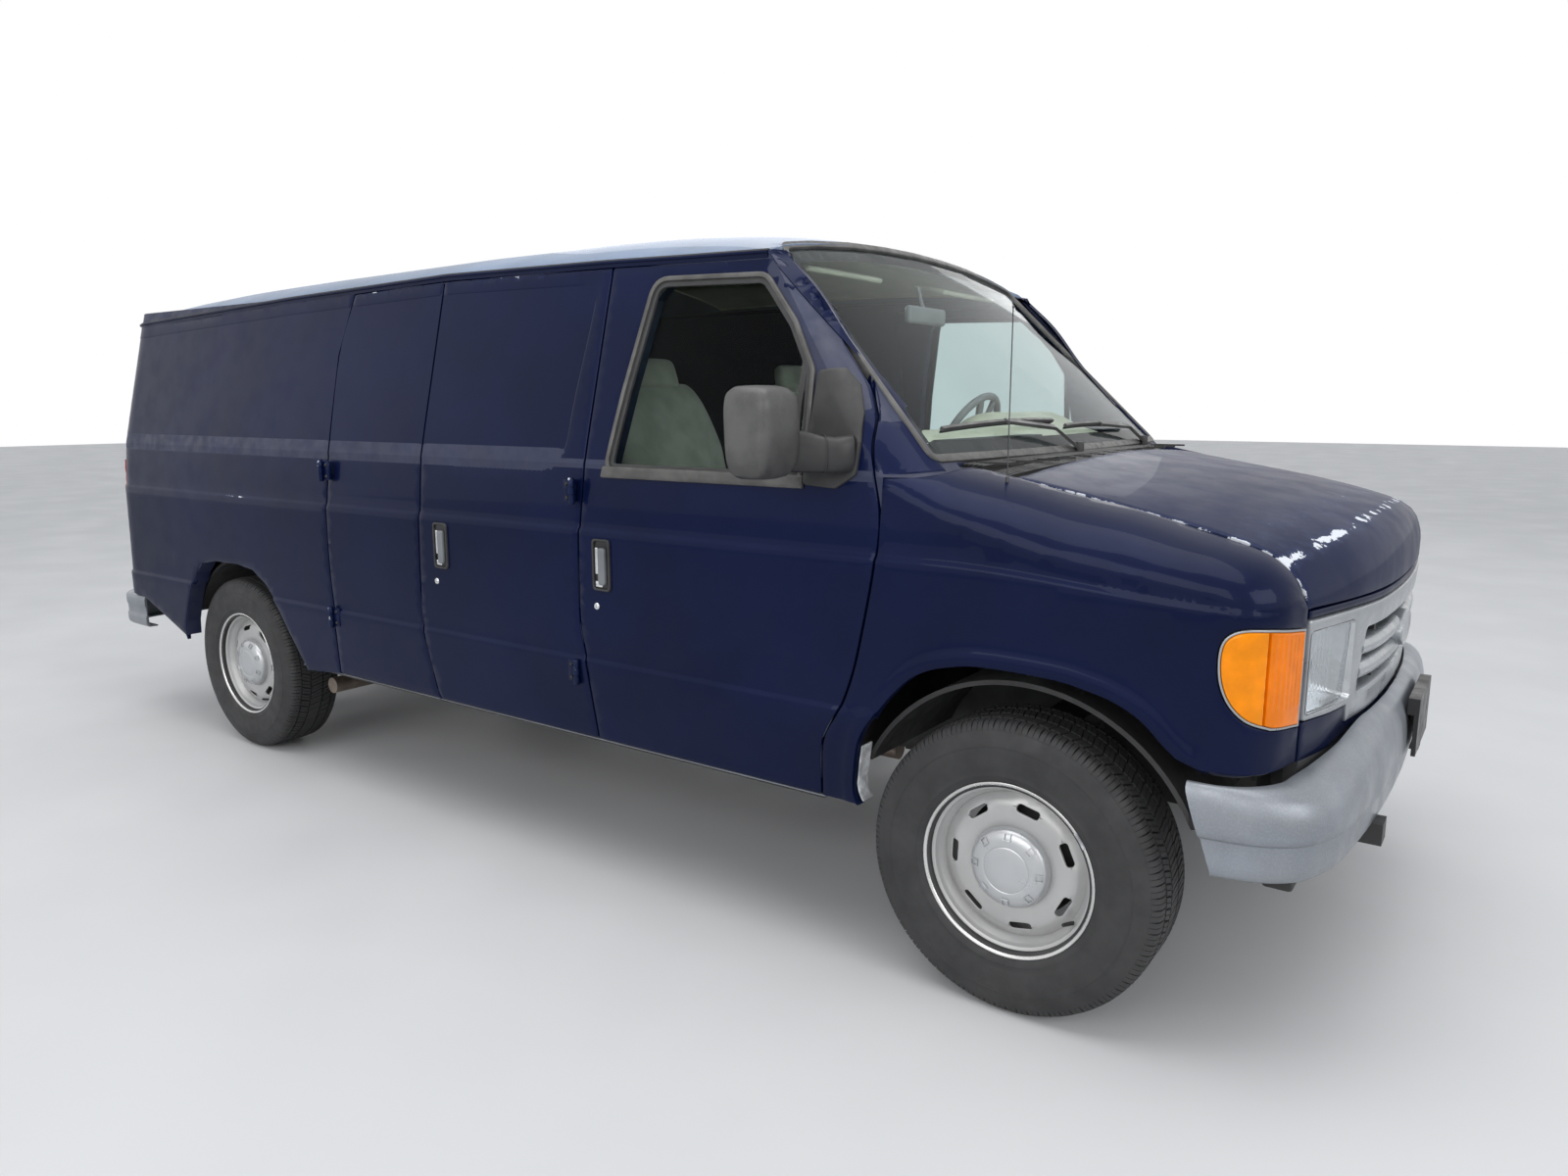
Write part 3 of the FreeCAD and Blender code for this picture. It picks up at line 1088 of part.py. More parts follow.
wiper_skin = body_solid(-mm("wiper_arm"), -mm("wiper_arm")).cut(body_solid(-mm("seat_gap"), -mm("seat_gap")))
wiper_items = []
for line in wiper_shares:
    points = yz(line)
    thick = mm("wiper_arm") / 2
    outline = [(y, z + thick) for y, z in points] + [(y, z - thick) for y, z in reversed(points)]
    wiper_items.append(wiper_skin.common(prism_yz(outline, sx(0.85), sx(1.1))))
feature("wipers", Part.makeCompound(wiper_items))

# Check every object, then write the pieces.

NODES = (
    "frame_rails", "floor_pan", "side_left", "side_right", "roof_panel", "cowl_panel", "windshield",
    "fenders",
    "header_panel", "grille", "headlamps", "turn_signals", "front_bumper", "plate_bracket", "rear_bumper",
    "tail_lamps", "engine_block", "exhaust_pipe", "fuel_tank", "rear_axle", "leaf_springs",
    "front_axle_beams",
    "dashboard", "steering_wheel", "seats", "wipers", "antenna", "hood_panel", "door_left", "door_glass_left",
    "mirror_left", "door_right", "door_glass_right", "mirror_right", "cargo_door_front", "cargo_door_rear",
    "rear_door_left", "rear_glass_left", "rear_door_right", "rear_glass_right", "knuckle_left",
    "knuckle_right",
    "rim_front_left", "rim_front_right", "rim_rear_left", "rim_rear_right",
    "tyre_front_left", "tyre_front_right", "tyre_rear_left", "tyre_rear_right",
)

doc.recompute()
for item in doc.Objects:
    if "Invalid" in item.State or "Error" in item.State:
        raise RuntimeError("%s failed" % item.Name)
os.makedirs("parts", exist_ok=True)
for name in NODES:
    item = doc.getObject(name)
    item.Label = name
    shape = item.Shape
    if shape.isNull() or not shape.isValid():
        raise RuntimeError("%s is not a sound solid" % name)
    shape.exportStep("parts/%s.step" % name)
    corners = shape.BoundBox
    print("%-20s %2d solids %8.2f l  x %6.0f %6.0f  y %6.0f %6.0f  z %5.0f %5.0f" % (
        name, len(shape.Solids), shape.Volume / 1e6, corners.XMin, corners.XMax, corners.YMin, corners.YMax,
        corners.ZMin, corners.ZMax))
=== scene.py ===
# %% [markdown]
# A full-size panel van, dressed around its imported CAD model. This first cell
# loads that model as a fixed frame. X points forward, Y to the van's left and
# Z up, in metres, so a piece goes where the CAD says and needs no fitting.

# %% Load the frame
import math
import bmesh
import bpy
import numpy as np
from mathutils import Matrix, Vector
from mathutils.geometry import delaunay_2d_cdt


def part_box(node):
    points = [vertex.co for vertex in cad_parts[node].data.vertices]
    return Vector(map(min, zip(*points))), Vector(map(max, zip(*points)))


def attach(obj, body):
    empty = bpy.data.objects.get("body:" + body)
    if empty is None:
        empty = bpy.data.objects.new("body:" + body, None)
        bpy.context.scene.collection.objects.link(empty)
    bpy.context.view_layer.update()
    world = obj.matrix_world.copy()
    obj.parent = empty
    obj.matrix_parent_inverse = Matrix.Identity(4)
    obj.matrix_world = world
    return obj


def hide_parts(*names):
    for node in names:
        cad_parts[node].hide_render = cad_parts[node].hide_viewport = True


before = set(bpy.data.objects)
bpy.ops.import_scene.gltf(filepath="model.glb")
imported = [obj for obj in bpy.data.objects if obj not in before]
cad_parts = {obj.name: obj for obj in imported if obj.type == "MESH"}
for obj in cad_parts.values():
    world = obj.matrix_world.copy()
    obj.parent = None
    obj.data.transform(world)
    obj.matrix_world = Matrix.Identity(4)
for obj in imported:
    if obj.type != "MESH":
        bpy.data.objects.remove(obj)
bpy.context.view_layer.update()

# %% [markdown]
# The body is measured in shares, as in the CAD source: lengthwise from the
# rear axle (0) to the front axle (1) and out to the bumpers (-1 and 2), upwards
# in shares of the height, and across in shares of half the width. One set of
# numbers then drives every panel, so neighbours always meet.

# %% Places on the van
WHEELBASE, FRONT_OVERHANG, REAR_OVERHANG = 3.505, 0.755, 1.124
HALF_WIDTH, HEIGHT = 1.007, 2.029
FRONT_AXLE = (WHEELBASE + REAR_OVERHANG - FRONT_OVERHANG) / 2
REAR_AXLE = FRONT_AXLE - WHEELBASE
TYRE_RADIUS = 0.3677
FRONT_TRACK, REAR_TRACK = 1.763, 1.704


def sx(share):
    if share < 0:
        return REAR_AXLE + REAR_OVERHANG * share
    if share > 1:
        return FRONT_AXLE + FRONT_OVERHANG * (share - 1)
    return REAR_AXLE + WHEELBASE * share


def sy(share):
    return HALF_WIDTH * share


def sz(share):
    return HEIGHT * share


def xz(shares):
    return [(sx(a), sz(b)) for a, b in shares]


print("axles at", round(FRONT_AXLE, 3), round(REAR_AXLE, 3))

# %% [markdown]
# Car bodies are smooth, so a panel here is not a box with bevels. Its outline
# is drawn flat, filled with a fine net of triangles (a constrained Delaunay
# net, which Blender's mathutils makes), and every point is then laid on the
# body's surface. The edge is folded in like a real hem, and a second layer
# behind closes the sheet. These helpers do the flat part of that work.

# %% Outlines: rounding, even spacing, growing
def smoothstep(value, low, high):
    share = np.clip((np.asarray(value, float) - low) / (high - low), 0, 1)
    return share * share * (3 - 2 * share)


def area_of(loop):
    pts = np.asarray(loop, float)
    nxt = np.roll(pts, -1, axis=0)
    return 0.5 * float(np.sum(pts[:, 0] * nxt[:, 1] - nxt[:, 0] * pts[:, 1]))


def counterclockwise(loop):
    return list(loop) if area_of(loop) > 0 else list(reversed(loop))


def rounded(loop, radius, steps=5):
    """The closed outline with each corner turned into a short arc."""
    points, result = [np.array(p, float) for p in loop], []
    radii = radius if isinstance(radius, (list, tuple)) else [radius] * len(points)
    for index, here in enumerate(points):
        before, after = points[index - 1], points[(index + 1) % len(points)]
        to_before, to_after = before - here, after - here
        reach = min(np.linalg.norm(to_before), np.linalg.norm(to_after)) * 0.45
        cosine = np.dot(to_before, to_after) / (np.linalg.norm(to_before) * np.linalg.norm(to_after))
        half = math.acos(max(-1, min(1, cosine))) / 2
        cut = min(radii[index] / max(math.tan(half), 1e-6), reach)
        if radii[index] <= 0 or half > 1.55:
            result.append(tuple(here))
            continue
        first = here + to_before / np.linalg.norm(to_before) * cut
        last = here + to_after / np.linalg.norm(to_after) * cut
        for step in range(steps + 1):
            t = step / steps
            result.append(tuple((1 - t) ** 2 * first + 2 * t * (1 - t) * here + t * t * last))
    return result


def spaced(loop, step, closed=True):
    """Points at about an even distance along the outline, with its corners kept."""
    result, count = [], len(loop)
    for index in range(count if closed else count - 1):
        a, b = np.array(loop[index], float), np.array(loop[(index + 1) % count], float)
        pieces = max(1, int(round(np.linalg.norm(b - a) / step)))
        result += [tuple(a + (b - a) * k / pieces) for k in range(pieces)]
    if not closed:
        result.append(tuple(loop[-1]))
    return result


def grown(loop, distance):
    """The closed counterclockwise outline moved out by a distance."""
    pts = np.asarray(loop, float)
    edge = np.roll(pts, -1, axis=0) - pts
    edge /= np.maximum(np.linalg.norm(edge, axis=1, keepdims=True), 1e-12)
    normal = np.stack([edge[:, 1], -edge[:, 0]], axis=1)
    both = normal + np.roll(normal, 1, axis=0)
    dots = np.maximum(1 + np.sum(normal * np.roll(normal, 1, axis=0), axis=1, keepdims=True), 0.35)
    return [tuple(p) for p in pts + distance * both / dots]


def inside(points, loop):
    pts, poly = np.asarray(points, float), np.asarray(loop, float)
    result = np.zeros(len(pts), bool)
    x, y = pts[:, 0], pts[:, 1]
    for (x0, y0), (x1, y1) in zip(poly, np.roll(poly, -1, axis=0)):
        crosses = (y0 > y) != (y1 > y)
        if crosses.any():
            result ^= crosses & (x < (x1 - x0) * (y - y0) / ((y1 - y0) or 1e-12) + x0)
    return result


def distance_to(points, lines):
    """How far each point lies from the nearest of the given segments."""
    pts = np.asarray(points, float)
    best = np.full(len(pts), 1e9)
    for line in lines:
        a = np.asarray(line, float)
        for p, q in zip(a[:-1], a[1:]):
            d = q - p
            t = np.clip(((pts - p) @ d) / max(float(d @ d), 1e-18), 0, 1)
            best = np.minimum(best, np.linalg.norm(pts - p - t[:, None] * d, axis=1))
    return best


def lengths_along(line):
    """How far along a line each of its points lies."""
    return np.concatenate([[0], np.cumsum(np.linalg.norm(np.diff(line, axis=0), axis=1))])


def place_along(reach, lengths, line):
    """The place that lies a given way along a line."""
    return [np.interp(reach, lengths, line[:, k]) for k in (0, 1)]


def flat_net(loops, step, ribs=()):
    """Triangles between the outer loop and its holes. Ribs are lines that get points of their own."""
    ends = [list(loop) + [loop[0]] for loop in loops]
    outer = np.asarray(loops[0], float)
    low, high = outer.min(axis=0), outer.max(axis=0)
    columns = np.arange(low[0] + step / 2, high[0], step)
    rows = np.arange(low[1] + step / 2, high[1], step)
    grid = np.array([(x + (step / 2 if k % 2 else 0), y) for k, y in enumerate(rows) for x in columns])
    rib_points = [np.asarray(spaced(rib, step * 0.8, closed=False)) for rib in ribs]
    extra = np.concatenate(rib_points) if rib_points else np.zeros((0, 2))

    def allowed(points, margin):
        if not len(points):
            return points
        keep = inside(points, loops[0])
        for hole in loops[1:]:
            keep &= ~inside(points, hole)
        points = points[keep]
        return points[distance_to(points, ends) > margin] if len(points) else points
    extra = allowed(extra, step * 0.2)
    grid = allowed(grid, step * 0.45)
    if len(ribs) and len(grid):
        grid = grid[distance_to(grid, ribs) > step * 0.45]
    points = [Vector(p) for loop in loops for p in loop]
    points += [Vector(p) for p in extra] + [Vector(p) for p in grid]
    edges, start = [], 0
    for loop in loops:
        edges += [(start + k, start + (k + 1) % len(loop)) for k in range(len(loop))]
        start += len(loop)
    verts, _, faces, origins, _, _ = delaunay_2d_cdt(points, edges, [], 0, 1e-7)
    flat = np.array([tuple(v) for v in verts])
    middle = np.array([flat[list(f)].mean(axis=0) for f in faces])
    keep = inside(middle, loops[0])
    for hole in loops[1:]:
        keep &= ~inside(middle, hole)
    back = {}
    for new, olds in enumerate(origins):
        for old in olds:
            back[old] = new
    borders, start = [], 0
    for loop in loops:
        borders.append([back[start + k] for k in range(len(loop))])
        start += len(loop)
    triangles = [tuple(f) for f, ok in zip(faces, keep) if ok]
    return flat, triangles, borders


# %% [markdown]
# A surface is a function that takes two flat numbers and gives a place on the
# body. Its outward direction comes from two tiny steps across it. That is all
# that is needed to lay a net on it, to fold its hem and to give it a wall.

# %% From flat net to folded sheet
def outward(surface, u, v, side):
    tiny = 1e-4
    du = surface(u + tiny, v) - surface(u - tiny, v)
    dv = surface(u, v + tiny) - surface(u, v - tiny)
    normal = np.cross(du, dv)
    normal /= np.maximum(np.linalg.norm(normal, axis=1, keepdims=True), 1e-12)
    return normal * side


def spot(surface, u, v):
    """One place on a surface."""
    return surface(np.array([u]), np.array([v]))[0]


def lay(surface, flat, height, side):
    pts = np.asarray(flat, float)
    return surface(pts[:, 0], pts[:, 1]) + outward(surface, pts[:, 0], pts[:, 1], side) * height


def placed(name, mesh):
    piece = bpy.data.objects.new(name, mesh)
    bpy.context.scene.collection.objects.link(piece)
    return piece


def softened(mesh, crisp):
    """Smooth shading, with the edges that turn by more than an angle left sharp."""
    for polygon in mesh.polygons:
        polygon.use_smooth = True
    mesh.set_sharp_from_angle(angle=math.radians(crisp))


def mesh_object(name, verts, faces, material, crisp=40):
    mesh = bpy.data.meshes.new(name)
    mesh.from_pydata([tuple(v) for v in verts], [], [tuple(f) for f in faces])
    mesh.validate()
    work = bmesh.new()
    work.from_mesh(mesh)
    bmesh.ops.remove_doubles(work, verts=work.verts, dist=1e-6)
    bmesh.ops.recalc_face_normals(work, faces=work.faces)
    work.to_mesh(mesh)
    work.free()
    softened(mesh, crisp)
    if material:
        mesh.materials.append(material)
    return placed(name, mesh)


def sheet_piece(name, outline, surface, material, side=1, holes=(), step=0.022, ribs=(), proud=0.0018,
                deep=0.012, wall=0.0012, hem=0.003, crisp=40, relief=None, loop_step=0.012, back=0.0005):
    """A closed pressed sheet: outer face, folded hem and the face behind it."""
    loops = [counterclockwise(spaced(outline, loop_step))]
    loops += [list(reversed(counterclockwise(spaced(hole, loop_step)))) for hole in holes]
    face_loops = [grown(loop, -hem) for loop in loops]
    flat, triangles, borders = flat_net(face_loops, step, ribs)
    height = np.full(len(flat), proud)
    if relief:
        height = height + relief(flat[:, 0], flat[:, 1])
    front = lay(surface, flat, height[:, None], side)
    verts, faces = list(front), list(triangles)
    rings = [(-hem * 0.3, proud - hem * 0.3), (0.0, proud - hem), (0.0, -deep), (-wall, -deep),
             (-wall, back)]
    last_rings = []
    for loop, border in zip(loops, borders):
        previous = list(border)
        lift = relief(np.array([p[0] for p in loop]), np.array([p[1] for p in loop])) if relief else None
        for number, (grow, level) in enumerate(rings):
            levels = np.full(len(loop), level)
            if relief and number < 2:
                levels = levels + lift
            ring = lay(surface, grown(loop, grow), levels[:, None], side)
            start = len(verts)
            verts += list(ring)
            current = list(range(start, start + len(loop)))
            count = len(loop)
            for k in range(count):
                n = (k + 1) % count
                faces.append((previous[k], current[k], current[n], previous[n]))
            previous = current
        last_rings.append(previous)
    behind = lay(surface, flat, np.full((len(flat), 1), back), side)
    remap, start = {}, len(verts)
    for border, ring in zip(borders, last_rings):
        for old, new in zip(border, ring):
            remap[old] = new
    for index in range(len(flat)):
        if index not in remap:
            remap[index] = start
            verts.append(behind[index])
            start += 1
    faces += [tuple(reversed([remap[k] for k in triangle])) for triangle in triangles]
    piece = mesh_object(name, verts, faces, material, crisp)
    print(name, len(piece.data.polygons), "faces")
    return piece


def grid_piece(name, rows, material, closed_u=False, closed_v=False, wall=0.0, crisp=40, caps=False):
    """A net through rows of places. A wall makes it a closed sheet, caps close its two ends."""
    rows = [np.asarray(row, float) for row in rows]
    high, wide = len(rows), len(rows[0])
    verts = [tuple(p) for row in rows for p in row]
    faces = []
    for i in range(high if closed_v else high - 1):
        for j in range(wide if closed_u else wide - 1):
            a, b = i * wide + j, i * wide + (j + 1) % wide
            c, d = ((i + 1) % high) * wide + (j + 1) % wide, ((i + 1) % high) * wide + j
            faces.append((a, b, c, d))
    if caps:
        faces.append(tuple(range(wide)))
        faces.append(tuple(reversed(range((high - 1) * wide, high * wide))))
    piece = mesh_object(name, verts, faces, material, crisp)
    if wall:
        solid = piece.modifiers.new("wall", "SOLIDIFY")
        solid.thickness, solid.offset = wall, -1
        piece = baked(piece)
        softened(piece.data, crisp)
    return piece


def baked(piece):
    """The piece with its modifiers turned into plain mesh."""
    depsgraph = bpy.context.evaluated_depsgraph_get()
    mesh = bpy.data.meshes.new_from_object(piece.evaluated_get(depsgraph))
    piece.modifiers.clear()
    old, piece.data = piece.data, mesh
    mesh.name = piece.name
    bpy.data.meshes.remove(old)
    return piece


def joined(name, pieces):
    """One piece from several, which keeps their materials."""
    materials, verts, faces, slots, smooth = [], [], [], [], []
    for piece in pieces:
        start = len(verts)
        verts += [tuple(piece.matrix_world @ v.co) for v in piece.data.vertices]
        index = []
        for material in piece.data.materials:
            if material not in materials:
                materials.append(material)
            index.append(materials.index(material))
        for polygon in piece.data.polygons:
            faces.append(tuple(start + k for k in polygon.vertices))
            slots.append(index[polygon.material_index] if index else 0)
            smooth.append(polygon.use_smooth)
    mesh = bpy.data.meshes.new(name)
    mesh.from_pydata(verts, [], faces)
    for material in materials:
        mesh.materials.append(material)
    for polygon, slot, soft in zip(mesh.polygons, slots, smooth):
        polygon.material_index, polygon.use_smooth = slot, soft
    mesh.set_sharp_from_angle(angle=math.radians(38))
    for piece in pieces:
        data = piece.data
        bpy.data.objects.remove(piece)
        bpy.data.meshes.remove(data)
    return placed(name, mesh)


ACROSS = Matrix.Diagonal((1, -1, 1, 1))


def turned(piece, matrix):
    piece.data.transform(matrix)
    if matrix.determinant() < 0:
        piece.data.flip_normals()
    return piece


def mirror_of(piece, name):
    """The same piece on the van's other side."""
    return turned(placed(name, piece.data.copy()), ACROSS)


def soft_box(name, low, high, material, edge=0.004, steps=3, crisp=50):
    """A moulded block with rounded edges."""
    work = bmesh.new()
    bmesh.ops.create_cube(work, size=1)
    low, high = Vector(low), Vector(high)
    for vert in work.verts:
        vert.co = Vector((low[k] + (high[k] - low[k]) * (vert.co[k] + 0.5) for k in range(3)))
    bmesh.ops.bevel(work, geom=work.edges[:], offset=edge, segments=steps, affect="EDGES", profile=0.5)
    mesh = bpy.data.meshes.new(name)
    work.to_mesh(mesh)
    work.free()
    softened(mesh, crisp)
    mesh.materials.append(material)
    return placed(name, mesh)


def spun(name, profile, material, centre=(0, 0, 0), axis="Y", steps=96, crisp=35, closed=True):
    """A turned piece: radius and place along the axis, spun about it."""
    rows = []
    for k in range(steps):
        angle = 2 * math.pi * k / steps
        ring = []
        for radius, along in profile:
            a, b = radius * math.cos(angle), radius * math.sin(angle)
            place = {"X": (along, a, b), "Y": (a, along, b), "Z": (a, b, along)}[axis]
            ring.append((place[0] + centre[0], place[1] + centre[1], place[2] + centre[2]))
        rows.append(ring)
    return grid_piece(name, rows, material, closed_u=closed, closed_v=True, crisp=crisp)


def swept(name, path, section, material, up=(0, 0, 1), closed=False, crisp=40, turn=None):
    """A section of (across, up) places drawn along a path."""
    path = [Vector(p) for p in path]
    rows = []
    count = len(path)
    for k, place in enumerate(path):
        if closed:
            ahead = path[(k + 1) % count] - path[k - 1]
        else:
            ahead = path[min(k + 1, count - 1)] - path[max(k - 1, 0)]
        ahead.normalize()
        lift = Vector(turn(place)) if turn else Vector(up)
        across = ahead.cross(lift).normalized()
        lift = across.cross(ahead).normalized()
        rows.append([place + across * a + lift * b for a, b in section])
    return grid_piece(name, rows, material, closed_u=True, closed_v=closed, crisp=crisp, caps=not closed)


def circle_section(radius, sides=10):
    return [(radius * math.cos(2 * math.pi * k / sides), radius * math.sin(2 * math.pi * k / sides))
            for k in range(sides)]


# %% [markdown]
# Finishes come next. Each is a Principled shader with its own noise for colour,
# gloss and bump. What several finishes share, such as fine bump, road dust and
# peeling paint, is a node group that is built once, with named inputs.

# %% Node tools
def node(tree, kind, **values):
    item = tree.nodes.new(kind)
    for name, value in values.items():
        if hasattr(item, name) and name not in item.inputs:
            setattr(item, name, value)
        else:
            item.inputs[name.replace("_", " ")].default_value = value
    return item


def link(tree, source, target):
    tree.links.new(source, target)


def noise(tree, coords, scale, detail=3.0, roughness=0.55):
    item = node(tree, "ShaderNodeTexNoise")
    item.inputs["Scale"].default_value = scale
    item.inputs["Detail"].default_value = detail
    item.inputs["Roughness"].default_value = roughness
    link(tree, coords, item.inputs["Vector"])
    return item.outputs["Fac"]


def ramp(tree, source, low, high, bottom=0.0, top=1.0):
    item = node(tree, "ShaderNodeMapRange")
    item.interpolation_type = "SMOOTHSTEP"
    for key, value in (("From Min", low), ("From Max", high), ("To Min", bottom), ("To Max", top)):
        item.inputs[key].default_value = value
    link(tree, source, item.inputs["Value"])
    return item.outputs["Result"]


def maths(tree, kind, first, second):
    item = node(tree, "ShaderNodeMath")
    item.operation = kind
    for index, value in enumerate((first, second)):
        if isinstance(value, (int, float)):
            item.inputs[index].default_value = value
        else:
            link(tree, value, item.inputs[index])
    return item.outputs[0]


def mixed(tree, share, first, second):
    item = node(tree, "ShaderNodeMix")
    item.data_type = "RGBA"
    item.clamp_factor = True
    for key, value in ((0, share), (6, first), (7, second)):
        if isinstance(value, (int, float)):
            item.inputs[key].default_value = value
        elif isinstance(value, (tuple, list)):
            item.inputs[key].default_value = (*value, 1) if len(value) == 3 else value
        else:
            link(tree, value, item.inputs[key])
    return item.outputs[2]


def shader_group(name, inputs, outputs):
    tree = bpy.data.node_groups.new(name, "ShaderNodeTree")
    for label, value in inputs:
        kind = "NodeSocketColor" if isinstance(value, tuple) else "NodeSocketFloat"
        socket = tree.interface.new_socket(label, in_out="INPUT", socket_type=kind)
        socket.default_value = (*value, 1) if isinstance(value, tuple) else value
    for label, kind in outputs:
        tree.interface.new_socket(label, in_out="OUTPUT", socket_type=kind)
    return tree, node(tree, "NodeGroupInput"), node(tree, "NodeGroupOutput")


# %% Groups: surface grain, road dust, peeling paint
def grain_group():
    """Fine bump: a noise on the piece's own places, at a given scale."""
    inputs = [("Scale", 400.0), ("Strength", 0.1), ("Distance", 0.001)]
    outputs = [("Normal", "NodeSocketVector"), ("Speckle", "NodeSocketFloat")]
    tree, inn, out = shader_group("surface grain", inputs, outputs)
    coords = node(tree, "ShaderNodeTexCoord").outputs["Object"]
    texture = node(tree, "ShaderNodeTexNoise", Detail=2.0)
    link(tree, coords, texture.inputs["Vector"])
    link(tree, inn.outputs["Scale"], texture.inputs["Scale"])
    bump = node(tree, "ShaderNodeBump")
    link(tree, texture.outputs["Fac"], bump.inputs["Height"])
    link(tree, inn.outputs["Strength"], bump.inputs["Strength"])
    link(tree, inn.outputs["Distance"], bump.inputs["Distance"])
    link(tree, bump.outputs["Normal"], out.inputs["Normal"])
    link(tree, texture.outputs["Fac"], out.inputs["Speckle"])
    return tree


def dust_group():
    """Dust that lies thicker low on the van, in soft clouds."""
    tree, inn, out = shader_group("road dust", [("Amount", 0.3), ("Height", 0.9)],
                                  [("Mask", "NodeSocketFloat")])
    coords = node(tree, "ShaderNodeTexCoord").outputs["Object"]
    parts = node(tree, "ShaderNodeSeparateXYZ")
    link(tree, coords, parts.inputs[0])
    low = maths(tree, "DIVIDE", parts.outputs["Z"], inn.outputs["Height"])
    low = maths(tree, "SUBTRACT", 1.0, low)
    low = maths(tree, "MAXIMUM", low, 0.0)
    clouds = ramp(tree, noise(tree, coords, 5.0, 6.0), 0.3, 0.75)
    fine = noise(tree, coords, 90.0, 3.0)
    both = maths(tree, "MULTIPLY", maths(tree, "MULTIPLY", clouds, low), maths(tree, "ADD", fine, 0.4))
    link(tree, maths(tree, "MULTIPLY", both, inn.outputs["Amount"]), out.inputs["Mask"])
    return tree


def peel_group():
    """Where clear coat and paint have come off: ragged islands along lines that the mesh marks."""
    tree, inn, out = shader_group("peeling paint", [("Scale", 26.0), ("Reach", 0.5)],
                                  [("Bare", "NodeSocketFloat"), ("Faded", "NodeSocketFloat")])
    coords = node(tree, "ShaderNodeTexCoord").outputs["Object"]
    worn = node(tree, "ShaderNodeAttribute")
    worn.attribute_name = "worn"
    ragged = node(tree, "ShaderNodeTexNoise", Detail=8.0, Roughness=0.68)
    link(tree, coords, ragged.inputs["Vector"])
    link(tree, inn.outputs["Scale"], ragged.inputs["Scale"])
    level = maths(tree, "ADD", maths(tree, "MULTIPLY", worn.outputs["Fac"], inn.outputs["Reach"]),
                  ragged.outputs["Fac"])
    link(tree, ramp(tree, level, 0.975, 0.995), out.inputs["Bare"])
    link(tree, ramp(tree, level, 0.7, 0.98), out.inputs["Faded"])
    return tree


GRAIN, DUST, PEEL = grain_group(), dust_group(), peel_group()


def use(tree, group, **values):
    item = node(tree, "ShaderNodeGroup")
    item.node_tree = group
    for name, value in values.items():
        item.inputs[name].default_value = value
    return item


def finish(name, color, rough=0.5, metal=0.0, grain=(400, 0.08, 0.001), vary=0.15, vary_scale=6.0,
           rough_vary=0.12, dust=0.0, dust_height=0.9, coat=0.0, dust_color=(0.3, 0.28, 0.25), speckle=0.0,
           **extra):
    """A base finish: a varied colour, a varied gloss, a fine bump and some dust."""
    material = bpy.data.materials.new(name)
    material.use_nodes = True
    tree = material.node_tree
    shader = tree.nodes["Principled BSDF"]
    coords = node(tree, "ShaderNodeTexCoord").outputs["Object"]
    cloud = noise(tree, coords, vary_scale, 5.0)
    dark = tuple(c * (1 - vary) for c in color)
    light = tuple(min(1, c * (1 + vary) + vary * 0.004) for c in color)
    tint = mixed(tree, ramp(tree, cloud, 0.3, 0.7), dark, light)
    bump = use(tree, GRAIN, Scale=grain[0], Strength=grain[1], Distance=grain[2])
    if speckle:
        tint = mixed(tree, ramp(tree, bump.outputs["Speckle"], 0.45, 0.65, 0, speckle), tint,
                     tuple(min(1, c * 1.8 + 0.02) for c in color))
    rough_out = ramp(tree, noise(tree, coords, vary_scale * 3.1, 4.0), 0.25, 0.75,
                     max(0.02, rough - rough_vary), min(1, rough + rough_vary))
    if dust:
        mask = use(tree, DUST, Amount=dust, Height=dust_height).outputs["Mask"]
        tint = mixed(tree, mask, tint, dust_color)
        rough_out = maths(tree, "MAXIMUM", rough_out, maths(tree, "MULTIPLY", mask, 0.9))
    link(tree, tint, shader.inputs["Base Color"])
    link(tree, rough_out, shader.inputs["Roughness"])
    link(tree, bump.outputs["Normal"], shader.inputs["Normal"])
    shader.inputs["Metallic"].default_value = metal
    shader.inputs["Coat Weight"].default_value = coat
    for key, value in extra.items():
        shader.inputs[key.replace("_", " ")].default_value = value
    return material


# %% [markdown]
# The van's paint is a dark blue metallic under clear coat. The flakes are a
# metallic base of middling gloss, the clear coat a second, sharp layer. Sun has
# taken the coat off along the hood's front and edges, the gutters and a crease:
# there it is chalky, with ragged white islands. The mesh carries an attribute,
# "worn", that says where, and the noise says how far.

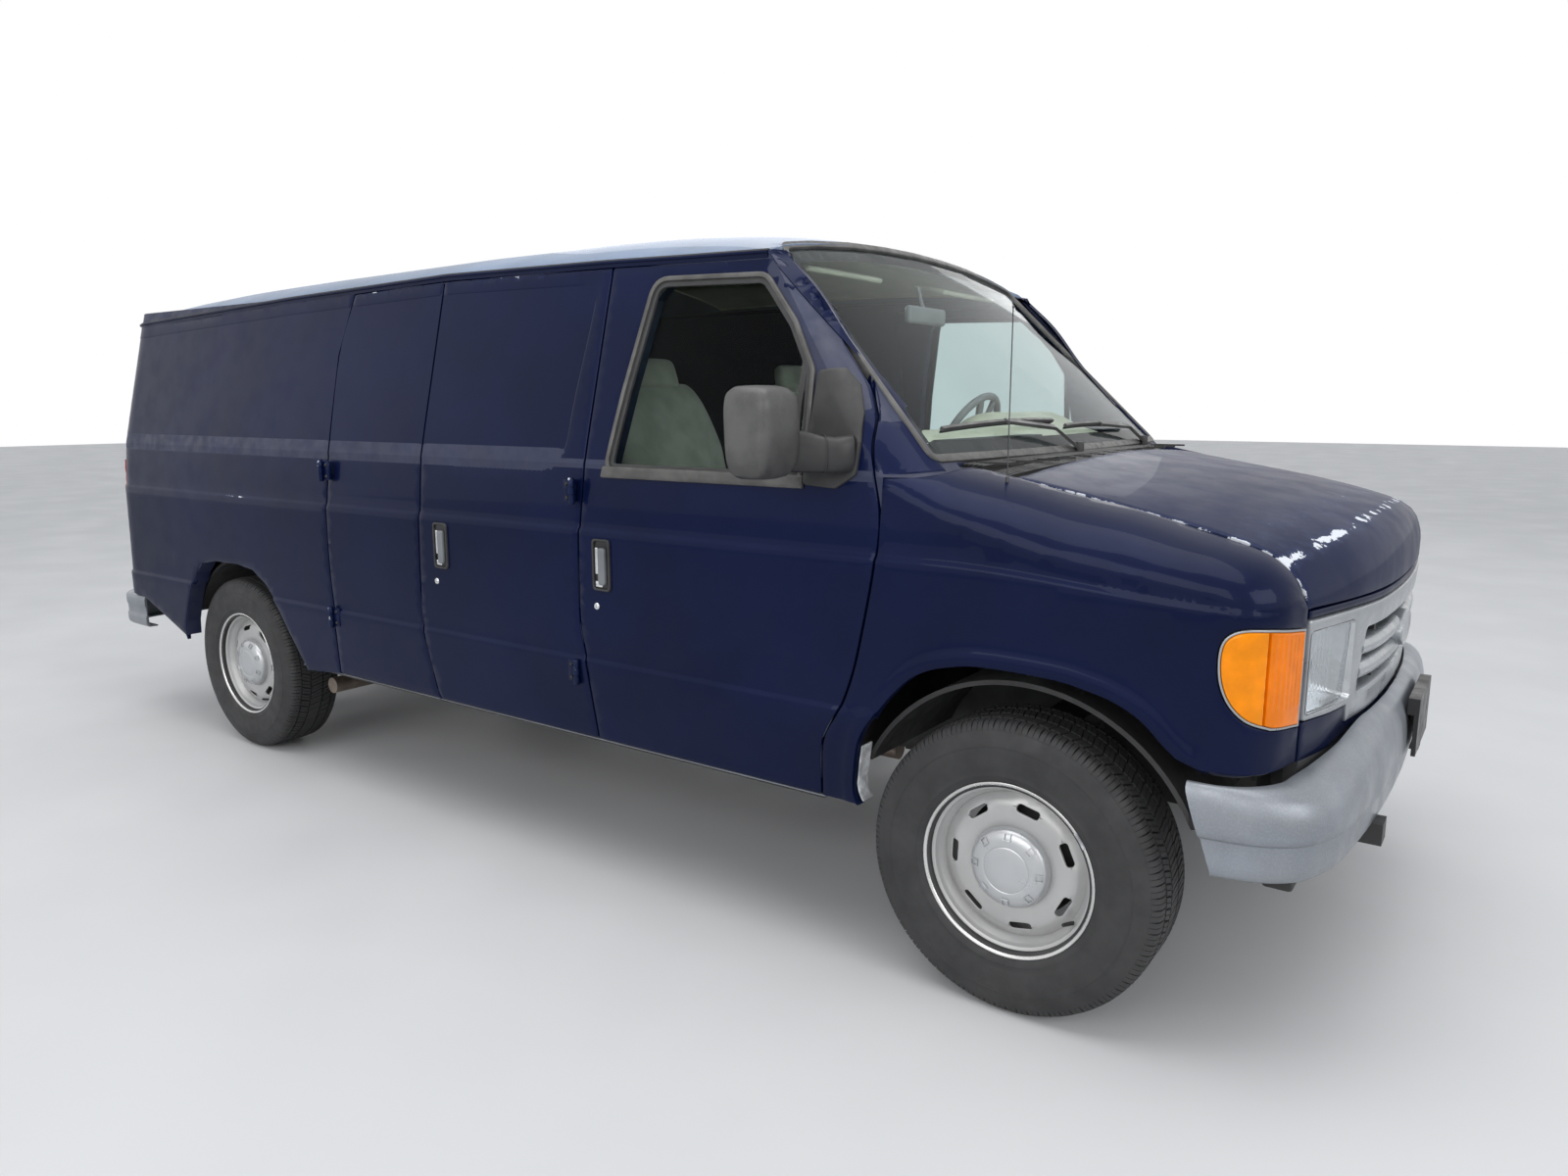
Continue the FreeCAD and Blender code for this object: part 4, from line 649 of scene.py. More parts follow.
# %% Body paint
def paint(name, color, rough, coat, metal, fade, bare=(0.62, 0.64, 0.68), dust=0.15, dust_height=1.1,
          reach=0.5, scale=26.0):
    material = bpy.data.materials.new(name)
    material.use_nodes = True
    tree = material.node_tree
    shader = tree.nodes["Principled BSDF"]
    coords = node(tree, "ShaderNodeTexCoord").outputs["Object"]
    flakes = noise(tree, coords, 1400.0, 1.0)
    clouds = noise(tree, coords, 2.3, 4.0)
    tint = mixed(tree, ramp(tree, clouds, 0.3, 0.7), tuple(c * 0.86 for c in color),
                 tuple(c * 1.16 for c in color))
    tint = mixed(tree, ramp(tree, flakes, 0.6, 0.8, 0, 0.25), tint,
                 tuple(min(1, c * 2.0 + 0.003) for c in color))
    peel = use(tree, PEEL, Reach=reach, Scale=scale)
    tint = mixed(tree, maths(tree, "MULTIPLY", peel.outputs["Faded"], 0.55), tint, fade)
    mask = use(tree, DUST, Amount=dust, Height=dust_height).outputs["Mask"]
    tint = mixed(tree, mask, tint, (0.032, 0.034, 0.05))
    tint = mixed(tree, peel.outputs["Bare"], tint, bare)
    link(tree, tint, shader.inputs["Base Color"])
    dull = maths(tree, "MAXIMUM", peel.outputs["Bare"], maths(tree, "MULTIPLY", peel.outputs["Faded"], 0.5))
    smear = ramp(tree, noise(tree, coords, 9.0, 6.0), 0.3, 0.75, rough - 0.05, rough + 0.08)
    link(tree, maths(tree, "MAXIMUM", smear, maths(tree, "MULTIPLY", dull, 0.75)),
         shader.inputs["Roughness"])
    link(tree, maths(tree, "MULTIPLY", maths(tree, "SUBTRACT", 1.0, dull), coat),
         shader.inputs["Coat Weight"])
    link(tree, maths(tree, "MULTIPLY", maths(tree, "SUBTRACT", 1.0, peel.outputs["Bare"]), metal),
         shader.inputs["Metallic"])
    bump = use(tree, GRAIN, Scale=55.0, Strength=0.035, Distance=0.002)
    link(tree, bump.outputs["Normal"], shader.inputs["Normal"])
    shader.inputs["Coat Roughness"].default_value = 0.03
    shader.inputs["Specular IOR Level"].default_value = 0.07
    return material


navy = paint("navy paint", (0.0022, 0.0062, 0.034), 0.36, 0.16, 0.3, (0.016, 0.026, 0.07))
roof_blue = paint("faded roof paint", (0.17, 0.22, 0.31), 0.55, 0.25, 0.25, (0.34, 0.4, 0.48), dust=0.0)
hood_blue = paint("sunburnt hood paint", (0.008, 0.013, 0.047), 0.46, 0.12, 0.25, (0.038, 0.05, 0.105),
                  reach=0.66, scale=24.0)
inner_blue = finish("blue paint inside", (0.008, 0.013, 0.045), 0.5, grain=(160, 0.06, 0.001), dust=0.12,
                    dust_height=1.2)

# %% Other finishes
black_trim = finish("black textured plastic", (0.022, 0.022, 0.023), 0.55, grain=(900, 0.25, 0.0006),
                    vary=0.3, dust=0.25)
mirror_face = finish("sun-bleached plastic", (0.062, 0.061, 0.06), 0.46, grain=(1100, 0.3, 0.0006),
                     vary=0.35, vary_scale=9, speckle=0.4)
rubber_seal = finish("window rubber", (0.028, 0.028, 0.029), 0.6, grain=(500, 0.1, 0.0005), vary=0.2)
grey_seal = finish("bleached window frame", (0.085, 0.083, 0.08), 0.42, grain=(300, 0.12, 0.0006),
                   vary=0.28, vary_scale=14, metal=0.25)
silver_paint = finish("silver grille paint", (0.35, 0.37, 0.39), 0.34, metal=0.65,
                      grain=(700, 0.08, 0.0004), vary=0.1, coat=0.2, dust=0.15, dust_height=1.3)
bumper_silver = finish("dull bumper paint", (0.245, 0.265, 0.295), 0.4, metal=0.5, grain=(240, 0.1, 0.0008),
                       vary=0.14, vary_scale=4.0, dust=0.35, dust_height=1.1, speckle=0.12)
wheel_silver = finish("wheel paint", (0.46, 0.46, 0.455), 0.38, metal=0.35, grain=(600, 0.08, 0.0004),
                      vary=0.06, vary_scale=4.0, rough_vary=0.05, dust=0.22, dust_height=0.8,
                      dust_color=(0.34, 0.31, 0.27))
wheel_lip = finish("bright wheel lip", (0.6, 0.6, 0.59), 0.26, metal=0.7, grain=(500, 0.06, 0.0004),
                   vary=0.1)
cap_silver = finish("hub cap paint", (0.5, 0.51, 0.52), 0.3, metal=0.6, grain=(800, 0.04, 0.0004),
                    vary=0.04, rough_vary=0.03)
tyre_black = finish("tyre rubber", (0.024, 0.024, 0.025), 0.72, grain=(380, 0.18, 0.0009), vary=0.15,
                    dust=0.22, dust_height=0.9, dust_color=(0.1, 0.097, 0.093))
chassis = finish("chassis black", (0.02, 0.02, 0.021), 0.62, grain=(120, 0.22, 0.001), vary=0.35, dust=0.6,
                 dust_height=1.0, dust_color=(0.045, 0.041, 0.037))
rusty = finish("rusty steel", (0.1, 0.055, 0.035), 0.75, metal=0.3, grain=(90, 0.35, 0.0015), vary=0.5,
               vary_scale=16)
engine_iron = finish("engine casting", (0.09, 0.09, 0.088), 0.7, metal=0.4, grain=(70, 0.4, 0.002),
                     vary=0.35, vary_scale=12)
exhaust_steel = finish("browned exhaust steel", (0.22, 0.18, 0.15), 0.5, metal=0.8, grain=(110, 0.2, 0.001),
                       vary=0.4, vary_scale=10)
tank_black = finish("moulded tank plastic", (0.024, 0.024, 0.026), 0.5, grain=(200, 0.2, 0.001), vary=0.3,
                    dust=0.6)
bright_metal = finish("bright metal", (0.72, 0.73, 0.74), 0.22, metal=1.0, grain=(300, 0.04, 0.0003),
                      vary=0.08)
dark_metal = finish("dark metal", (0.05, 0.05, 0.052), 0.4, metal=0.8, grain=(300, 0.1, 0.0004), vary=0.2)
whip_steel = finish("antenna steel", (0.1, 0.1, 0.105), 0.3, metal=0.9, grain=(300, 0.05, 0.0003), vary=0.1)
cream_trim = finish("cream grained plastic", (0.62, 0.6, 0.44), 0.55, grain=(1300, 0.35, 0.0006), vary=0.1,
                    speckle=0.15)
grey_trim = finish("grey cab plastic", (0.24, 0.24, 0.23), 0.55, grain=(1300, 0.3, 0.0006), vary=0.12)
mirror_glass = finish("mirror glass", (0.82, 0.84, 0.86), 0.03, metal=1.0, grain=(20, 0.0, 0.0001),
                      vary=0.02, rough_vary=0.01)
bracket_black = finish("black plate bracket", (0.009, 0.009, 0.01), 0.4, grain=(500, 0.12, 0.0005),
                       vary=0.25)
blank_plate = finish("blank plate", (0.75, 0.76, 0.76), 0.35, grain=(300, 0.04, 0.0003), vary=0.05,
                     vary_scale=12)
rubber_mat = finish("cab floor mat", (0.045, 0.044, 0.042), 0.8, grain=(300, 0.4, 0.001), vary=0.3)
whitish = finish("scuffed flange", (0.5, 0.51, 0.52), 0.6, grain=(120, 0.3, 0.001), vary=0.45,
                 vary_scale=30)


def cloth(name, color):
    """Woven seat cloth: two crossed fine waves, with a soft sheen."""
    material = finish(name, color, 0.85, grain=(1500, 0.2, 0.0004), vary=0.16, vary_scale=12)
    tree = material.node_tree
    shader = tree.nodes["Principled BSDF"]
    coords = node(tree, "ShaderNodeTexCoord").outputs["Object"]
    heights = []
    for axis in ("X", "Z"):
        wave = node(tree, "ShaderNodeTexWave", Scale=210.0, Distortion=0.6)
        wave.bands_direction = axis
        link(tree, coords, wave.inputs["Vector"])
        heights.append(wave.outputs["Fac"])
    bump = node(tree, "ShaderNodeBump", Strength=0.35, Distance=0.0007)
    link(tree, maths(tree, "MULTIPLY", heights[0], heights[1]), bump.inputs["Height"])
    link(tree, bump.outputs["Normal"], shader.inputs["Normal"])
    shader.inputs["Sheen Weight"].default_value = 0.35
    return material


def clear(name, color, rough=0.02, alpha=1.0, weight=1.0, ior=1.45, smear=0.03):
    """Glass or a clear lens, with faint smears in its gloss."""
    material = bpy.data.materials.new(name)
    material.use_nodes = True
    tree = material.node_tree
    shader = tree.nodes["Principled BSDF"]
    coords = node(tree, "ShaderNodeTexCoord").outputs["Object"]
    streaks = ramp(tree, noise(tree, coords, 7.0, 5.0), 0.45, 0.8, rough, rough + smear)
    link(tree, streaks, shader.inputs["Roughness"])
    tint = mixed(tree, ramp(tree, noise(tree, coords, 3.0, 2.0), 0.3, 0.7), tuple(c * 0.96 for c in color),
                 color)
    link(tree, tint, shader.inputs["Base Color"])
    shader.inputs["Transmission Weight"].default_value = weight
    shader.inputs["IOR"].default_value = ior
    shader.inputs["Alpha"].default_value = alpha
    return material


seat_cloth = cloth("grey beige seat cloth", (0.36, 0.35, 0.3))
side_glass = clear("tinted side glass", (0.6, 0.7, 0.68), ior=1.12)
screen_glass = clear("windshield glass", (0.72, 0.8, 0.82), ior=1.12)
rear_glass = clear("rear glass", (0.45, 0.52, 0.52), ior=1.12)
clear_lens = clear("clear lamp lens", (0.92, 0.94, 0.95), 0.04, smear=0.08, ior=1.25)
reflector = finish("lamp reflector", (0.5, 0.52, 0.54), 0.24, metal=0.9, grain=(60, 0.25, 0.002), vary=0.1)


def lens(name, color, painted_glow):
    """A coloured lens: body colour that lets some light through, and a faint emission that is a painted
    glow.
    """
    material = finish(name, color, 0.12, grain=(90, 0.03, 0.001), vary=0.12, vary_scale=16, rough_vary=0.04,
                      Specular_IOR_Level=0.25)
    shader = material.node_tree.nodes["Principled BSDF"]
    shader.inputs["Subsurface Weight"].default_value = 0.25
    shader.inputs["Subsurface Radius"].default_value = (0.02, 0.01, 0.004)
    shader.inputs["Emission Color"].default_value = (*painted_glow, 1)
    # The emission is a painted glow: the lamp is not lit.
    shader.inputs["Emission Strength"].default_value = 0.05
    return material


amber_lens = lens("amber lens", (0.8, 0.24, 0.0), (1.0, 0.36, 0.0))
amber_deep = lens("deep amber lens", (0.72, 0.17, 0.0), (1.0, 0.3, 0.0))
red_lens = lens("red lens", (0.38, 0.012, 0.01), (0.5, 0.01, 0.01))
print("finishes", len(bpy.data.materials))


# %% [markdown]
# Now the body's own surfaces. The side is nearly flat, so it is one rule: how
# wide the van is at a height. The width has two small ledges, the creases that
# run the whole length, a soft bend at the belt and a lean inwards above it. At
# the ends the plan turns round a corner, so there the flat number runs on
# around the bend, like a tape laid on the metal.

# %% The side's surface
BELT, GUTTER, SILL, ROOF_EDGE = sz(0.636), sz(0.922), 0.45, 0.014
LOW_CREASE, HIGH_CREASE = 0.692, 1.09
CORNER = 0.15
GAP = 0.009
GUTTER_X = (-2.6, -2.137, -1.169, -0.741, -0.2, 0.559, 0.847, 1.19)
GUTTER_Z = (1.812, 1.831, 1.868, 1.878, 1.891, 1.88, 1.872, 1.864)


def gutter_z(x):
    return np.interp(x, GUTTER_X, GUTTER_Z)


def crease_z(x):
    return HIGH_CREASE - 0.058 * smoothstep(x, 1.75, 2.6)


def rear_x(z):
    share = (np.asarray(z, float) - SILL) / (GUTTER - SILL)
    return sx(-0.883) + (sx(-0.838) - sx(-0.883)) * share


def width_at(x, z):
    z = np.asarray(z, float)
    flare = np.interp(z, (SILL, LOW_CREASE), (1.0, 1.007))
    waist = flare + (1.0 - flare) * smoothstep(z, LOW_CREASE - 0.001, LOW_CREASE + 0.012)
    crease = crease_z(x)
    upper = 0.993 - 0.01 * (z - HIGH_CREASE) / (BELT - HIGH_CREASE)
    below = waist + (upper - waist) * smoothstep(z, crease - 0.001, crease + 0.012)
    above = sy(0.976) - (z - BELT) * (sy(0.976) - sy(0.85)) / (GUTTER - BELT)
    soft = 0.005
    return -soft * np.log(np.exp(-below / soft) + np.exp(-above / soft)) + soft * 0.12


def arc_through(a, b, c):
    """Centre and radius of the circle through three places, each (x, y) of arrays."""
    (ax, ay), (bx, by), (cx, cy) = a, b, c
    d = 2 * (ax * (by - cy) + bx * (cy - ay) + cx * (ay - by))
    ux = ((ax ** 2 + ay ** 2) * (by - cy) + (bx ** 2 + by ** 2) * (cy - ay) + (cx ** 2 + cy ** 2)
          * (ay - by)) / d
    uy = ((ax ** 2 + ay ** 2) * (cx - bx) + (bx ** 2 + by ** 2) * (ax - cx) + (cx ** 2 + cy ** 2)
          * (bx - ax)) / d
    return ux, uy, np.hypot(ax - ux, ay - uy)


def upper_plan(z):
    """At a height above the belt: where the side ends, the pillar's bulge and the glass's edge."""
    share = (np.asarray(z, float) - BELT) / (GUTTER - BELT)

    def mix(low, high):
        return low + (high - low) * share
    end = (mix(sx(0.896), sx(0.7765)), mix(sy(0.976), sy(0.85)))
    bulge = (mix(sx(0.9175), sx(0.7815)), mix(sy(0.952), sy(0.8)))
    edge = (mix(sx(0.9358), sx(0.7735)), mix(sy(0.88), sy(0.748)))
    return end, bulge, edge


def side_y(x, z):
    x, z = np.asarray(x, float), np.asarray(z, float)
    width = width_at(x, z)
    end, bulge, edge = upper_plan(np.maximum(z, BELT))
    cx, cy, radius = arc_through(end, bulge, edge)
    drop = end[1] - (cy + np.sqrt(np.maximum(radius ** 2 - (x - cx) ** 2, 1e-6)))
    return np.where((z > BELT - 0.03) & (x > end[0]),
                    width - drop * smoothstep(z, BELT - 0.03, BELT + 0.02), width)


def right_side(u, z):
    return np.stack([u, -side_y(u, z), z], axis=1)


def pillar_ribs():
    """Lines along the pillar, closer together where the metal turns towards the glass."""
    lines = []
    for part in (0.0, 0.25, 0.45, 0.62, 0.76, 0.87, 0.95):
        ends = [(z, upper_plan(z)) for z in np.linspace(BELT - 0.02, GUTTER, 26)]
        lines.append([(end[0] + (edge[0] - end[0]) * part, z) for z, (end, _, edge) in ends
                      if edge[0] - end[0] > 0.01])
    return lines


def right_quarter(u, z):
    width, turn_x = width_at(u, z), rear_x(z) + CORNER
    angle = np.clip((turn_x - u) / CORNER, 0, math.pi / 2)
    past = np.maximum(turn_x - u - CORNER * math.pi / 2, 0)
    x = np.where(u > turn_x, u, turn_x - CORNER * np.sin(angle))
    y = width - CORNER + CORNER * np.cos(angle) - past
    return np.stack([x, -y, z], axis=1)


def quarter_u(y, z):
    """The flat number of a place on the back, given how far from the middle it is."""
    flat = float(width_at(-2.4, z)) - CORNER
    turn_x = float(rear_x(z)) + CORNER
    if y > flat:
        return turn_x - CORNER * math.acos(min(1, (y - flat) / CORNER))
    return turn_x - CORNER * math.pi / 2 - (flat - y)


def back_face(y, z):
    """The back of the body, which leaves the flat where the corners start."""
    flat = width_at(-2.4 + 0 * z, z) - CORNER
    over = np.clip(np.abs(y) - flat, 0, CORNER * 0.98)
    x = rear_x(z) + CORNER - np.sqrt(CORNER ** 2 - over ** 2)
    return np.stack([x, y, z], axis=1)


print("width at belt", round(float(width_at(0, BELT)), 3), "rear at belt", round(float(rear_x(BELT)), 3))

# %% [markdown]
# The doors' cuts follow the CAD's outlines. The blank windows are pressed in by
# a few millimetres: one long stamping runs from the rear corner, under the
# gutter, through both cargo doors, and ends in a rounded corner.

# %% Outlines of the side
door_rear_line = xz(((0.613, 0.918), (0.607, 0.644), (0.602, 0.532), (0.601, 0.403), (0.607, 0.348),
                     (0.62, 0.222)))
door_front_line = xz(((0.854, 0.222), (0.855, 0.296), (0.869, 0.342), (0.878, 0.382), (0.885, 0.429),
                      (0.896, 0.529), (0.898, 0.595), (0.888, 0.667), (0.884, 0.706), (0.87, 0.747),
                      (0.843, 0.801), (0.815, 0.863), (0.785, 0.912)))
split_line = xz(((0.386, 0.918), (0.382, 0.628), (0.377, 0.415), (0.38, 0.337), (0.394, 0.245),
                 (0.4, 0.222)))
quarter_line = xz(((0.238, 0.918), (0.222, 0.81), (0.224, 0.628), (0.22, 0.541), (0.219, 0.421),
                   (0.223, 0.337), (0.226, 0.222)))
window_line = xz(((0.633, 0.628), (0.644, 0.739), (0.664, 0.895), (0.777, 0.889), (0.809, 0.826),
                  (0.83, 0.765), (0.832, 0.69), (0.829, 0.628)))


def smooth_line(points, pieces=6):
    """A soft curve through the given places."""
    pts = [np.array(p, float) for p in points]
    pts = [2 * pts[0] - pts[1]] + pts + [2 * pts[-1] - pts[-2]]
    result = []
    for k in range(1, len(pts) - 2):
        p0, p1, p2, p3 = pts[k - 1:k + 3]
        for step in range(pieces):
            t = step / pieces
            result.append(tuple(0.5 * (2 * p1 + (p2 - p0) * t + (2 * p0 - 5 * p1 + 4 * p2 - p3) * t * t
                                       + (3 * p1 - p0 - 3 * p2 + p3) * t ** 3)))
    result.append(tuple(pts[-2]))
    return result


def under_gutter(line):
    """The same line, top first, with its top moved to just under the gutter."""
    (x0, z0), (x1, z1) = line[0], line[1]
    top = float(gutter_z(x0)) - ROOF_EDGE
    return [(x0 + (x0 - x1) / (z0 - z1) * (top - z0), top)] + list(line[1:])


def with_top(left, right, pieces=8):
    """A door's outline from its two side lines, both top first, under the gutter's curve."""
    left, right = under_gutter(left), under_gutter(right)
    x0, x1 = left[0][0], right[0][0]
    top = [(x0 + (x1 - x0) * k / pieces, float(gutter_z(x0 + (x1 - x0) * k / pieces)) - ROOF_EDGE)
           for k in range(1, pieces)]
    return smooth_line(left)[::-1] + top + smooth_line(right)


def trimmed(outline, corner=0.012, inset=GAP / 2 - 0.0015):
    return grown(counterclockwise(rounded(outline, corner, 4)), -inset)


cargo_front_outline = trimmed(with_top(split_line, door_rear_line))
cargo_rear_outline = trimmed(with_top(quarter_line, split_line))
front_door_outline = trimmed(with_top(door_rear_line, door_front_line[::-1]))
window_outline = rounded(counterclockwise(window_line), [0.022, 0.03, 0.055, 0.06, 0.06, 0.06, 0.05, 0.03],
                         6)

STAMP_LOW, STAMP_DEPTH = 1.266, 0.0044


def stamp_edge(x, z):
    """How far inside the long window stamping a place is."""
    x, z = np.asarray(x, float), np.asarray(z, float)
    front = 0.475 + 0.05 * smoothstep(z, 1.35, 1.85)
    top = gutter_z(x) - 0.062
    radius = np.where(z < 1.6, 0.115, 0.05)
    dx, dz = front - x, np.minimum(z - STAMP_LOW, top - z)
    corner = radius - np.hypot(np.maximum(radius - dx, 0), np.maximum(radius - dz, 0))
    return np.minimum(np.minimum(dx, dz), corner)


def stamping(x, z):
    return -STAMP_DEPTH * smoothstep(stamp_edge(x, z), -0.004, 0.006)


def stamp_ribs(x0, x1):
    """Lines along the stamping's lower and upper edges, and around its front corner."""
    lines = []
    for off in (-0.006, -0.001, 0.004, 0.009):
        lines.append([(x0, STAMP_LOW + off), (min(x1, 0.4), STAMP_LOW + off)])
        xs = np.linspace(x0, min(x1, 0.46), 12)
        lines.append([(x, float(gutter_z(x)) - 0.062 - off) for x in xs])
        if x1 > 0.4:
            r, cx = 0.115 - off, 0.475 - 0.115
            lines.append([(cx + r * math.sin(a), STAMP_LOW + 0.115 - r * math.cos(a))
                          for a in np.linspace(0, 1.55, 9)])
            zs = np.linspace(1.39, 1.76, 9)
            lines.append([(0.475 - off + 0.05 * float(smoothstep(z, 1.35, 1.85)), z) for z in zs])
    return lines


def crease_ribs(x0, x1):
    lines = []
    for off in (-0.003, 0.003, 0.009, 0.014):
        lines.append([(x0, LOW_CREASE + off), (x1, LOW_CREASE + off)])
        lines.append([(x, float(crease_z(x)) + off) for x in np.linspace(x0, x1, 14)])
    for z in (BELT - 0.03, BELT - 0.01, BELT + 0.01, BELT + 0.03):
        lines.append([(x0, z), (x1, z)])
    return lines


HANDLES = {"door": (0.639, 0.994), "cargo": (-0.119, 0.994)}
HANDLE_HALF = (0.036, 0.078)
print("outlines", len(front_door_outline), len(cargo_front_outline), len(cargo_rear_outline))


# %% Marks of wear
def mark_worn(piece, rule):
    """Writes the attribute that the paint reads: 0 is sound, 1 is down to the primer."""
    layer = piece.data.attributes.new("worn", "FLOAT", "POINT")
    places = np.empty(len(piece.data.vertices) * 3)
    piece.data.vertices.foreach_get("co", places)
    places = places.reshape(-1, 3)
    layer.data.foreach_set("value", np.clip(rule(places), 0, 1).astype(float))
    return piece


def near(value, centre, reach):
    return np.clip(1 - np.abs(value - centre) / reach, 0, 1)


def ironed(piece, low_x, low_z, turns=12):
    """Smooth the metal beyond a place, leaving sharp edges as they are."""
    bm = bmesh.new()
    bm.from_mesh(piece.data)
    bm.normal_update()
    soft = [v for v in bm.verts if v.co.x > low_x and v.co.z > low_z and v.link_faces
            and all(v.normal.dot(face.normal) > 0.8 for face in v.link_faces)]
    for _ in range(turns):
        bmesh.ops.smooth_vert(bm, verts=soft, factor=0.5, use_axis_x=True, use_axis_y=True, use_axis_z=True)
    bm.to_mesh(piece.data)
    bm.free()
    return piece


def side_wear(places):
    x, z = places[:, 0], places[:, 2]
    worst = np.maximum(near(x, 0.08, 0.3), near(x, -0.62, 0.16))
    gutter = near(z, gutter_z(x) - 0.02, 0.03) * (0.25 + 0.75 * worst)
    crease = near(z, crease_z(x) + 0.004, 0.014) * near(x, -1.45, 0.55) * 0.9
    sill = near(z, SILL, 0.03) * 0.55
    nick = near(np.hypot(x + 2.02, z - 0.8), 0, 0.05) * 0.9
    return np.maximum.reduce([gutter, crease, sill, nick])


# %% [markdown]
# Each side panel is now one call: an outline, the side's surface, the ribs that
# keep creases sharp, and the relief pressed into it. The left side has no cargo
# doors, so its panel runs through, with the same stamping.

# %% Right side: quarter panel and cargo doors
rear_arch = [(REAR_AXLE + a * TYRE_RADIUS, TYRE_RADIUS * (1 + b))
             for a, b in ((-1.09, 0.169), (-1.06, 0.4), (-0.95, 0.64), (-0.84, 0.83), (-0.7, 1.03),
                          (-0.56, 1.15), (-0.256, 1.2), (0.242, 1.208), (0.555, 1.17), (0.81, 1.034),
                          (1.028, 0.822), (1.224, 0.561), (1.4, 0.333), (1.53, 0.169))]
rear_door_edge = [(sy(0.85) + GAP / 2, 0.585), (sy(0.85) + GAP / 2, 0.7), (sy(0.85) + GAP / 2, sz(0.6)),
                  (sy(0.845) + GAP / 2, sz(0.68)), (sy(0.8) + GAP / 2, sz(0.8)), (sy(0.735) + GAP / 2, 1.8)]


def quarter_outline(front_line):
    """Front line bottom first, the gutter, the rear door's edge, then back under and over the arch."""
    front = list(front_line)
    top = [(x, float(gutter_z(x)) - 0.004) for x in np.linspace(front[-1][0], -2.36, 14)[1:]]
    back = [(quarter_u(y, z), z) for y, z in reversed(rear_door_edge)]
    under = [(-2.42, 0.59), (-2.332, 0.584), (-1.984, 0.452)]
    return front + top + back + under + smooth_line(rear_arch, 4)


quarter_front = [(x - GAP / 2 + 0.0015, z) for x, z in under_gutter(quarter_line)[::-1]]
quarter_front[0] = (quarter_front[0][0], SILL)
quarter_front.append((quarter_front[-1][0], float(gutter_z(quarter_front[-1][0])) - 0.004))
right_quarter_panel = sheet_piece("quarter_panel_right", quarter_outline(quarter_front), right_quarter,
                                  navy, step=0.03, ribs=crease_ribs(-2.75, -0.7) + stamp_ribs(-2.75, -0.7),
                                  relief=stamping, deep=0.014)
cargo_rear_skin = sheet_piece(
    "cargo_rear_skin", cargo_rear_outline, right_side, navy, step=0.026,
    ribs=crease_ribs(-0.85, -0.1) + stamp_ribs(-0.85, -0.1), relief=stamping)


cargo_front_skin = sheet_piece(
    "cargo_front_skin", cargo_front_outline, right_side, navy, step=0.026,
    ribs=crease_ribs(-0.25, 0.6) + stamp_ribs(-0.25, 0.6), relief=stamping)
for piece in (right_quarter_panel, cargo_rear_skin, cargo_front_skin):
    mark_worn(piece, side_wear)
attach(right_quarter_panel, "root")
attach(cargo_rear_skin, "cargo_rear")
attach(cargo_front_skin, "cargo_front")

# %% [markdown]
# The left side has no cargo doors, so its panel runs from the rear corner to
# the front door in one pressing. It is made on the right and mirrored. The
# front doors get a hole for the window, and a grey frame with a dark rubber
# inside, both thin sheets laid on the same surface.

# %% Left panel, front doors and window frames
long_front = [(x - GAP / 2 + 0.0015, z) for x, z in under_gutter(door_rear_line)[::-1]]
long_front = [(sx(0.62) - 0.003, SILL)] + smooth_line(long_front[1:], 4)
long_front.append((long_front[-1][0], float(gutter_z(long_front[-1][0])) - 0.004))
side_panel_left = sheet_piece("side_panel_left", quarter_outline(long_front), right_quarter, navy,
                              step=0.032, ribs=crease_ribs(-2.75, 0.6) + stamp_ribs(-2.75, 0.6),
                              relief=stamping, deep=0.014)
turned(side_panel_left, ACROSS)
door_skin = sheet_piece("front_door_skin_right", front_door_outline, right_side, navy,
                        holes=[window_outline], ribs=crease_ribs(0.56, 1.62) + pillar_ribs(), step=0.026)
frame_ring = sheet_piece("window_frame_right", grown(window_outline, 0.009), right_side, grey_seal,
                         step=0.012, holes=[grown(window_outline, -0.005)], proud=0.0075, deep=0.004,
                         loop_step=0.01)
rubber_ring = sheet_piece("window_rubber_right", grown(window_outline, -0.004), right_side, rubber_seal,
                          step=0.012, holes=[grown(window_outline, -0.02)], proud=0.001, deep=0.008,
                          hem=0.002, loop_step=0.01)
sill_strip = sheet_piece("window_sill_right", rounded([(0.632, 1.252), (1.352, 1.252), (1.352, 1.286),
                                                       (0.64, 1.286)], 0.006, 3), right_side, grey_seal,
                         step=0.012, proud=0.011, deep=0.002, hem=0.004, loop_step=0.012)
divider = sheet_piece("window_divider_right", [(1.292, 1.27), (1.312, 1.27), (1.325, 1.6), (1.305, 1.6)],
                      right_side, rubber_seal, step=0.015, proud=-0.004, deep=0.012, hem=0.002)
corner_sail = sheet_piece("mirror_sail_right", rounded([(1.352, 1.262), (1.452, 1.256), (1.51, 1.292),
                                                        (1.514, 1.372), (1.503, 1.44), (1.47, 1.508),
                                                        (1.425, 1.552), (1.362, 1.55)], 0.016, 4),
                          right_side, black_trim, step=0.014, proud=0.012, deep=0.004, hem=0.005)
ironed(door_skin, 1.02, 1.45)
for piece in (side_panel_left, door_skin):
    mark_worn(piece, side_wear)

# %% [markdown]
# A door handle on this van is a dark rounded pocket with a lift paddle in it.
# The pocket is a frame that stands out a little, a dark pan inside it, and the
# paddle, each a small sheet on the body's surface. A lock sits under each.

# %% Handles, locks and outside hinges
def tile(x0, z0, half_x, half_z, corner=0.014):
    return rounded([(x0 - half_x, z0 - half_z), (x0 + half_x, z0 - half_z), (x0 + half_x, z0 + half_z),
                    (x0 - half_x, z0 + half_z)], corner, 4)


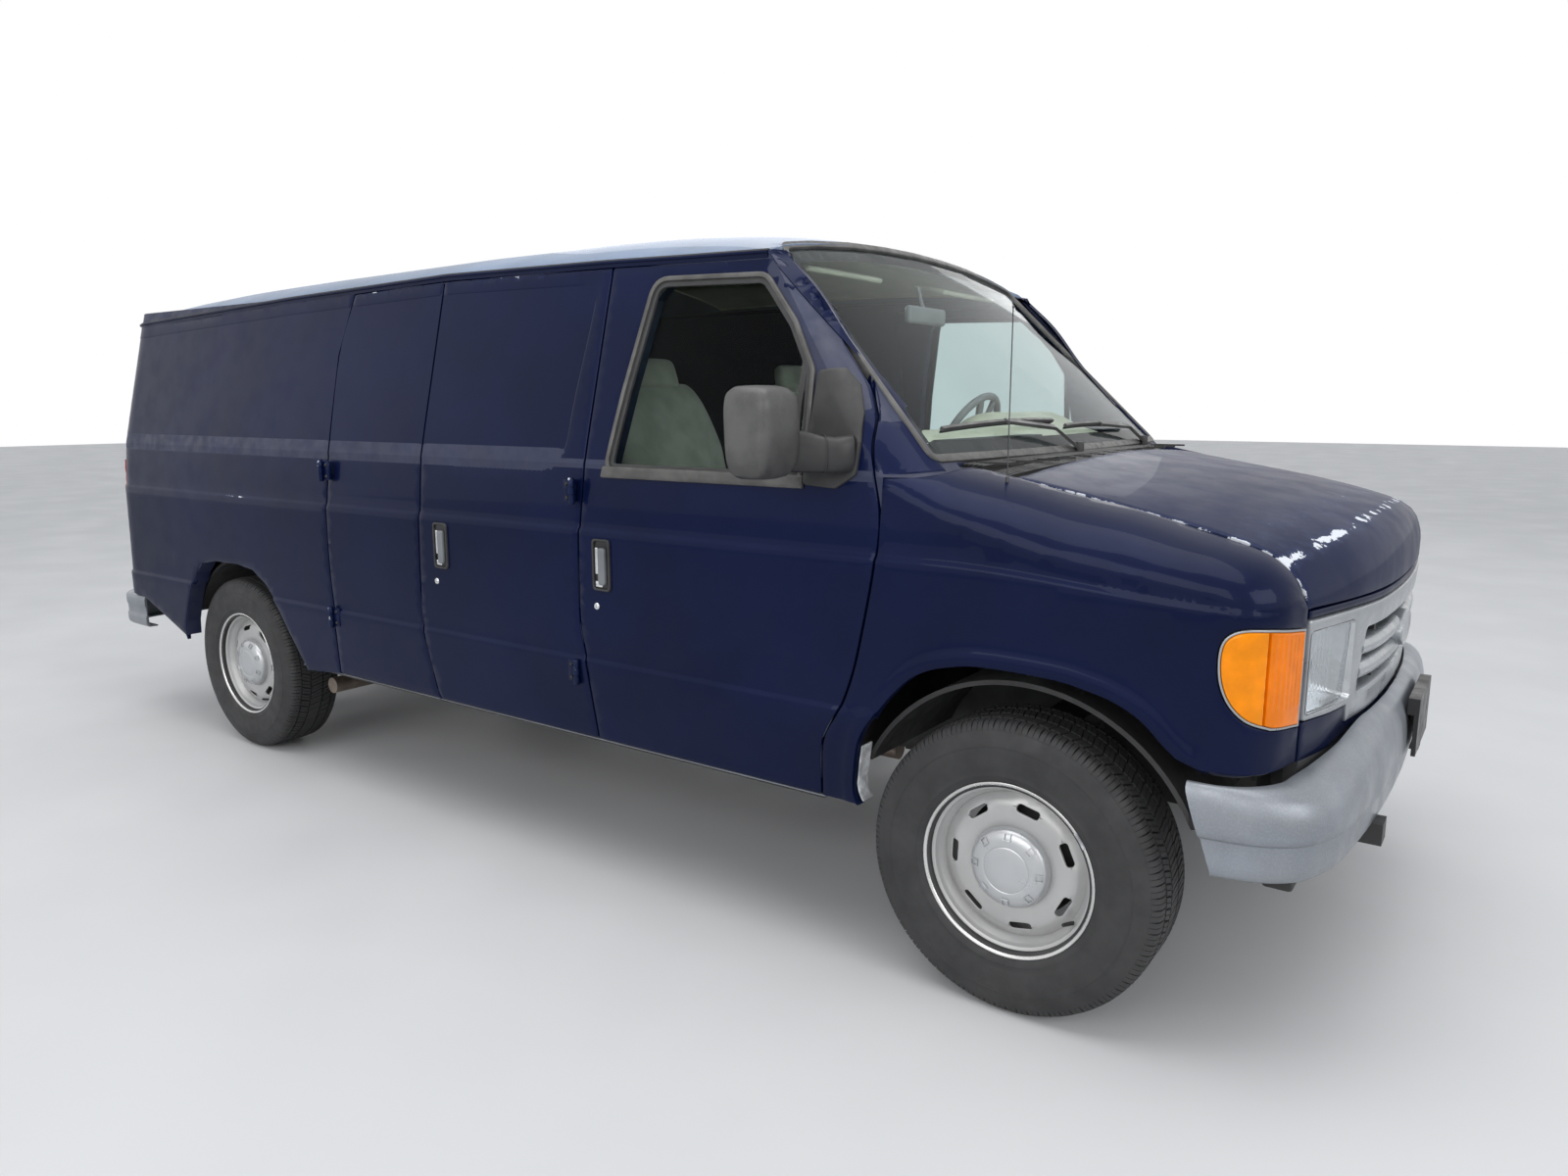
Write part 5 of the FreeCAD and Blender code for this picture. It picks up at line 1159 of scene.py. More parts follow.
def make_handle(name, x0, z0, surface=None):
    surface = surface or right_side
    frame_piece = sheet_piece(name + "_bezel", tile(x0, z0, *HANDLE_HALF), surface, black_trim,
                              holes=[tile(x0, z0, HANDLE_HALF[0] - 0.007, HANDLE_HALF[1] - 0.007, 0.01)],
                              step=0.01, proud=0.0085, deep=0.001, hem=0.0025, loop_step=0.006)
    pan = sheet_piece(name + "_pan", tile(x0, z0, 0.031, 0.073), surface, dark_metal, step=0.015,
                      proud=0.0024, deep=0.0, hem=0.001, loop_step=0.01)
    paddle = sheet_piece(name + "_paddle", tile(x0 + 0.004, z0 - 0.004, 0.014, 0.056, 0.01), surface,
                         paddle_grey, step=0.01, proud=0.012, deep=0.0, hem=0.004, loop_step=0.006)
    latch = sheet_piece(name + "_latch", tile(x0 - 0.019, z0 + 0.012, 0.006, 0.04, 0.004), surface,
                        bright_metal, step=0.01, proud=0.006, deep=0.0, hem=0.002, loop_step=0.008)
    bottom = sheet_piece(name + "_wedge", tile(x0 - 0.012, z0 - 0.058, 0.015, 0.009, 0.004), surface,
                         bright_metal, step=0.01, proud=0.005, deep=0.0, hem=0.002, loop_step=0.008)
    return joined(name, [frame_piece, pan, paddle, latch, bottom])


paddle_grey = finish("grey paddle plastic", (0.16, 0.17, 0.18), 0.4, grain=(700, 0.15, 0.0005), vary=0.15)


def make_lock(name, x0, z0):
    y0 = -float(side_y(x0, z0))
    cap = spun(name, [(0.0, -0.0055), (0.0035, -0.0055), (0.004, -0.0045), (0.0085, -0.005),
                      (0.0105, -0.003), (0.011, 0.004), (0.0, 0.004)], bright_metal, (x0, y0, z0), "Y", 28)
    key = soft_box(name + "_key", (x0 - 0.0008, y0 - 0.006, z0 - 0.003),
                   (x0 + 0.0008, y0 - 0.004, z0 + 0.003), dark_metal, 0.0003, 1)
    return joined(name, [cap, key])


def make_hinge(name, x0, z0, toward):
    """A barrel on the joint's axis, with a strap that reaches over the door's edge."""
    y0 = -1.0177
    barrel = spun(name + "_barrel", [(0.0, -0.04), (0.0075, -0.04), (0.0095, -0.037), (0.0095, -0.014),
                                     (0.0082, -0.013), (0.0082, -0.01), (0.0098, -0.009), (0.0098, 0.009),
                                     (0.0082, 0.01), (0.0082, 0.013), (0.0095, 0.014), (0.0095, 0.037),
                                     (0.0075, 0.04), (0.0, 0.04)], navy, (x0, y0, z0), "Z", 24)
    leaf = soft_box(name + "_leaf", (min(x0, x0 + toward * 0.042), y0 + 0.006, z0 - 0.034),
                    (max(x0, x0 + toward * 0.042), y0 + 0.0215, z0 + 0.034), navy, 0.003, 2)
    bolts = [spun(f"{name}_bolt{k}", [(0.0, -0.004), (0.005, -0.004), (0.0065, -0.002), (0.0065, 0.004),
                                      (0.0, 0.004)], dark_metal, (x0 + toward * 0.026, y0 + 0.006,
                                                                  z0 + off), "Y", 6)
             for k, off in enumerate((-0.021, 0.021))]
    piece = joined(name, [barrel, leaf] + bolts)
    return mark_worn(piece, lambda p: 0.5 + 0.3 * near(p[:, 1], -1.027, 0.008))


door_handle = make_handle("door_handle_right", *HANDLES["door"])
cargo_handle = make_handle("cargo_handle", *HANDLES["cargo"])
door_lock, cargo_lock = make_lock("door_lock_right", 0.613, 0.867), make_lock("cargo_lock", -0.152, 0.87)
hinges = [make_hinge("cargo_front_hinge_high", 0.5365, 1.21, -1),
          make_hinge("cargo_front_hinge_low", 0.5305, 0.655, -1),
          make_hinge("cargo_rear_hinge_high", -0.785, 1.224, 1),
          make_hinge("cargo_rear_hinge_low", -0.787, 0.673, 1)]

# %% [markdown]
# The outside mirror is a big moulded housing on a short arm. Its rings are
# superellipses that swell quickly from a rounded outer end, and the front face
# bulges. Behind, a flat glass sits in a dark frame.

# %% Mirrors
def squircle(cx, cz, half_x, half_z, power=3.6, count=40):
    places = []
    for k in range(count):
        a = 2 * math.pi * k / count
        c, s = math.cos(a), math.sin(a)
        places.append((cx + half_x * math.copysign(abs(c) ** (2 / power), c),
                       cz + half_z * math.copysign(abs(s) ** (2 / power), s)))
    return places


def make_mirror():
    rows = []
    for y, grow in ((-1.213, 0.3), (-1.2125, 0.62), (-1.209, 0.8), (-1.202, 0.92), (-1.186, 0.985),
                    (-1.155, 1.0), (-1.125, 0.995), (-1.098, 0.97), (-1.085, 0.9), (-1.077, 0.8),
                    (-1.072, 0.62), (-1.071, 0.3)):
        lean = 0.01 * (y + 1.12) / 0.1
        ring = []
        for x, z in squircle(0, 0, 0.062 * (0.45 + 0.55 * grow), 0.113 * grow, 4.6):
            bulge = 0.01 * (1 - (z / 0.115) ** 2) * (1 if x > 0 else 0.2)
            ring.append((1.34 + x * (1 + 0.1 * (z / 0.115)) + bulge * grow + lean - 0.004, y, 1.398 + z))
        rows.append(ring)
    shell = grid_piece("mirror_shell", rows, mirror_face, closed_u=True, caps=True, crisp=60)
    lip = [(1.284, -1.142 + a, 1.398 + b) for a, b in squircle(0, 0, 0.061, 0.103, 5)]
    rim = swept("mirror_rim", lip, circle_section(0.0045, 8), black_trim, up=(1, 0, 0), closed=True)
    glass_rows = [[(1.2815, -1.142 + a * s, 1.398 + b * s) for a, b in squircle(0, 0, 0.059, 0.101, 5)]
                  for s in (1.0, 0.66, 0.33, 0.02)]
    face = grid_piece("mirror_face", glass_rows, mirror_glass, closed_u=True, wall=0.002)
    arm_rows = []
    for x, y, half_x, half_z, z in ((1.35, -1.092, 0.028, 0.056, 1.352),
                                    (1.366, -1.064, 0.03, 0.054, 1.352), (1.402, -1.04, 0.036, 0.05, 1.348),
                                    (1.432, -1.03, 0.04, 0.046, 1.344), (1.462, -1.012, 0.04, 0.044, 1.342),
                                    (1.482, -0.992, 0.038, 0.046, 1.344),
                                    (1.486, -0.972, 0.038, 0.046, 1.346)):
        arm_rows.append([(x + a * 0.62, y + a * -0.55, z + b)
                         for a, b in squircle(0, 0, half_x, half_z, 3.0, 28)])
    arm = grid_piece("mirror_arm", arm_rows, black_trim, closed_u=True, caps=True, crisp=55)
    ring = [(1.44 + a * 0.64, -1.027 - a * 0.57, 1.344 + b)
            for a, b in squircle(0, 0, 0.0405, 0.0475, 3.0, 28)]
    seam = swept("mirror_seam", ring, circle_section(0.0016, 6), rubber_seal, up=(0.6, 0.7, 0), closed=True)
    return joined("mirror_right_body", [shell, rim, face, arm, seam])


mirror = make_mirror()
pairs = [(door_skin, "body_paint"), (frame_ring, "black_plastic"), (rubber_ring, "black_plastic"),
         (sill_strip, "black_plastic"), (divider, "black_plastic"), (corner_sail, "black_plastic"),
         (door_handle, "black_plastic"), (door_lock, "black_plastic"), (mirror, "black_plastic")]
for piece, slot in pairs:
    other = mirror_of(piece, piece.name.replace("_right", "_left"))
    for item, side in ((piece, "right"), (other, "left")):
        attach(item, "front_door_" + side)
        if piece is mirror:
            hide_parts("mirror_" + side)
for piece in (cargo_handle, cargo_lock):
    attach(piece, "cargo_front")
for piece, body in zip(hinges, ("cargo_front", "cargo_front", "cargo_rear", "cargo_rear")):
    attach(piece, body)
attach(side_panel_left, "root")
print("doors done")

# %% [markdown]
# The back: two doors with fixed windows, hinged at the corners, upright red
# lamps on the corners, and a bumper. The doors' outlines are drawn across the
# van, and laid on the back's surface, which curves away at the corners.

# %% Rear doors and lamps
def back_shares(shares):
    return [(sy(a), sz(b)) for a, b in shares]


rear_door_outline = trimmed(back_shares(((0.0, 0.3), (0.85, 0.3), (0.85, 0.64), (0.8, 0.8), (0.735, 0.893),
                                         (0.0, 0.905))), 0.02)
rear_window = rounded(back_shares(((0.115, 0.64), (0.735, 0.64), (0.69, 0.8), (0.64, 0.862),
                                   (0.115, 0.868))), 0.03, 5)


def rear_relief(y, z):
    low = np.minimum(np.minimum(y - 0.1, 0.72 - y), np.minimum(z - 0.7, 1.2 - z))
    return -0.004 * smoothstep(low, -0.004, 0.01)


def box_ribs(y0, y1, z0, z1):
    lines = []
    for off in (-0.006, 0.0, 0.006, 0.012):
        ring = [(y0 + off, z0 + off), (y1 - off, z0 + off), (y1 - off, z1 - off), (y0 + off, z1 - off)]
        lines.append(ring + ring[:1])
    return lines


rear_skin = sheet_piece("rear_door_skin_left", rear_door_outline, back_face, navy, side=-1,
                        holes=[rear_window], step=0.028, relief=rear_relief,
                        ribs=box_ribs(0.1, 0.72, 0.7, 1.2))
rear_rubber = sheet_piece("rear_window_rubber_left", grown(rear_window, 0.012), back_face, rubber_seal,
                          side=-1, step=0.012, holes=[grown(rear_window, -0.012)], proud=0.007, deep=0.006,
                          loop_step=0.012)
mark_worn(rear_skin, lambda p: near(p[:, 2], 0.615, 0.03) * 0.5)
rear_hinges = []
for level in (0.72, 1.12, 1.5):
    y0 = 0.862
    barrel = spun("rear_hinge_barrel", [(0.0, -0.035), (0.008, -0.035), (0.01, -0.032), (0.01, 0.032),
                                        (0.008, 0.035), (0.0, 0.035)], navy,
                  (float(rear_x(level)) - 0.004, y0 - 0.03 * (level > 1.3), level), "Z", 20)
    leaf = soft_box("rear_hinge_leaf", (float(rear_x(level)) - 0.01, y0 - 0.075 - 0.03 * (level > 1.3),
                                        level - 0.03), (float(rear_x(level)) + 0.002,
                                                        y0 - 0.02 - 0.03 * (level > 1.3), level + 0.03),
                    navy, 0.003, 2)
    rear_hinges += [barrel, leaf]
rear_hinge = joined("rear_hinges_left", rear_hinges)
mark_worn(rear_hinge, lambda p: np.full(len(p), 0.3))
rear_items = [(rear_skin, "body_paint"), (rear_rubber, "black_plastic"), (rear_hinge, "body_paint")]
for piece, slot in rear_items:
    other = mirror_of(piece, piece.name.replace("_left", "_right"))
    for item, side in ((piece, "left"), (other, "right")):
        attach(item, "back_door_" + side)


def back_handle():
    pan = sheet_piece("back_pan", tile(0.075, 1.105, 0.07, 0.034, 0.012), back_face, black_trim, side=-1,
                      step=0.012, proud=0.007, deep=0.0, loop_step=0.008)
    lever = sheet_piece("back_lever", tile(0.07, 1.108, 0.052, 0.014, 0.01), back_face, paddle_grey,
                        side=-1, step=0.01, proud=0.013, deep=0.0, hem=0.004, loop_step=0.008)
    plate = sheet_piece("back_plate", tile(0.42, 0.84, 0.155, 0.078, 0.01), back_face, bracket_black,
                        side=-1, step=0.02, proud=0.006, deep=0.0)
    blank = sheet_piece("back_blank", tile(0.42, 0.84, 0.15, 0.073, 0.01), back_face, blank_plate, side=-1,
                        step=0.02, proud=0.0085, deep=0.0, hem=0.002)
    return joined("rear_handle_and_plate", [pan, lever, plate, blank])


handle_back = turned(back_handle(), ACROSS)
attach(handle_back, "back_door_right")


def lamp_band(name, low, high, material, proud=0.011):
    edge = [(quarter_u(y, z), z) for y, z in ((0.9615, low), (0.9615, high), (0.8725, high), (0.8725, low))]
    ribs_line = [[(edge[0][0] + (edge[2][0] - edge[0][0]) * k / 9, low + 0.004),
                  (edge[0][0] + (edge[2][0] - edge[0][0]) * k / 9, high - 0.004)] for k in range(1, 9)]
    return sheet_piece(name, rounded(edge, 0.008, 3), right_quarter, material, step=0.01, proud=proud,
                       deep=0.01, hem=0.004, ribs=ribs_line, loop_step=0.008,
                       relief=lambda u, z: 0.0008 * np.sin(z * 2 * math.pi / 0.009))


bands = [lamp_band("lamp_top", 1.042, 1.212, red_lens), lamp_band("lamp_low", 0.9, 0.964, red_lens),
         lamp_band("lamp_white", 0.967, 1.039, clear_lens)]
lamp_corners = ((0.966, 0.895), (0.966, 1.217), (0.868, 1.217), (0.868, 0.895))
lamp_back = sheet_piece("lamp_back", rounded([(quarter_u(y, z), z) for y, z in lamp_corners], 0.01, 3),
                        right_quarter, black_trim, step=0.02, proud=0.004, deep=0.012, hem=0.002)
tail = joined("tail_lamp_right", bands + [lamp_back])
tail_left = mirror_of(tail, "tail_lamp_left")
for item in (tail, tail_left):
    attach(item, "root")
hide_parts("tail_lamps")
stop_strip = soft_box("high_stop_lamp", (float(rear_x(1.845)) - 0.016, -0.19, 1.838),
                      (float(rear_x(1.845)) + 0.004, 0.19, 1.862), red_lens, 0.005, 3)
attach(stop_strip, "root")
print("rear done")

# %% [markdown]
# The nose turns from the side round to the grille. Its plan is one soft curve,
# measured like a tape from the door forwards, so a place on the fender is that
# length and a height. Above the wall the fender rolls over to the hood's edge,
# which is a Bezier curve at each station: straight up, then nearly level.

# %% The nose's plan and the fender's surface
nose_plan = np.array(smooth_line([(1.3, 1.0), (1.7, 1.0), (2.05, 1.0), (2.25, 0.989), (2.36, 0.968),
                                  (2.435, 0.9415), (2.483, 0.885), (2.505, 0.82), (2.528, 0.74),
                                  (2.57, 0.58), (2.607, 0.403), (2.623, 0.2), (2.628, 0.0)], 10))
nose_tape = 1.3 + lengths_along(nose_plan)
FENDER_TOP = ((1.4, 1.26), (1.58, 1.25), (1.75, 1.19), (2.0, 1.125), (2.284, 1.085), (2.36, 1.07),
              (2.41, 1.056), (2.46, 1.045), (2.53, 1.04), (2.62, 1.037))
HOOD_HALF = 0.794
GAP_CURVE = ((1.58, 0.975, 1.291), (1.64, 0.955, 1.291), (1.7, 0.9, 1.296), (1.735, 0.815, 1.31),
             (1.85, 0.804, 1.29), (2.0, 0.804, 1.256), (2.142, 0.804, 1.23), (2.286, 0.804, 1.192),
             (2.4, 0.804, 1.16), (2.45, 0.804, 1.136), (2.487, 0.803, 1.1), (2.508, 0.802, 1.05))
GAP_U = (1.58, 1.64, 1.7, 1.75, 1.87, 2.01, 2.15, 2.29, 2.42, 2.49, 2.55, 2.6)
SMOOTH_GAP = np.array(smooth_line([(u, *c) for u, c in zip(GAP_U, GAP_CURVE)], 6))


def tape_at(x):
    return float(np.interp(x, nose_plan[:, 0], nose_tape))


def fender_wall(u, z):
    x, y = np.interp(u, nose_tape, nose_plan[:, 0]), np.interp(u, nose_tape, nose_plan[:, 1])
    y = y * (1 + (width_at(np.minimum(x, 2.6), z) - 1.0) * smoothstep(y, 0.74, 0.85))
    return x, y


def fender(u, t):
    u, t = np.asarray(u, float), np.asarray(t, float)
    top = np.interp(u, [p[0] for p in FENDER_TOP], [p[1] for p in FENDER_TOP])
    x0, y0 = fender_wall(u, np.minimum(t, top))
    share = np.clip((t - top) / 0.4, 0, 1.05)
    cx, cy, cz = (np.interp(u, SMOOTH_GAP[:, 0], SMOOTH_GAP[:, k]) for k in (1, 2, 3))
    rise, reach = cz - top, np.hypot(x0 - cx, y0 - cy)
    x2, y2 = cx + (x0 - cx) * 0.45, cy + (y0 - cy) * 0.45
    z1, z2 = top + rise * 0.6, cz - 0.16 * 0.45 * reach
    a, b, c, d = (1 - share) ** 3, 3 * share * (1 - share) ** 2, 3 * share ** 2 * (1 - share), share ** 3
    x = (a + b) * x0 + c * x2 + d * cx
    y = (a + b) * y0 + c * y2 + d * cy
    z = np.where(t <= top, t, a * top + b * z1 + c * z2 + d * cz)
    return np.stack([x, -y, z], axis=1)


def top_t(u):
    return float(np.interp(u, [p[0] for p in FENDER_TOP], [p[1] for p in FENDER_TOP])) + 0.4


front_arch = [(FRONT_AXLE + a * TYRE_RADIUS, TYRE_RADIUS * (1 + b))
              for a, b in ((-1.075, 0.225), (-1.104, 0.25), (-1.126, 0.36), (-1.099, 0.626),
                           (-1.044, 0.773), (-0.933, 0.928), (-0.824, 1.064), (-0.702, 1.184),
                           (-0.579, 1.257), (-0.441, 1.303), (-0.196, 1.344), (0.267, 1.335),
                           (0.492, 1.298), (0.661, 1.249), (0.816, 1.162), (0.944, 1.034), (1.02, 0.965))]
signal_line = [(2.5125, 1.0), (2.47, 1.011), (2.43, 1.0125), (2.4, 1.003), (2.381, 0.98), (2.376, 0.94),
               (2.382, 0.89), (2.402, 0.845), (2.436, 0.81), (2.475, 0.79), (2.5125, 0.781)]
signal_line = [(tape_at(x), z) for x, z in signal_line]
signal_smooth = [signal_line[0]] + smooth_line(signal_line[1:-1], 5) + [signal_line[-1]]
NOSE_END = tape_at(2.5125)


def fender_outline():
    rear = [(x + GAP / 2 - 0.0015, z) for x, z in smooth_line(door_front_line[:7], 4)]
    top = [(u, top_t(u)) for u in np.linspace(1.583, NOSE_END, 40)]
    low = [(NOSE_END, 0.703), (tape_at(2.47), 0.697), (tape_at(2.36), 0.701)]
    return rear + top + signal_smooth + low + smooth_line(front_arch[::-1], 4) + [(1.528, 0.452)]


def arch_ribs():
    ring = np.array(smooth_line(front_arch, 4))
    lines = []
    for off in (0.008, 0.022, 0.034, 0.046):
        away = ring - np.array([FRONT_AXLE, TYRE_RADIUS])
        away /= np.linalg.norm(away, axis=1, keepdims=True)
        lines.append([tuple(p) for p in ring + away * off])
    return lines


arch_line = [np.array(smooth_line(front_arch, 4) + [(FRONT_AXLE + 0.42, 0.7)])]


def fender_relief(u, t):
    """A flared lip along the arch: the metal swells by a few millimetres towards its edge."""
    pts = np.stack([u, t], axis=1)
    return 0.006 * (1 - smoothstep(distance_to(pts, arch_line), 0.02, 0.046))


def roll_ribs():
    return [[(u, top_t(u) - 0.4 + off) for u in np.linspace(1.62, NOSE_END - 0.02, 30)]
            for off in (-0.02, 0.0, 0.03, 0.06, 0.1, 0.16)]


fender_skin = sheet_piece("fender_right", fender_outline(), fender, navy, step=0.026, deep=0.02,
                          ribs=crease_ribs(1.6, NOSE_END) + arch_ribs() + roll_ribs(), relief=fender_relief)


def fender_wear(places):
    crown = near(np.abs(places[:, 1]), 0.806, 0.012) * near(places[:, 0], 2.1, 0.3) * 0.62
    return np.maximum(crown, near(places[:, 2], SILL, 0.03) * 0.5)


mark_worn(fender_skin, fender_wear)
fender_left = mirror_of(fender_skin, "fender_left")
for piece in (fender_skin, fender_left):
    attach(piece, "root")
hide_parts("fenders")

# %% [markdown]
# The hood is four lengthwise sections, at the middle, partway, and near the
# edges. Between them the surface is one even polynomial, so it has no seams. It
# keeps the CAD hood inside as its frame, and gets sunburnt paint on top.

# %% Hood
HOOD_SECTIONS = (
    (0.0, ((0.936, 0.662), (1.085, 0.641), (1.48, 0.62), (1.745, 0.6), (1.865, 0.584), (1.91, 0.552),
           (1.915, 0.512))),
    (0.4, ((0.936, 0.657), (1.085, 0.636), (1.48, 0.613), (1.725, 0.592), (1.84, 0.574), (1.882, 0.545),
           (1.887, 0.512))),
    (0.755, ((0.936, 0.648), (1.085, 0.622), (1.46, 0.592), (1.64, 0.573), (1.715, 0.555),
             (1.762, 0.532), (1.775, 0.512))),
    (1.01, ((0.936, 0.628), (1.085, 0.59), (1.46, 0.556), (1.56, 0.545), (1.62, 0.535), (1.68, 0.522),
            (1.7, 0.512))))
HOOD_REAR, HOOD_LONG = 1.853, 0.86


def section_line(points):
    line = np.array(smooth_line(xz(points), 10))
    line = line[line[:, 0] > HOOD_REAR]
    start = np.array([[HOOD_REAR, line[0][1] + 0.0006]])
    line = np.concatenate([start, line])
    tape = lengths_along(line)
    return line, tape / tape[-1]


hood_lines = [(sy(share) ** 2, *section_line(points)) for share, points in HOOD_SECTIONS]


def hood_surface(s, y):
    s, y = np.asarray(s, float), np.asarray(y, float)
    x, z = np.zeros_like(s), np.zeros_like(s)
    for k, (node_k, line, tape) in enumerate(hood_lines):
        weight = np.ones_like(s)
        for m, (node_m, _, _) in enumerate(hood_lines):
            if m != k:
                weight = weight * (y * y - node_m) / (node_k - node_m)
        share = np.clip(s / HOOD_LONG, 0, 1)
        beyond = (s / HOOD_LONG - share) * HOOD_LONG
        x += weight * (np.interp(share, tape, line[:, 0]) + np.minimum(beyond, 0))
        z += weight * (np.interp(share, tape, line[:, 1]) - np.maximum(beyond, 0))
    return np.stack([x, y, z], axis=1)


hood_edge = rounded([(0.004, -HOOD_HALF), (HOOD_LONG, -HOOD_HALF), (HOOD_LONG, HOOD_HALF),
                     (0.004, HOOD_HALF)], [0.02, 0.006, 0.006, 0.02], 4)
hood_skin = sheet_piece("hood_skin", hood_edge, hood_surface, hood_blue, step=0.03, deep=0.016,
                        proud=0.0035, hem=0.004, ribs=[[(s, -0.78), (s, 0.78)]
                                                       for s in (0.6, 0.66, 0.7, 0.73, 0.755, 0.775, 0.795,
                                                                 0.815, 0.835)])


def hood_wear(places):
    x, y = places[:, 0], places[:, 1]
    front = 2.56 - 0.1 * (np.abs(y) / HOOD_HALF) ** 2.2
    line = near(x, front, 0.032) * 0.97
    patch = near(x, front - 0.09, 0.14) * 0.5
    rear = near(x, HOOD_REAR, 0.026) * 0.8
    sides = near(np.abs(y), HOOD_HALF, 0.012) * 0.76 * smoothstep(x, 1.8, 1.9)
    return np.maximum.reduce([line, patch, rear, sides])


mark_worn(hood_skin, hood_wear)
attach(hood_skin, "hood")

# %% [markdown]
# The face between the fenders: a narrow painted strip, a silver frame that
# holds the lamps and dips lower between them for the grille, and the painted
# panel under the lamps. All are laid on the plan's front part, which leans back
# a little below the hood. The bars follow the same curve.

# %% Nose face, grille and lamps
front_plan = nose_plan[nose_plan[:, 0] > 2.44][::-1]
NOSE_LEAN, FACE_TOP = 0.075, 1.0135
POST_Y, LAMP_LOW, GRILLE_LOW, PANEL_LOW = 0.547, 0.791, 0.737, 0.7


def nose_face(y, z):
    y, z = np.asarray(y, float), np.asarray(z, float)
    x = np.interp(np.abs(y), front_plan[:, 1], front_plan[:, 0])
    lean = NOSE_LEAN * (FACE_TOP - z) * (1 - smoothstep(np.abs(y), 0.45, 0.7))
    return np.stack([x - lean, y, z], axis=1)


def strip(name, half, low, high, material, **more):
    return sheet_piece(name, [(-half, low), (half, low), (half, high), (-half, high)], nose_face, material,
                       step=0.02, **more)


top_strip = strip("nose_strip", 0.786, 1.0165, 1.0335, navy, deep=0.05, hem=0.004)
half_panel = [(0.786, PANEL_LOW), (0.786, LAMP_LOW - 0.003), (POST_Y + 0.004, LAMP_LOW - 0.012),
              (POST_Y - 0.01, GRILLE_LOW - 0.003)]
whole_panel = [(-0.786, PANEL_LOW)] + half_panel + [(-y, z) for y, z in half_panel[:0:-1]]
low_strip = sheet_piece("nose_low_panel", whole_panel, nose_face, navy, step=0.02, deep=0.05, hem=0.005,
                        proud=0.002)
dark_wall = sheet_piece("nose_dark_wall", [(-0.784, 0.58), (0.784, 0.58), (0.784, 1.022), (-0.784, 1.022)],
                        nose_face, rubber_seal, step=0.05, proud=-0.085, deep=0.09, back=-0.088)
apron = sheet_piece("nose_apron", [(-0.784, 0.6), (0.784, 0.6), (0.784, 0.712), (0.5, 0.712), (0.48, 0.745),
                                   (-0.48, 0.745), (-0.5, 0.712), (-0.784, 0.712)], nose_face, rubber_seal,
                    step=0.04, proud=-0.012, deep=0.03)
LAMP_Y, LAMP_Z = (0.566, 0.775), (0.803, 0.987)


def lamp_loop(y0, y1, z0, z1, corner=0.012):
    return rounded([(y0, z0), (y1, z0), (y1, z1), (y0, z1)], corner, 4)


lamp_hole = lamp_loop(*LAMP_Y, *LAMP_Z)
lamp_holes = [lamp_hole, [(-y, z) for y, z in lamp_hole]]
bay = rounded([(-0.486, 0.802), (0.486, 0.802), (0.492, 0.84), (0.484, 0.956), (-0.484, 0.956),
               (-0.492, 0.84)], 0.014, 4)
half_frame = [(POST_Y - 0.012, GRILLE_LOW), (POST_Y, LAMP_LOW - 0.01), (0.783, LAMP_LOW), (0.783, FACE_TOP)]
frame_line = rounded([(-y, z) for y, z in half_frame[::-1]] + half_frame, 0.006, 3)
silver_frame = sheet_piece("grille_frame", frame_line, nose_face, silver_paint, holes=lamp_holes + [bay],
                           step=0.018, proud=0.006, deep=0.05, hem=0.006)
bars = []
for k, (level, half) in enumerate(((0.906, 0.02), (0.85, 0.0225))):
    path = []
    for y in np.linspace(-0.49, 0.49, 60):
        x = float(spot(nose_face, y, level)[0])
        path.append((x - 0.014, y, level - 0.008 * (1 - (y / 0.49) ** 2)))
    bars.append(swept(f"bar{k}", path, [(0.016, -half * 0.72), (0.008, -half * 0.95), (-0.002, -half),
                                        (-0.024, -half * 0.8), (-0.026, half * 0.8), (-0.004, half),
                                        (0.008, half * 0.92), (0.016, half * 0.66), (0.021, half * 0.3),
                                        (0.022, -half * 0.1), (0.02, -half * 0.45)], silver_paint,
                      crisp=50))
boss_rows = []
for grow, level in ((1.0, -0.03), (1.0, 0.006), (0.985, 0.012), (0.95, 0.0145), (0.9, 0.013),
                    (0.86, 0.0115), (0.4, 0.0135), (0.02, 0.014)):
    ring = []
    for angle in np.linspace(0, 2 * math.pi, 56, endpoint=False):
        y, z = 0.108 * grow * math.cos(angle), 0.878 + 0.046 * grow * math.sin(angle)
        ring.append((2.618 + level - 0.02 * y ** 2, y, z))
    boss_rows.append(ring)
boss = grid_piece("grille_boss", boss_rows, silver_paint, closed_u=True, caps=True, crisp=50)
upright = [soft_box(f"grille_upright{k}", (2.57, y - 0.006, 0.8), (2.59, y + 0.006, 0.958), black_trim,
                    0.002, 1) for k, y in enumerate((-0.3, 0.3))]


def make_bowl(side):
    """A silver bowl behind the lens: rings of the lamp's rectangle that shrink backwards."""
    rows = []
    for depth, grow in ((-0.004, 1.0), (0.012, 0.97), (0.045, 0.88), (0.07, 0.62), (0.078, 0.25),
                        (0.079, 0.02)):
        ring = []
        for y, z in lamp_loop(*LAMP_Y, *LAMP_Z):
            yy, zz = 0.672 + (y - 0.672) * grow, 0.895 + (z - 0.895) * grow
            x = float(np.interp(yy, front_plan[:, 1], front_plan[:, 0]))
            ring.append((x - depth, side * yy, zz))
        rows.append(ring)
    bowl = grid_piece("bowl", rows, reflector, closed_u=True, wall=0.0015, crisp=50)
    bulb = spun("bulb", [(0.0, 0.0), (0.009, 0.002), (0.014, 0.012), (0.015, 0.022), (0.01, 0.03),
                         (0.0, 0.033)], dark_metal, (2.47, side * 0.672, 0.895), "X", 24)
    return [bowl, bulb]


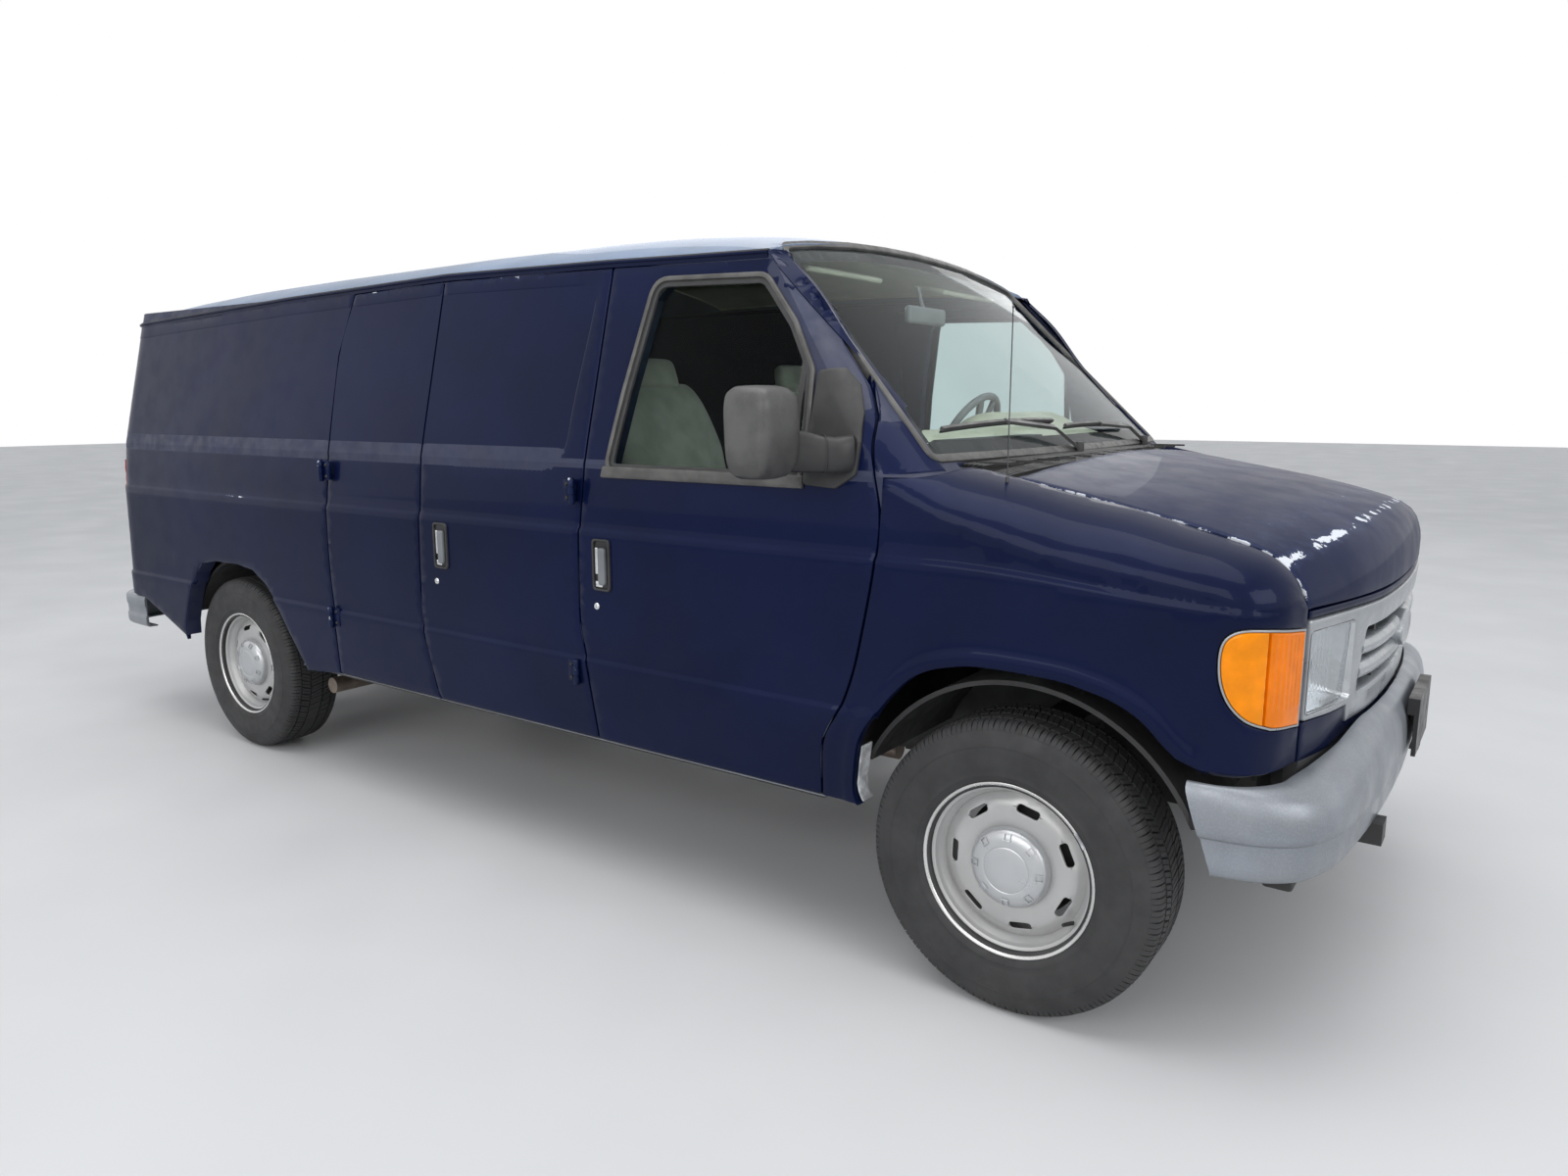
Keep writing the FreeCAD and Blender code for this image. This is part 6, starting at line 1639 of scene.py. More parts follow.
def lens_ribs(y, z):
    across = 0.5 + 0.5 * np.cos((y - 0.615) * 2 * math.pi / 0.016)
    room = smoothstep(np.minimum(z - 0.814, 0.976 - z), 0.0, 0.006)
    return 0.001 * across * room * smoothstep(y, 0.67, 0.68)


rib_lines = [[(y, 0.812), (y, 0.979)] for y in np.arange(0.671, 0.77, 0.004)]
lamp_lens = sheet_piece("headlamp_lens_left", grown(counterclockwise(lamp_hole), -0.0015), nose_face,
                        clear_lens, step=0.008, proud=-0.002, deep=0.01, relief=lens_ribs, ribs=rib_lines,
                        loop_step=0.008, back=-0.0045)
lens_right = mirror_of(lamp_lens, "headlamp_lens_right")
lamps = joined("headlamps_pair", make_bowl(1) + make_bowl(-1) + [lamp_lens, lens_right])
grille = joined("grille_whole", [silver_frame, boss] + bars + upright)
header = joined("nose_panel", [top_strip, low_strip, dark_wall, apron])
for piece, slot, old in ((lamps, "lamp_clear", "headlamps"), (grille, "grille_plastic", "grille"),
                         (header, "body_paint", "header_panel")):
    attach(piece, "root")
    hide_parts(old)

# %% [markdown]
# The amber lamp wraps round the corner. It is a lens in two parts on the
# fender's own surface: the rear part smooth, the front part ribbed, with a pale
# surround between lens and metal.

# %% Turn signals
signal_closed = counterclockwise(signal_smooth)
SPLIT_U = tape_at(2.463)


def signal_part(name, keep_front, inset, material, proud, relief=None, step=0.01, ribs=()):
    loop = grown(signal_closed, -inset)
    clip = [(max(u, SPLIT_U + 0.0025) if keep_front else min(u, SPLIT_U - 0.0025), z) for u, z in loop]
    tidy = [clip[0]]
    for place in clip[1:]:
        if math.dist(place, tidy[-1]) > 1e-4:
            tidy.append(place)
    if math.dist(tidy[0], tidy[-1]) < 1e-4:
        tidy.pop()
    straight = [p for k, p in enumerate(tidy) if not (abs(p[0] - tidy[k - 1][0]) < 1e-6
                                                      and abs(p[0] - tidy[(k + 1) % len(tidy)][0]) < 1e-6)]
    return sheet_piece(name, straight, fender, material, step=step, proud=proud, deep=0.018, hem=0.004,
                       relief=relief, ribs=ribs, loop_step=0.008)


front_ribs = [[(u, 0.84), (u, 1.01)] for u in np.arange(SPLIT_U + 0.008, NOSE_END, 0.004)]
surround = sheet_piece("signal_surround", grown(signal_closed, -0.0025), fender, silver_paint,
                       holes=[grown(signal_closed, -0.0075)], step=0.01, proud=0.003, deep=0.02, hem=0.0015,
                       loop_step=0.008)


def rear_flutes(_, z):
    return 0.0005 * np.sin(z * 2 * math.pi / 0.011)


def front_flutes(u, _):
    return 0.0012 * np.cos((u - SPLIT_U) * 2 * math.pi / 0.016)


signal = joined("turn_signal_right", [
    signal_part("signal_rear", False, 0.0085, amber_lens, 0.0065, relief=rear_flutes),
    signal_part("signal_front", True, 0.0085, amber_deep, 0.006, relief=front_flutes, ribs=front_ribs),
    surround])
signal_left = mirror_of(signal, "turn_signal_left")
for piece in (signal, signal_left):
    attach(piece, "root")
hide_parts("turn_signals")

# %% [markdown]
# The bumper is one pressed channel. Its top rolls in and up to the nose, so
# that part of the section is given as shares of the room between the bumper's
# plan and the nose's. Below it come a step and a lower band set in. At each
# station the section is placed square to the plan, and at the ends it stops
# earlier the lower it is.

# %% Bumper
bumper_plan = np.array(smooth_line([(2.24, 0.99), (2.33, 0.991), (2.4, 0.989), (2.475, 0.974),
                                    (2.535, 0.943), (2.582, 0.893), (2.612, 0.82), (2.632, 0.74),
                                    (2.655, 0.5), (2.668, 0.25), (2.672, 0.0)], 10))[::-1]
bumper_tape = lengths_along(bumper_plan)
BUMPER_ROLL = ((1.0, 1.0), (0.88, 1.0), (0.66, 0.955), (0.46, 0.87), (0.28, 0.745), (0.14, 0.57),
               (0.05, 0.36), (0.008, 0.16), (0.0, 0.0))
BUMPER_FOOT = ((0.0005, 0.578), (0.002, 0.566), (0.008, 0.559), (0.0145, 0.556), (0.0145, 0.535),
               (0.015, 0.505), (0.018, 0.484), (0.026, 0.472), (0.04, 0.466), (0.078, 0.468),
               (0.078, 0.474), (0.038, 0.474), (0.027, 0.49), (0.024, 0.53), (0.021, 0.56))
ROLL_LOW, ROLL_SIDE, ROLL_MIDDLE, SHEET = 0.59, 0.676, 0.736, 0.008


def bumper_section(share):
    """The section at one station: inset from the plan and height."""
    x, y, _ = bumper_place(share, 0.0, ROLL_LOW)
    lean = 0.02 * (1 - float(smoothstep(abs(y), 0.42, 0.66)))
    room = max(0.022, float(np.min(np.hypot(nose_plan[:, 0] - x, nose_plan[:, 1] - abs(y)))) - 0.012 + lean)
    top = ROLL_MIDDLE + (ROLL_SIDE - ROLL_MIDDLE) * float(smoothstep(abs(y), 0.42, 0.92))
    roll = [(a * room, ROLL_LOW + b * (top - ROLL_LOW)) for a, b in BUMPER_ROLL]
    inside_roll = [(max(a * room, SHEET), ROLL_LOW + b * (top - ROLL_LOW) - SHEET * a)
                   for a, b in BUMPER_ROLL[::-1]]
    return roll + list(BUMPER_FOOT) + inside_roll


def bumper_place(share, inset, z):
    end_x = float(np.interp(z, (0.483, 0.66), (2.395, 2.335)))
    reach = float(np.interp(-end_x, -bumper_plan[:, 0], bumper_tape)) * abs(share)
    (x, y), (x2, y2) = [place_along(reach + ahead, bumper_tape, bumper_plan) for ahead in (0, 0.004)]
    along = np.array([x2 - x, y2 - y]) / max(math.hypot(x2 - x, y2 - y), 1e-9)
    x, y = x - along[1] * inset, y + along[0] * inset
    return x, math.copysign(y, share) if share else 0.0, z


stations = [math.copysign(abs(k) ** 0.9, k) for k in np.linspace(-1, 1, 111)]
bumper = grid_piece("front_bumper_shell", [[bumper_place(s, inset, z) for inset, z in bumper_section(s)]
                                           for s in stations], bumper_silver, closed_u=True, caps=True,
                    crisp=45)
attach(bumper, "root")
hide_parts("front_bumper")
print("nose done")

# %% [markdown]
# The roof is crowned both ways: nearly flat in the middle, and it rolls down to
# the gutters. One rule gives its height from two tables, along the middle and
# along the gutter. The sun has faded its paint to a chalky blue. Round its edge
# runs the drip rail, a dark channel with a painted lip that is chipped.

# %% Roof and drip rails
TOP_X = (-2.6, -2.525, -2.5, -2.45, -2.38, -2.25, -2.0, -1.568, 0.0, 0.5, 0.885, 1.113, 1.2)
TOP_Z = (1.8, 1.838, 1.87, 1.925, 1.962, 1.99, 2.006, 2.02, 2.029, 2.029, 1.999, 1.952, 1.93)
top_curve = np.array(smooth_line(list(zip(TOP_X, TOP_Z)), 8))


def roof(x, y):
    x, y = np.asarray(x, float), np.asarray(y, float)
    t = np.clip(np.abs(y) / 0.862, 0, 1.02)
    fall = 0.78 * t ** 2 + 0.22 * t ** 12
    top = np.interp(x, top_curve[:, 0], top_curve[:, 1])
    return np.stack([x, y, gutter_z(x) + (top - gutter_z(x)) * (1 - fall)], axis=1)


roof_edge = [(-2.518, -0.7), (-2.5, -0.78), (-2.45, -0.835), (-2.36, -0.858), (1.15, -0.858), (1.146, -0.8),
             (1.128, -0.757), (1.126, -0.4), (1.124, 0.0)]
roof_edge = roof_edge + [(x, -y) for x, y in reversed(roof_edge[:-1])]
roof_ribs = [[(-2.4, y), (1.12, y)] for y in (-0.845, -0.83, -0.81, -0.78, 0.78, 0.81, 0.83, 0.845)]
roof_ribs += [[(x, -0.75), (x, 0.75)] for x in (-2.505, -2.49, -2.46, -2.42, -2.37)]
roof_skin = sheet_piece("roof_skin", roof_edge, roof, roof_blue, step=0.05, deep=0.012, proud=0.0015,
                        hem=0.006, ribs=roof_ribs)


def roof_wear(places):
    x, y = places[:, 0], np.abs(places[:, 1])
    return np.maximum(near(y, 0.85, 0.06) * 0.42, near(x, 1.12, 0.1) * 0.5)


mark_worn(roof_skin, roof_wear)
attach(roof_skin, "root")
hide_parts("roof_panel")


def rail(name, section, material, rise, u_end=-2.66):
    rows = []
    for u in np.linspace(1.15, u_end, 150):
        z = float(gutter_z(max(u, -2.56))) + rise
        place = spot(right_quarter, u, z)
        normal = outward(right_quarter, np.array([u]), np.array([z]), 1)[0]
        rows.append([(place[0] + normal[0] * a, place[1] + normal[1] * a, place[2] + b)
                     for a, b in section])
    return grid_piece(name, rows, material, closed_u=True, caps=True, crisp=45)


lip = rail("lip", [(-0.006, 0.004), (0.008, 0.003), (0.0105, 0.006), (0.0115, 0.004), (0.0105, -0.001),
                   (-0.006, -0.002)], navy, -0.002)
mark_worn(lip, lambda p: np.maximum(0.34, 0.95 * np.maximum(near(p[:, 0], 0.08, 0.26),
                                                            near(p[:, 0], -0.66, 0.14))))
channel = rail("channel", [(-0.006, 0.006), (0.005, 0.006), (0.007, 0.001), (-0.006, 0.0)], rubber_seal,
               0.003)
under = rail("under", [(-0.006, 0.0), (0.0045, 0.0), (0.0045, -0.0115), (-0.006, -0.0125)], navy, -0.003)
mark_worn(under, lambda p: np.full(len(p), 0.22))
rails = joined("drip_rail_right", [lip, channel, under])
rails_left = mirror_of(rails, "drip_rail_left")
for piece in (rails, rails_left):
    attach(piece, "root")

# %% [markdown]
# Windshield, pillars and cowl. The glass leans back and bows across. A dark
# band is printed round its edge, and a grey rubber holds it. The pillar turns
# from the door's plane to the glass, on the same surface as the side.

# %% Windshield and front pillars
def glass_edge(z):
    share = (np.asarray(z, float) - BELT) / (GUTTER - BELT)
    return sx(0.9358) + (sx(0.7735) - sx(0.9358)) * share, sy(0.88) + (sy(0.748) - sy(0.88)) * share


def screen(y, z):
    edge_x, edge_y = glass_edge(z)
    return np.stack([edge_x + 0.054 * (1 - (y / edge_y) ** 2), y, np.asarray(z, float)], axis=1)


half_screen = [(0.889, 1.331), (0.757, 1.896), (0.6, 1.918), (0.403, 1.936), (0.2, 1.945), (0.0, 1.948)]
screen_line = rounded(half_screen + [(-y, z) for y, z in reversed(half_screen[:-1])],
                      [0.02, 0.05, 0, 0, 0, 0, 0, 0, 0, 0.05, 0.02], 5)
windshield = sheet_piece("windshield_glass", grown(counterclockwise(screen_line), -0.004), screen,
                         screen_glass, step=0.05, proud=-0.003, deep=0.0085, hem=0.001, back=-0.0085,
                         loop_step=0.02)
band = sheet_piece("windshield_band", counterclockwise(screen_line), screen, rubber_seal,
                   holes=[grown(counterclockwise(screen_line), -0.046)], step=0.02, proud=-0.0085,
                   deep=0.0095, hem=0.001, back=-0.01)
gasket = sheet_piece("windshield_gasket", grown(counterclockwise(screen_line), 0.008), screen, grey_seal,
                     holes=[grown(counterclockwise(screen_line), -0.011)], step=0.02, proud=0.005,
                     deep=0.016, hem=0.004)
header_seal = joined("windshield_seal", [band, gasket])
pillar_rear = [(x + GAP / 2 - 0.0015, z) for x, z in smooth_line(door_front_line[6:], 5)
               if 1.297 < z < 1.856]
pillar_front = [(float(glass_edge(z)[0]) + 0.003, z) for z in np.linspace(1.868, 1.305, 24)]
pillar_line = [(1.578, 1.294)] + pillar_rear + [(pillar_rear[-1][0] - 0.01, 1.868)] + pillar_front
pillar = sheet_piece("front_pillar_right", pillar_line, right_side, navy, step=0.014, deep=0.02,
                     loop_step=0.01, ribs=pillar_ribs())
ironed(pillar, 1.02, 1.42)
pillar_left = mirror_of(pillar, "front_pillar_left")
for piece, slot, old in ((windshield, "window_glass", "windshield"), (header_seal, "black_plastic", None),
                         (pillar, "body_paint", None), (pillar_left, "body_paint", None)):
    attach(piece, "root")
    if old:
        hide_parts(old)

# %% [markdown]
# What repeats is made by Geometry Nodes: one tree that copies a small mesh along
# a line, and turns each copy a little more than the last. The cowl's slats use
# only the line, the tyre's tread and the wheel's stampings only the turning.

# %% A tree of copies
def copies_tree():
    tree = bpy.data.node_groups.new("copies in a row or ring", "GeometryNodeTree")
    for label, kind, value in (("Geometry", "NodeSocketGeometry", None), ("Count", "NodeSocketInt", 8),
                               ("Step", "NodeSocketVector", None), ("Turn", "NodeSocketVector", None),
                               ("Material", "NodeSocketMaterial", None)):
        socket = tree.interface.new_socket(label, in_out="INPUT", socket_type=kind)
        if value is not None:
            socket.default_value = value
    tree.interface.new_socket("Geometry", in_out="OUTPUT", socket_type="NodeSocketGeometry")
    inn, out = node(tree, "NodeGroupInput"), node(tree, "NodeGroupOutput")
    points = node(tree, "GeometryNodeMeshLine")
    points.mode = "OFFSET"
    index = node(tree, "GeometryNodeInputIndex")
    turn = node(tree, "ShaderNodeVectorMath")
    turn.operation = "SCALE"
    place = node(tree, "GeometryNodeInstanceOnPoints")
    real, paint_it = node(tree, "GeometryNodeRealizeInstances"), node(tree, "GeometryNodeSetMaterial")
    link(tree, inn.outputs["Count"], points.inputs["Count"])
    link(tree, inn.outputs["Step"], points.inputs["Offset"])
    link(tree, inn.outputs["Turn"], turn.inputs[0])
    link(tree, index.outputs[0], turn.inputs["Scale"])
    link(tree, points.outputs["Mesh"], place.inputs["Points"])
    link(tree, inn.outputs["Geometry"], place.inputs["Instance"])
    link(tree, turn.outputs[0], place.inputs["Rotation"])
    link(tree, place.outputs["Instances"], real.inputs["Geometry"])
    link(tree, real.outputs["Geometry"], paint_it.inputs["Geometry"])
    link(tree, inn.outputs["Material"], paint_it.inputs["Material"])
    link(tree, paint_it.outputs["Geometry"], out.inputs["Geometry"])
    return tree


COPIES = copies_tree()


def repeated(piece, count, material, step=(0, 0, 0), turn=(0, 0, 0), move=(0, 0, 0)):
    modifier = piece.modifiers.new("copies", "NODES")
    modifier.node_group = COPIES
    values = {"Count": count, "Step": step, "Turn": turn, "Material": material}
    for item in COPIES.interface.items_tree:
        if item.in_out == "INPUT" and item.name in values:
            modifier[item.identifier] = values[item.name]
    piece = baked(piece)
    piece.data.transform(Matrix.Translation(move))
    return piece


def hood_rear_z(y):
    return float(spot(hood_surface, 0.0, y)[2])


def cowl_surface(s, y):
    y = np.asarray(y, float)
    x0 = 1.668 + 0.054 * (1 - (y / 0.883) ** 2)
    z1 = np.interp(np.abs(y), COWL_Y, COWL_Z)
    x = x0 + (1.85 - x0) * s
    z = 1.3225 + (z1 - 1.3225) * smoothstep(s, -0.3, 1.0) - 0.006 * np.sin(math.pi * np.clip(s, 0, 1))
    return np.stack([x, y, z], axis=1)


COWL_Y = np.linspace(0, 0.86, 12)
COWL_Z = [hood_rear_z(y) - 0.002 for y in COWL_Y]
cowl_base = sheet_piece("cowl_base", [(0.0, -0.8), (1.0, -0.796), (1.0, 0.796), (0.0, 0.8)], cowl_surface,
                        rubber_seal, step=0.05, deep=0.03, proud=-0.004, hem=0.002, back=-0.008)
slat_section = [(-0.0038, -0.004), (0.0038, -0.002), (0.0042, 0.0015), (0.0, 0.003), (-0.0038, 0.0005)]
slats = []
for k, share in enumerate((0.1, 0.52)):
    path = [spot(cowl_surface, share, y) for y in np.linspace(-0.775, 0.775, 50)]
    slat = swept(f"slat{k}", path, slat_section, black_trim, crisp=40)
    slats.append(repeated(slat, 5, black_trim, step=(0.0125, 0, -0.0007), move=(0, 0, 0.003)))
cross_bar = swept("slat_cross", [(x, 0, 1.0) for x in (0.0, 0.13)],
                  [(-0.0025, -0.003), (0.0025, -0.003), (0.0025, 0.003), (-0.0025, 0.003)], black_trim)
cross_bar = repeated(cross_bar, 13, black_trim, step=(0, 0.12, 0), move=(1.705, -0.72, 0.318))
cowl = joined("cowl_grille", [cowl_base, cross_bar] + slats)
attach(cowl, "root")
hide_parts("cowl_panel")

# %% [markdown]
# Two wipers lie on the glass's foot: a pivot, a tapered arm and a thin blade
# with its rubber. Their places follow the CAD, from pivot to the blade's tip.

# %% Wipers and antenna
def make_wiper(name, pivot_y, tip_y, end_y, z_pivot, z_mid, z_tip):
    def on_glass(y, z, lift):
        return Vector(spot(screen, y, z)) + Vector((0.55, 0, 0.8)).normalized() * lift
    pivot = on_glass(pivot_y, 1.322, 0.012)
    elbow = on_glass(pivot_y + (tip_y - pivot_y) * 0.3, z_pivot, 0.03)
    joint = on_glass(tip_y, z_mid, 0.02)
    arm = swept(name + "_arm", [pivot, elbow, joint],
                [(-0.0095, -0.004), (0.0095, -0.004), (0.008, 0.005), (-0.008, 0.005)], mirror_face,
                up=(0.5, 0, 0.8))
    cap = spun(name + "_cap", [(0.0, 0.022), (0.011, 0.02), (0.014, 0.012), (0.014, -0.015), (0.0, -0.015)],
               black_trim, pivot, "Z", 24)
    start = on_glass(tip_y - (end_y - tip_y), z_mid + (z_mid - z_tip) * 0.6, 0.01)
    end = on_glass(end_y, z_tip, 0.01)
    line = [start.lerp(end, k / 12) + Vector((0.006, 0, 0.008)) * math.sin(math.pi * k / 12)
            for k in range(13)]
    blade = swept(name + "_blade", line, [(-0.006, -0.003), (0.006, -0.003), (0.005, 0.006),
                                          (-0.005, 0.006)], mirror_face, up=(0.5, 0, 0.8))
    rubber = swept(name + "_rubber", [p - Vector((0.004, 0, 0.006)) for p in line],
                   [(-0.0015, -0.004), (0.0015, -0.004), (0.003, 0.002), (-0.003, 0.002)], rubber_seal,
                   up=(0.5, 0, 0.8))
    return [arm, cap, blade, rubber]


wipers = joined("wiper_pair", make_wiper("wiper_right", -0.08, -0.43, -0.765, 1.372, 1.402, 1.394)
                + make_wiper("wiper_left", 0.64, 0.27, -0.03, 1.362, 1.384, 1.39))
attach(wipers, "root")
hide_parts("wipers")
whip = spun("antenna_whip", [(0.0, 0.425), (0.0022, 0.4245), (0.0028, 0.422), (0.0028, 0.419),
                             (0.0014, 0.417), (0.0015, 0.2), (0.0018, 0.03), (0.004, 0.028),
                             (0.0042, 0.012), (0.0065, 0.01), (0.009, 0.006), (0.0165, 0.003),
                             (0.0175, -0.002), (0.0175, -0.012), (0.0, -0.012)], whip_steel,
            (1.849, -0.851, 1.267), "Z", 20)
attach(whip, "root")
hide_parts("antenna")
print("glass and cowl done")

# %% [markdown]
# Through the glass one sees the cab: a cream dashboard with a hood over the
# dials, the steering wheel, the door trims, the mirror, visors and two seats.

# %% Dashboard, steering wheel and trims
DASH = ((1.585, 1.195), (1.59, 1.28), (1.57, 1.328), (1.5, 1.362), (1.4, 1.38), (1.32, 1.384),
        (1.265, 1.374), (1.228, 1.34), (1.214, 1.28), (1.212, 1.18), (1.222, 1.1), (1.226, 1.02),
        (1.236, 0.93), (1.262, 0.885), (1.34, 0.86), (1.55, 0.86))


def dash_row(y):
    hood = 0.03 * float(smoothstep(0.33 - abs(y - 0.43), 0.0, 0.11))
    lump = 0.012 * float(smoothstep(0.16 - abs(y), 0.0, 0.08))
    end = 1 - 0.05 * float(smoothstep(abs(y), 0.74, 0.84))
    row = []
    for x, z in smooth_line(list(DASH) + [DASH[0]], 4)[:-1]:
        fore = float(smoothstep(1.3 - x, 0.0, 0.1)) * float(smoothstep(z, 0.95, 1.22))
        rise = hood * 1.7 * float(smoothstep(1.53 - x, 0.0, 0.2)) * float(smoothstep(z, 1.26, 1.34))
        row.append((x - (hood * 1.1 + lump) * fore, y, 0.86 + (z - 0.86) * end + rise))
    return row


dash = grid_piece("dash_body", [dash_row(y) for y in np.linspace(-0.835, 0.835, 90)], cream_trim,
                  closed_u=True, caps=True, crisp=50)
dials = soft_box("dial_face", (1.188, 0.21, 1.13), (1.215, 0.65, 1.262), dark_metal, 0.01, 3)
radio = soft_box("radio_face", (1.196, -0.1, 1.03), (1.222, 0.1, 1.2), grey_trim, 0.008, 2)
vents = []
for k, y in enumerate((-0.74, -0.2, 0.16, 0.74)):
    frame_box = soft_box(f"vent{k}", (1.2, y - 0.055, 1.205), (1.222, y + 0.055, 1.262), grey_trim, 0.006,
                         2)
    fin = soft_box(f"fin{k}", (1.194, y - 0.046, 1.212), (1.206, y + 0.046, 1.215), dark_metal, 0.0008, 1)
    vents += [frame_box, repeated(fin, 5, dark_metal, step=(0, 0, 0.0095))]
defrost = soft_box("defrost", (1.5, -0.62, 1.35), (1.55, 0.1, 1.366), rubber_mat, 0.004, 2)
dashboard = joined("dashboard_whole", [dash, dials, radio, defrost] + vents)
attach(dashboard, "root")
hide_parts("dashboard")

ring_path = [(0.182 * math.cos(a), 0.182 * math.sin(a), 0)
             for a in np.linspace(0, 2 * math.pi, 64, endpoint=False)]
wheel_ring = swept("ring", ring_path, circle_section(0.0135, 12), grey_trim, closed=True)
hub = spun("hub", [(0.0, 0.012), (0.05, 0.01), (0.07, 0.0), (0.074, -0.012), (0.06, -0.03), (0.032, -0.04),
                   (0.03, -0.075), (0.0, -0.075)], grey_trim, (0, 0, -0.012), "Z", 40)
spokes = [swept(f"spoke{k}", [(0.055 * math.cos(a), 0.055 * math.sin(a), -0.02),
                              (0.12 * math.cos(a), 0.12 * math.sin(a), -0.012),
                              (0.18 * math.cos(a), 0.18 * math.sin(a), 0.0)],
                [(-0.017, -0.006), (0.017, -0.006), (0.014, 0.006), (-0.014, 0.006)], grey_trim, crisp=30)
          for k, a in enumerate((-0.25, math.pi + 0.25, -1.25, math.pi + 1.25))]
steering = joined("steering_wheel_whole", [wheel_ring, hub] + spokes)
tilt = Matrix.Rotation(math.radians(-62), 4, "Y")
turned(steering, Matrix.Translation((1.12, 0.43, 1.33)) @ tilt @ Matrix.Rotation(math.pi / 2, 4, "Z"))
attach(steering, "root")
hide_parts("steering_wheel")


def door_trim_panel(name, outline, proud, material, **more):
    return sheet_piece(name, outline, right_side, material, proud=proud, back=proud - 0.004,
                       deep=-proud + 0.008, step=0.04, hem=0.004, **more)


inner_low = rounded([(0.63, 0.52), (1.44, 0.52), (1.53, 0.8), (1.54, 1.1), (1.5, 1.235), (0.63, 1.235)],
                    0.03, 4)
low_trim = door_trim_panel("door_trim_right", inner_low, -0.062, cream_trim)
arm_rest = soft_box("arm_rest", (0.78, -0.925, 0.985), (1.2, -0.872, 1.03), cream_trim, 0.014, 3)
pull = soft_box("door_pull", (1.26, -0.935, 1.05), (1.34, -0.918, 1.09), dark_metal, 0.006, 2)
door_inside = joined("door_inside_right", [low_trim, arm_rest, pull])
inside_left = mirror_of(door_inside, "door_inside_left")
for piece, side in ((door_inside, "right"), (inside_left, "left")):
    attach(piece, "front_door_" + side)
headliner = sheet_piece("headliner", [(-0.3, -0.76), (1.06, -0.7), (1.06, 0.7), (-0.3, 0.76)], roof,
                        cream_trim, step=0.08, proud=-0.04, back=-0.044, deep=0.05, hem=0.005)
mirror_arm = swept("inside_mirror_arm", [(1.135, 0.0, 1.845), (1.15, 0.0, 1.79), (1.165, 0.0, 1.765)],
                   circle_section(0.006, 8), grey_trim, up=(0, 1, 0))
inside_mirror = soft_box("inside_mirror_case", (1.155, -0.125, 1.722), (1.178, 0.125, 1.778), grey_trim,
                         0.01, 4)
inside_face = soft_box("inside_mirror_face", (1.152, -0.118, 1.728), (1.1565, 0.118, 1.772), mirror_glass,
                       0.002, 1)
visors = [soft_box(f"visor{k}", (1.0, side * 0.42 - 0.21, 1.838), (1.125, side * 0.42 + 0.21, 1.855),
                   cream_trim, 0.008, 3) for k, side in enumerate((-1, 1))]
visor_turn = Matrix.Translation((1.12, 0, 1.85)) @ Matrix.Rotation(math.radians(14), 4, "Y")
visor_turn = visor_turn @ Matrix.Translation((-1.12, 0, -1.85))
visors = [turned(visor, visor_turn) for visor in visors]
engine_cover = grid_piece("engine_cover", [[(x, 0.245 * grow * a, 0.6 + (top - 0.6) * b)
                                            for a, b in ((-1.1, 0.0), (-1.06, 0.6), (-0.9, 0.93),
                                                         (-0.6, 1.0), (0, 1.02), (0.6, 1.0), (0.9, 0.93),
                                                         (1.06, 0.6), (1.1, 0.0))]
                                           for x, grow, top in ((1.235, 1.0, 0.98), (1.1, 1.0, 0.985),
                                                                (0.96, 0.98, 0.97), (0.86, 0.95, 0.93),
                                                                (0.83, 0.92, 0.86), (0.82, 0.92, 0.602))],
                          grey_trim, crisp=60, wall=0.004)
mats = [soft_box(f"cab_mat{k}", (0.62, side * 0.6 - 0.27, 0.589), (1.42, side * 0.6 + 0.27, 0.6),
                 rubber_mat, 0.004, 2) for k, side in enumerate((-1, 1))]
cab = joined("cab_trims", [headliner, mirror_arm, inside_mirror, inside_face, engine_cover] + visors + mats)
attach(cab, "root")
print("cab done")

# %% [markdown]
# The seats are padded cloth: a cushion, a back and a headrest. Each is a closed
# form lofted along a bent middle line. It is full in the middle, pulls in at its
# sides and ends, and has sewn channels, so it reads as foam under fabric.

# %% Seats
def pad(name, line, half_wide, half_thick, y0, material, seams=(), rows=44, around=72):
    line = np.array(smooth_line(line, 8))
    tape = lengths_along(line)
    rings = []
    for k in range(rows):
        t = 0.5 - 0.5 * math.cos(math.pi * k / (rows - 1))
        s = t * tape[-1]
        x, z = place_along(s, tape, line)
        x2, z2 = place_along(min(s + 0.01, tape[-1]), tape, line)
        x1, z1 = place_along(max(s - 0.01, 0), tape, line)
        along = np.array([x2 - x1, z2 - z1]) / math.hypot(x2 - x1, z2 - z1)
        normal = np.array([-along[1], along[0]])
        close = (1 - abs(2 * t - 1) ** 5) ** 0.45
        wide = float(np.interp(t, *half_wide)) * (0.72 + 0.28 * close)
        thick = float(np.interp(t, *half_thick)) * max(close, 0.02)
        ring = []
        for a in np.linspace(0, 2 * math.pi, around, endpoint=False):
            c, d = math.cos(a), math.sin(a)
            across, up = math.copysign(abs(c) ** 0.62, c) * wide, math.copysign(abs(d) ** 0.72, d) * thick
            swell = 1 + 0.16 * (1 - (across / wide) ** 2) * close
            sewn = sum(0.007 * math.exp(-((across - seam) / 0.007) ** 2) for seam in seams)
            sewn += 0.005 * math.exp(-((t - 0.3) / 0.012) ** 2) * float(abs(across) < 0.14) if seams else 0
            up = up * swell - math.copysign(min(sewn, abs(up) * 0.5), up) * close
            ring.append((x + normal[0] * up, y0 + across, z + normal[1] * up))
        rings.append(ring)
    return grid_piece(name, rings, material, closed_u=True, caps=True, crisp=80)


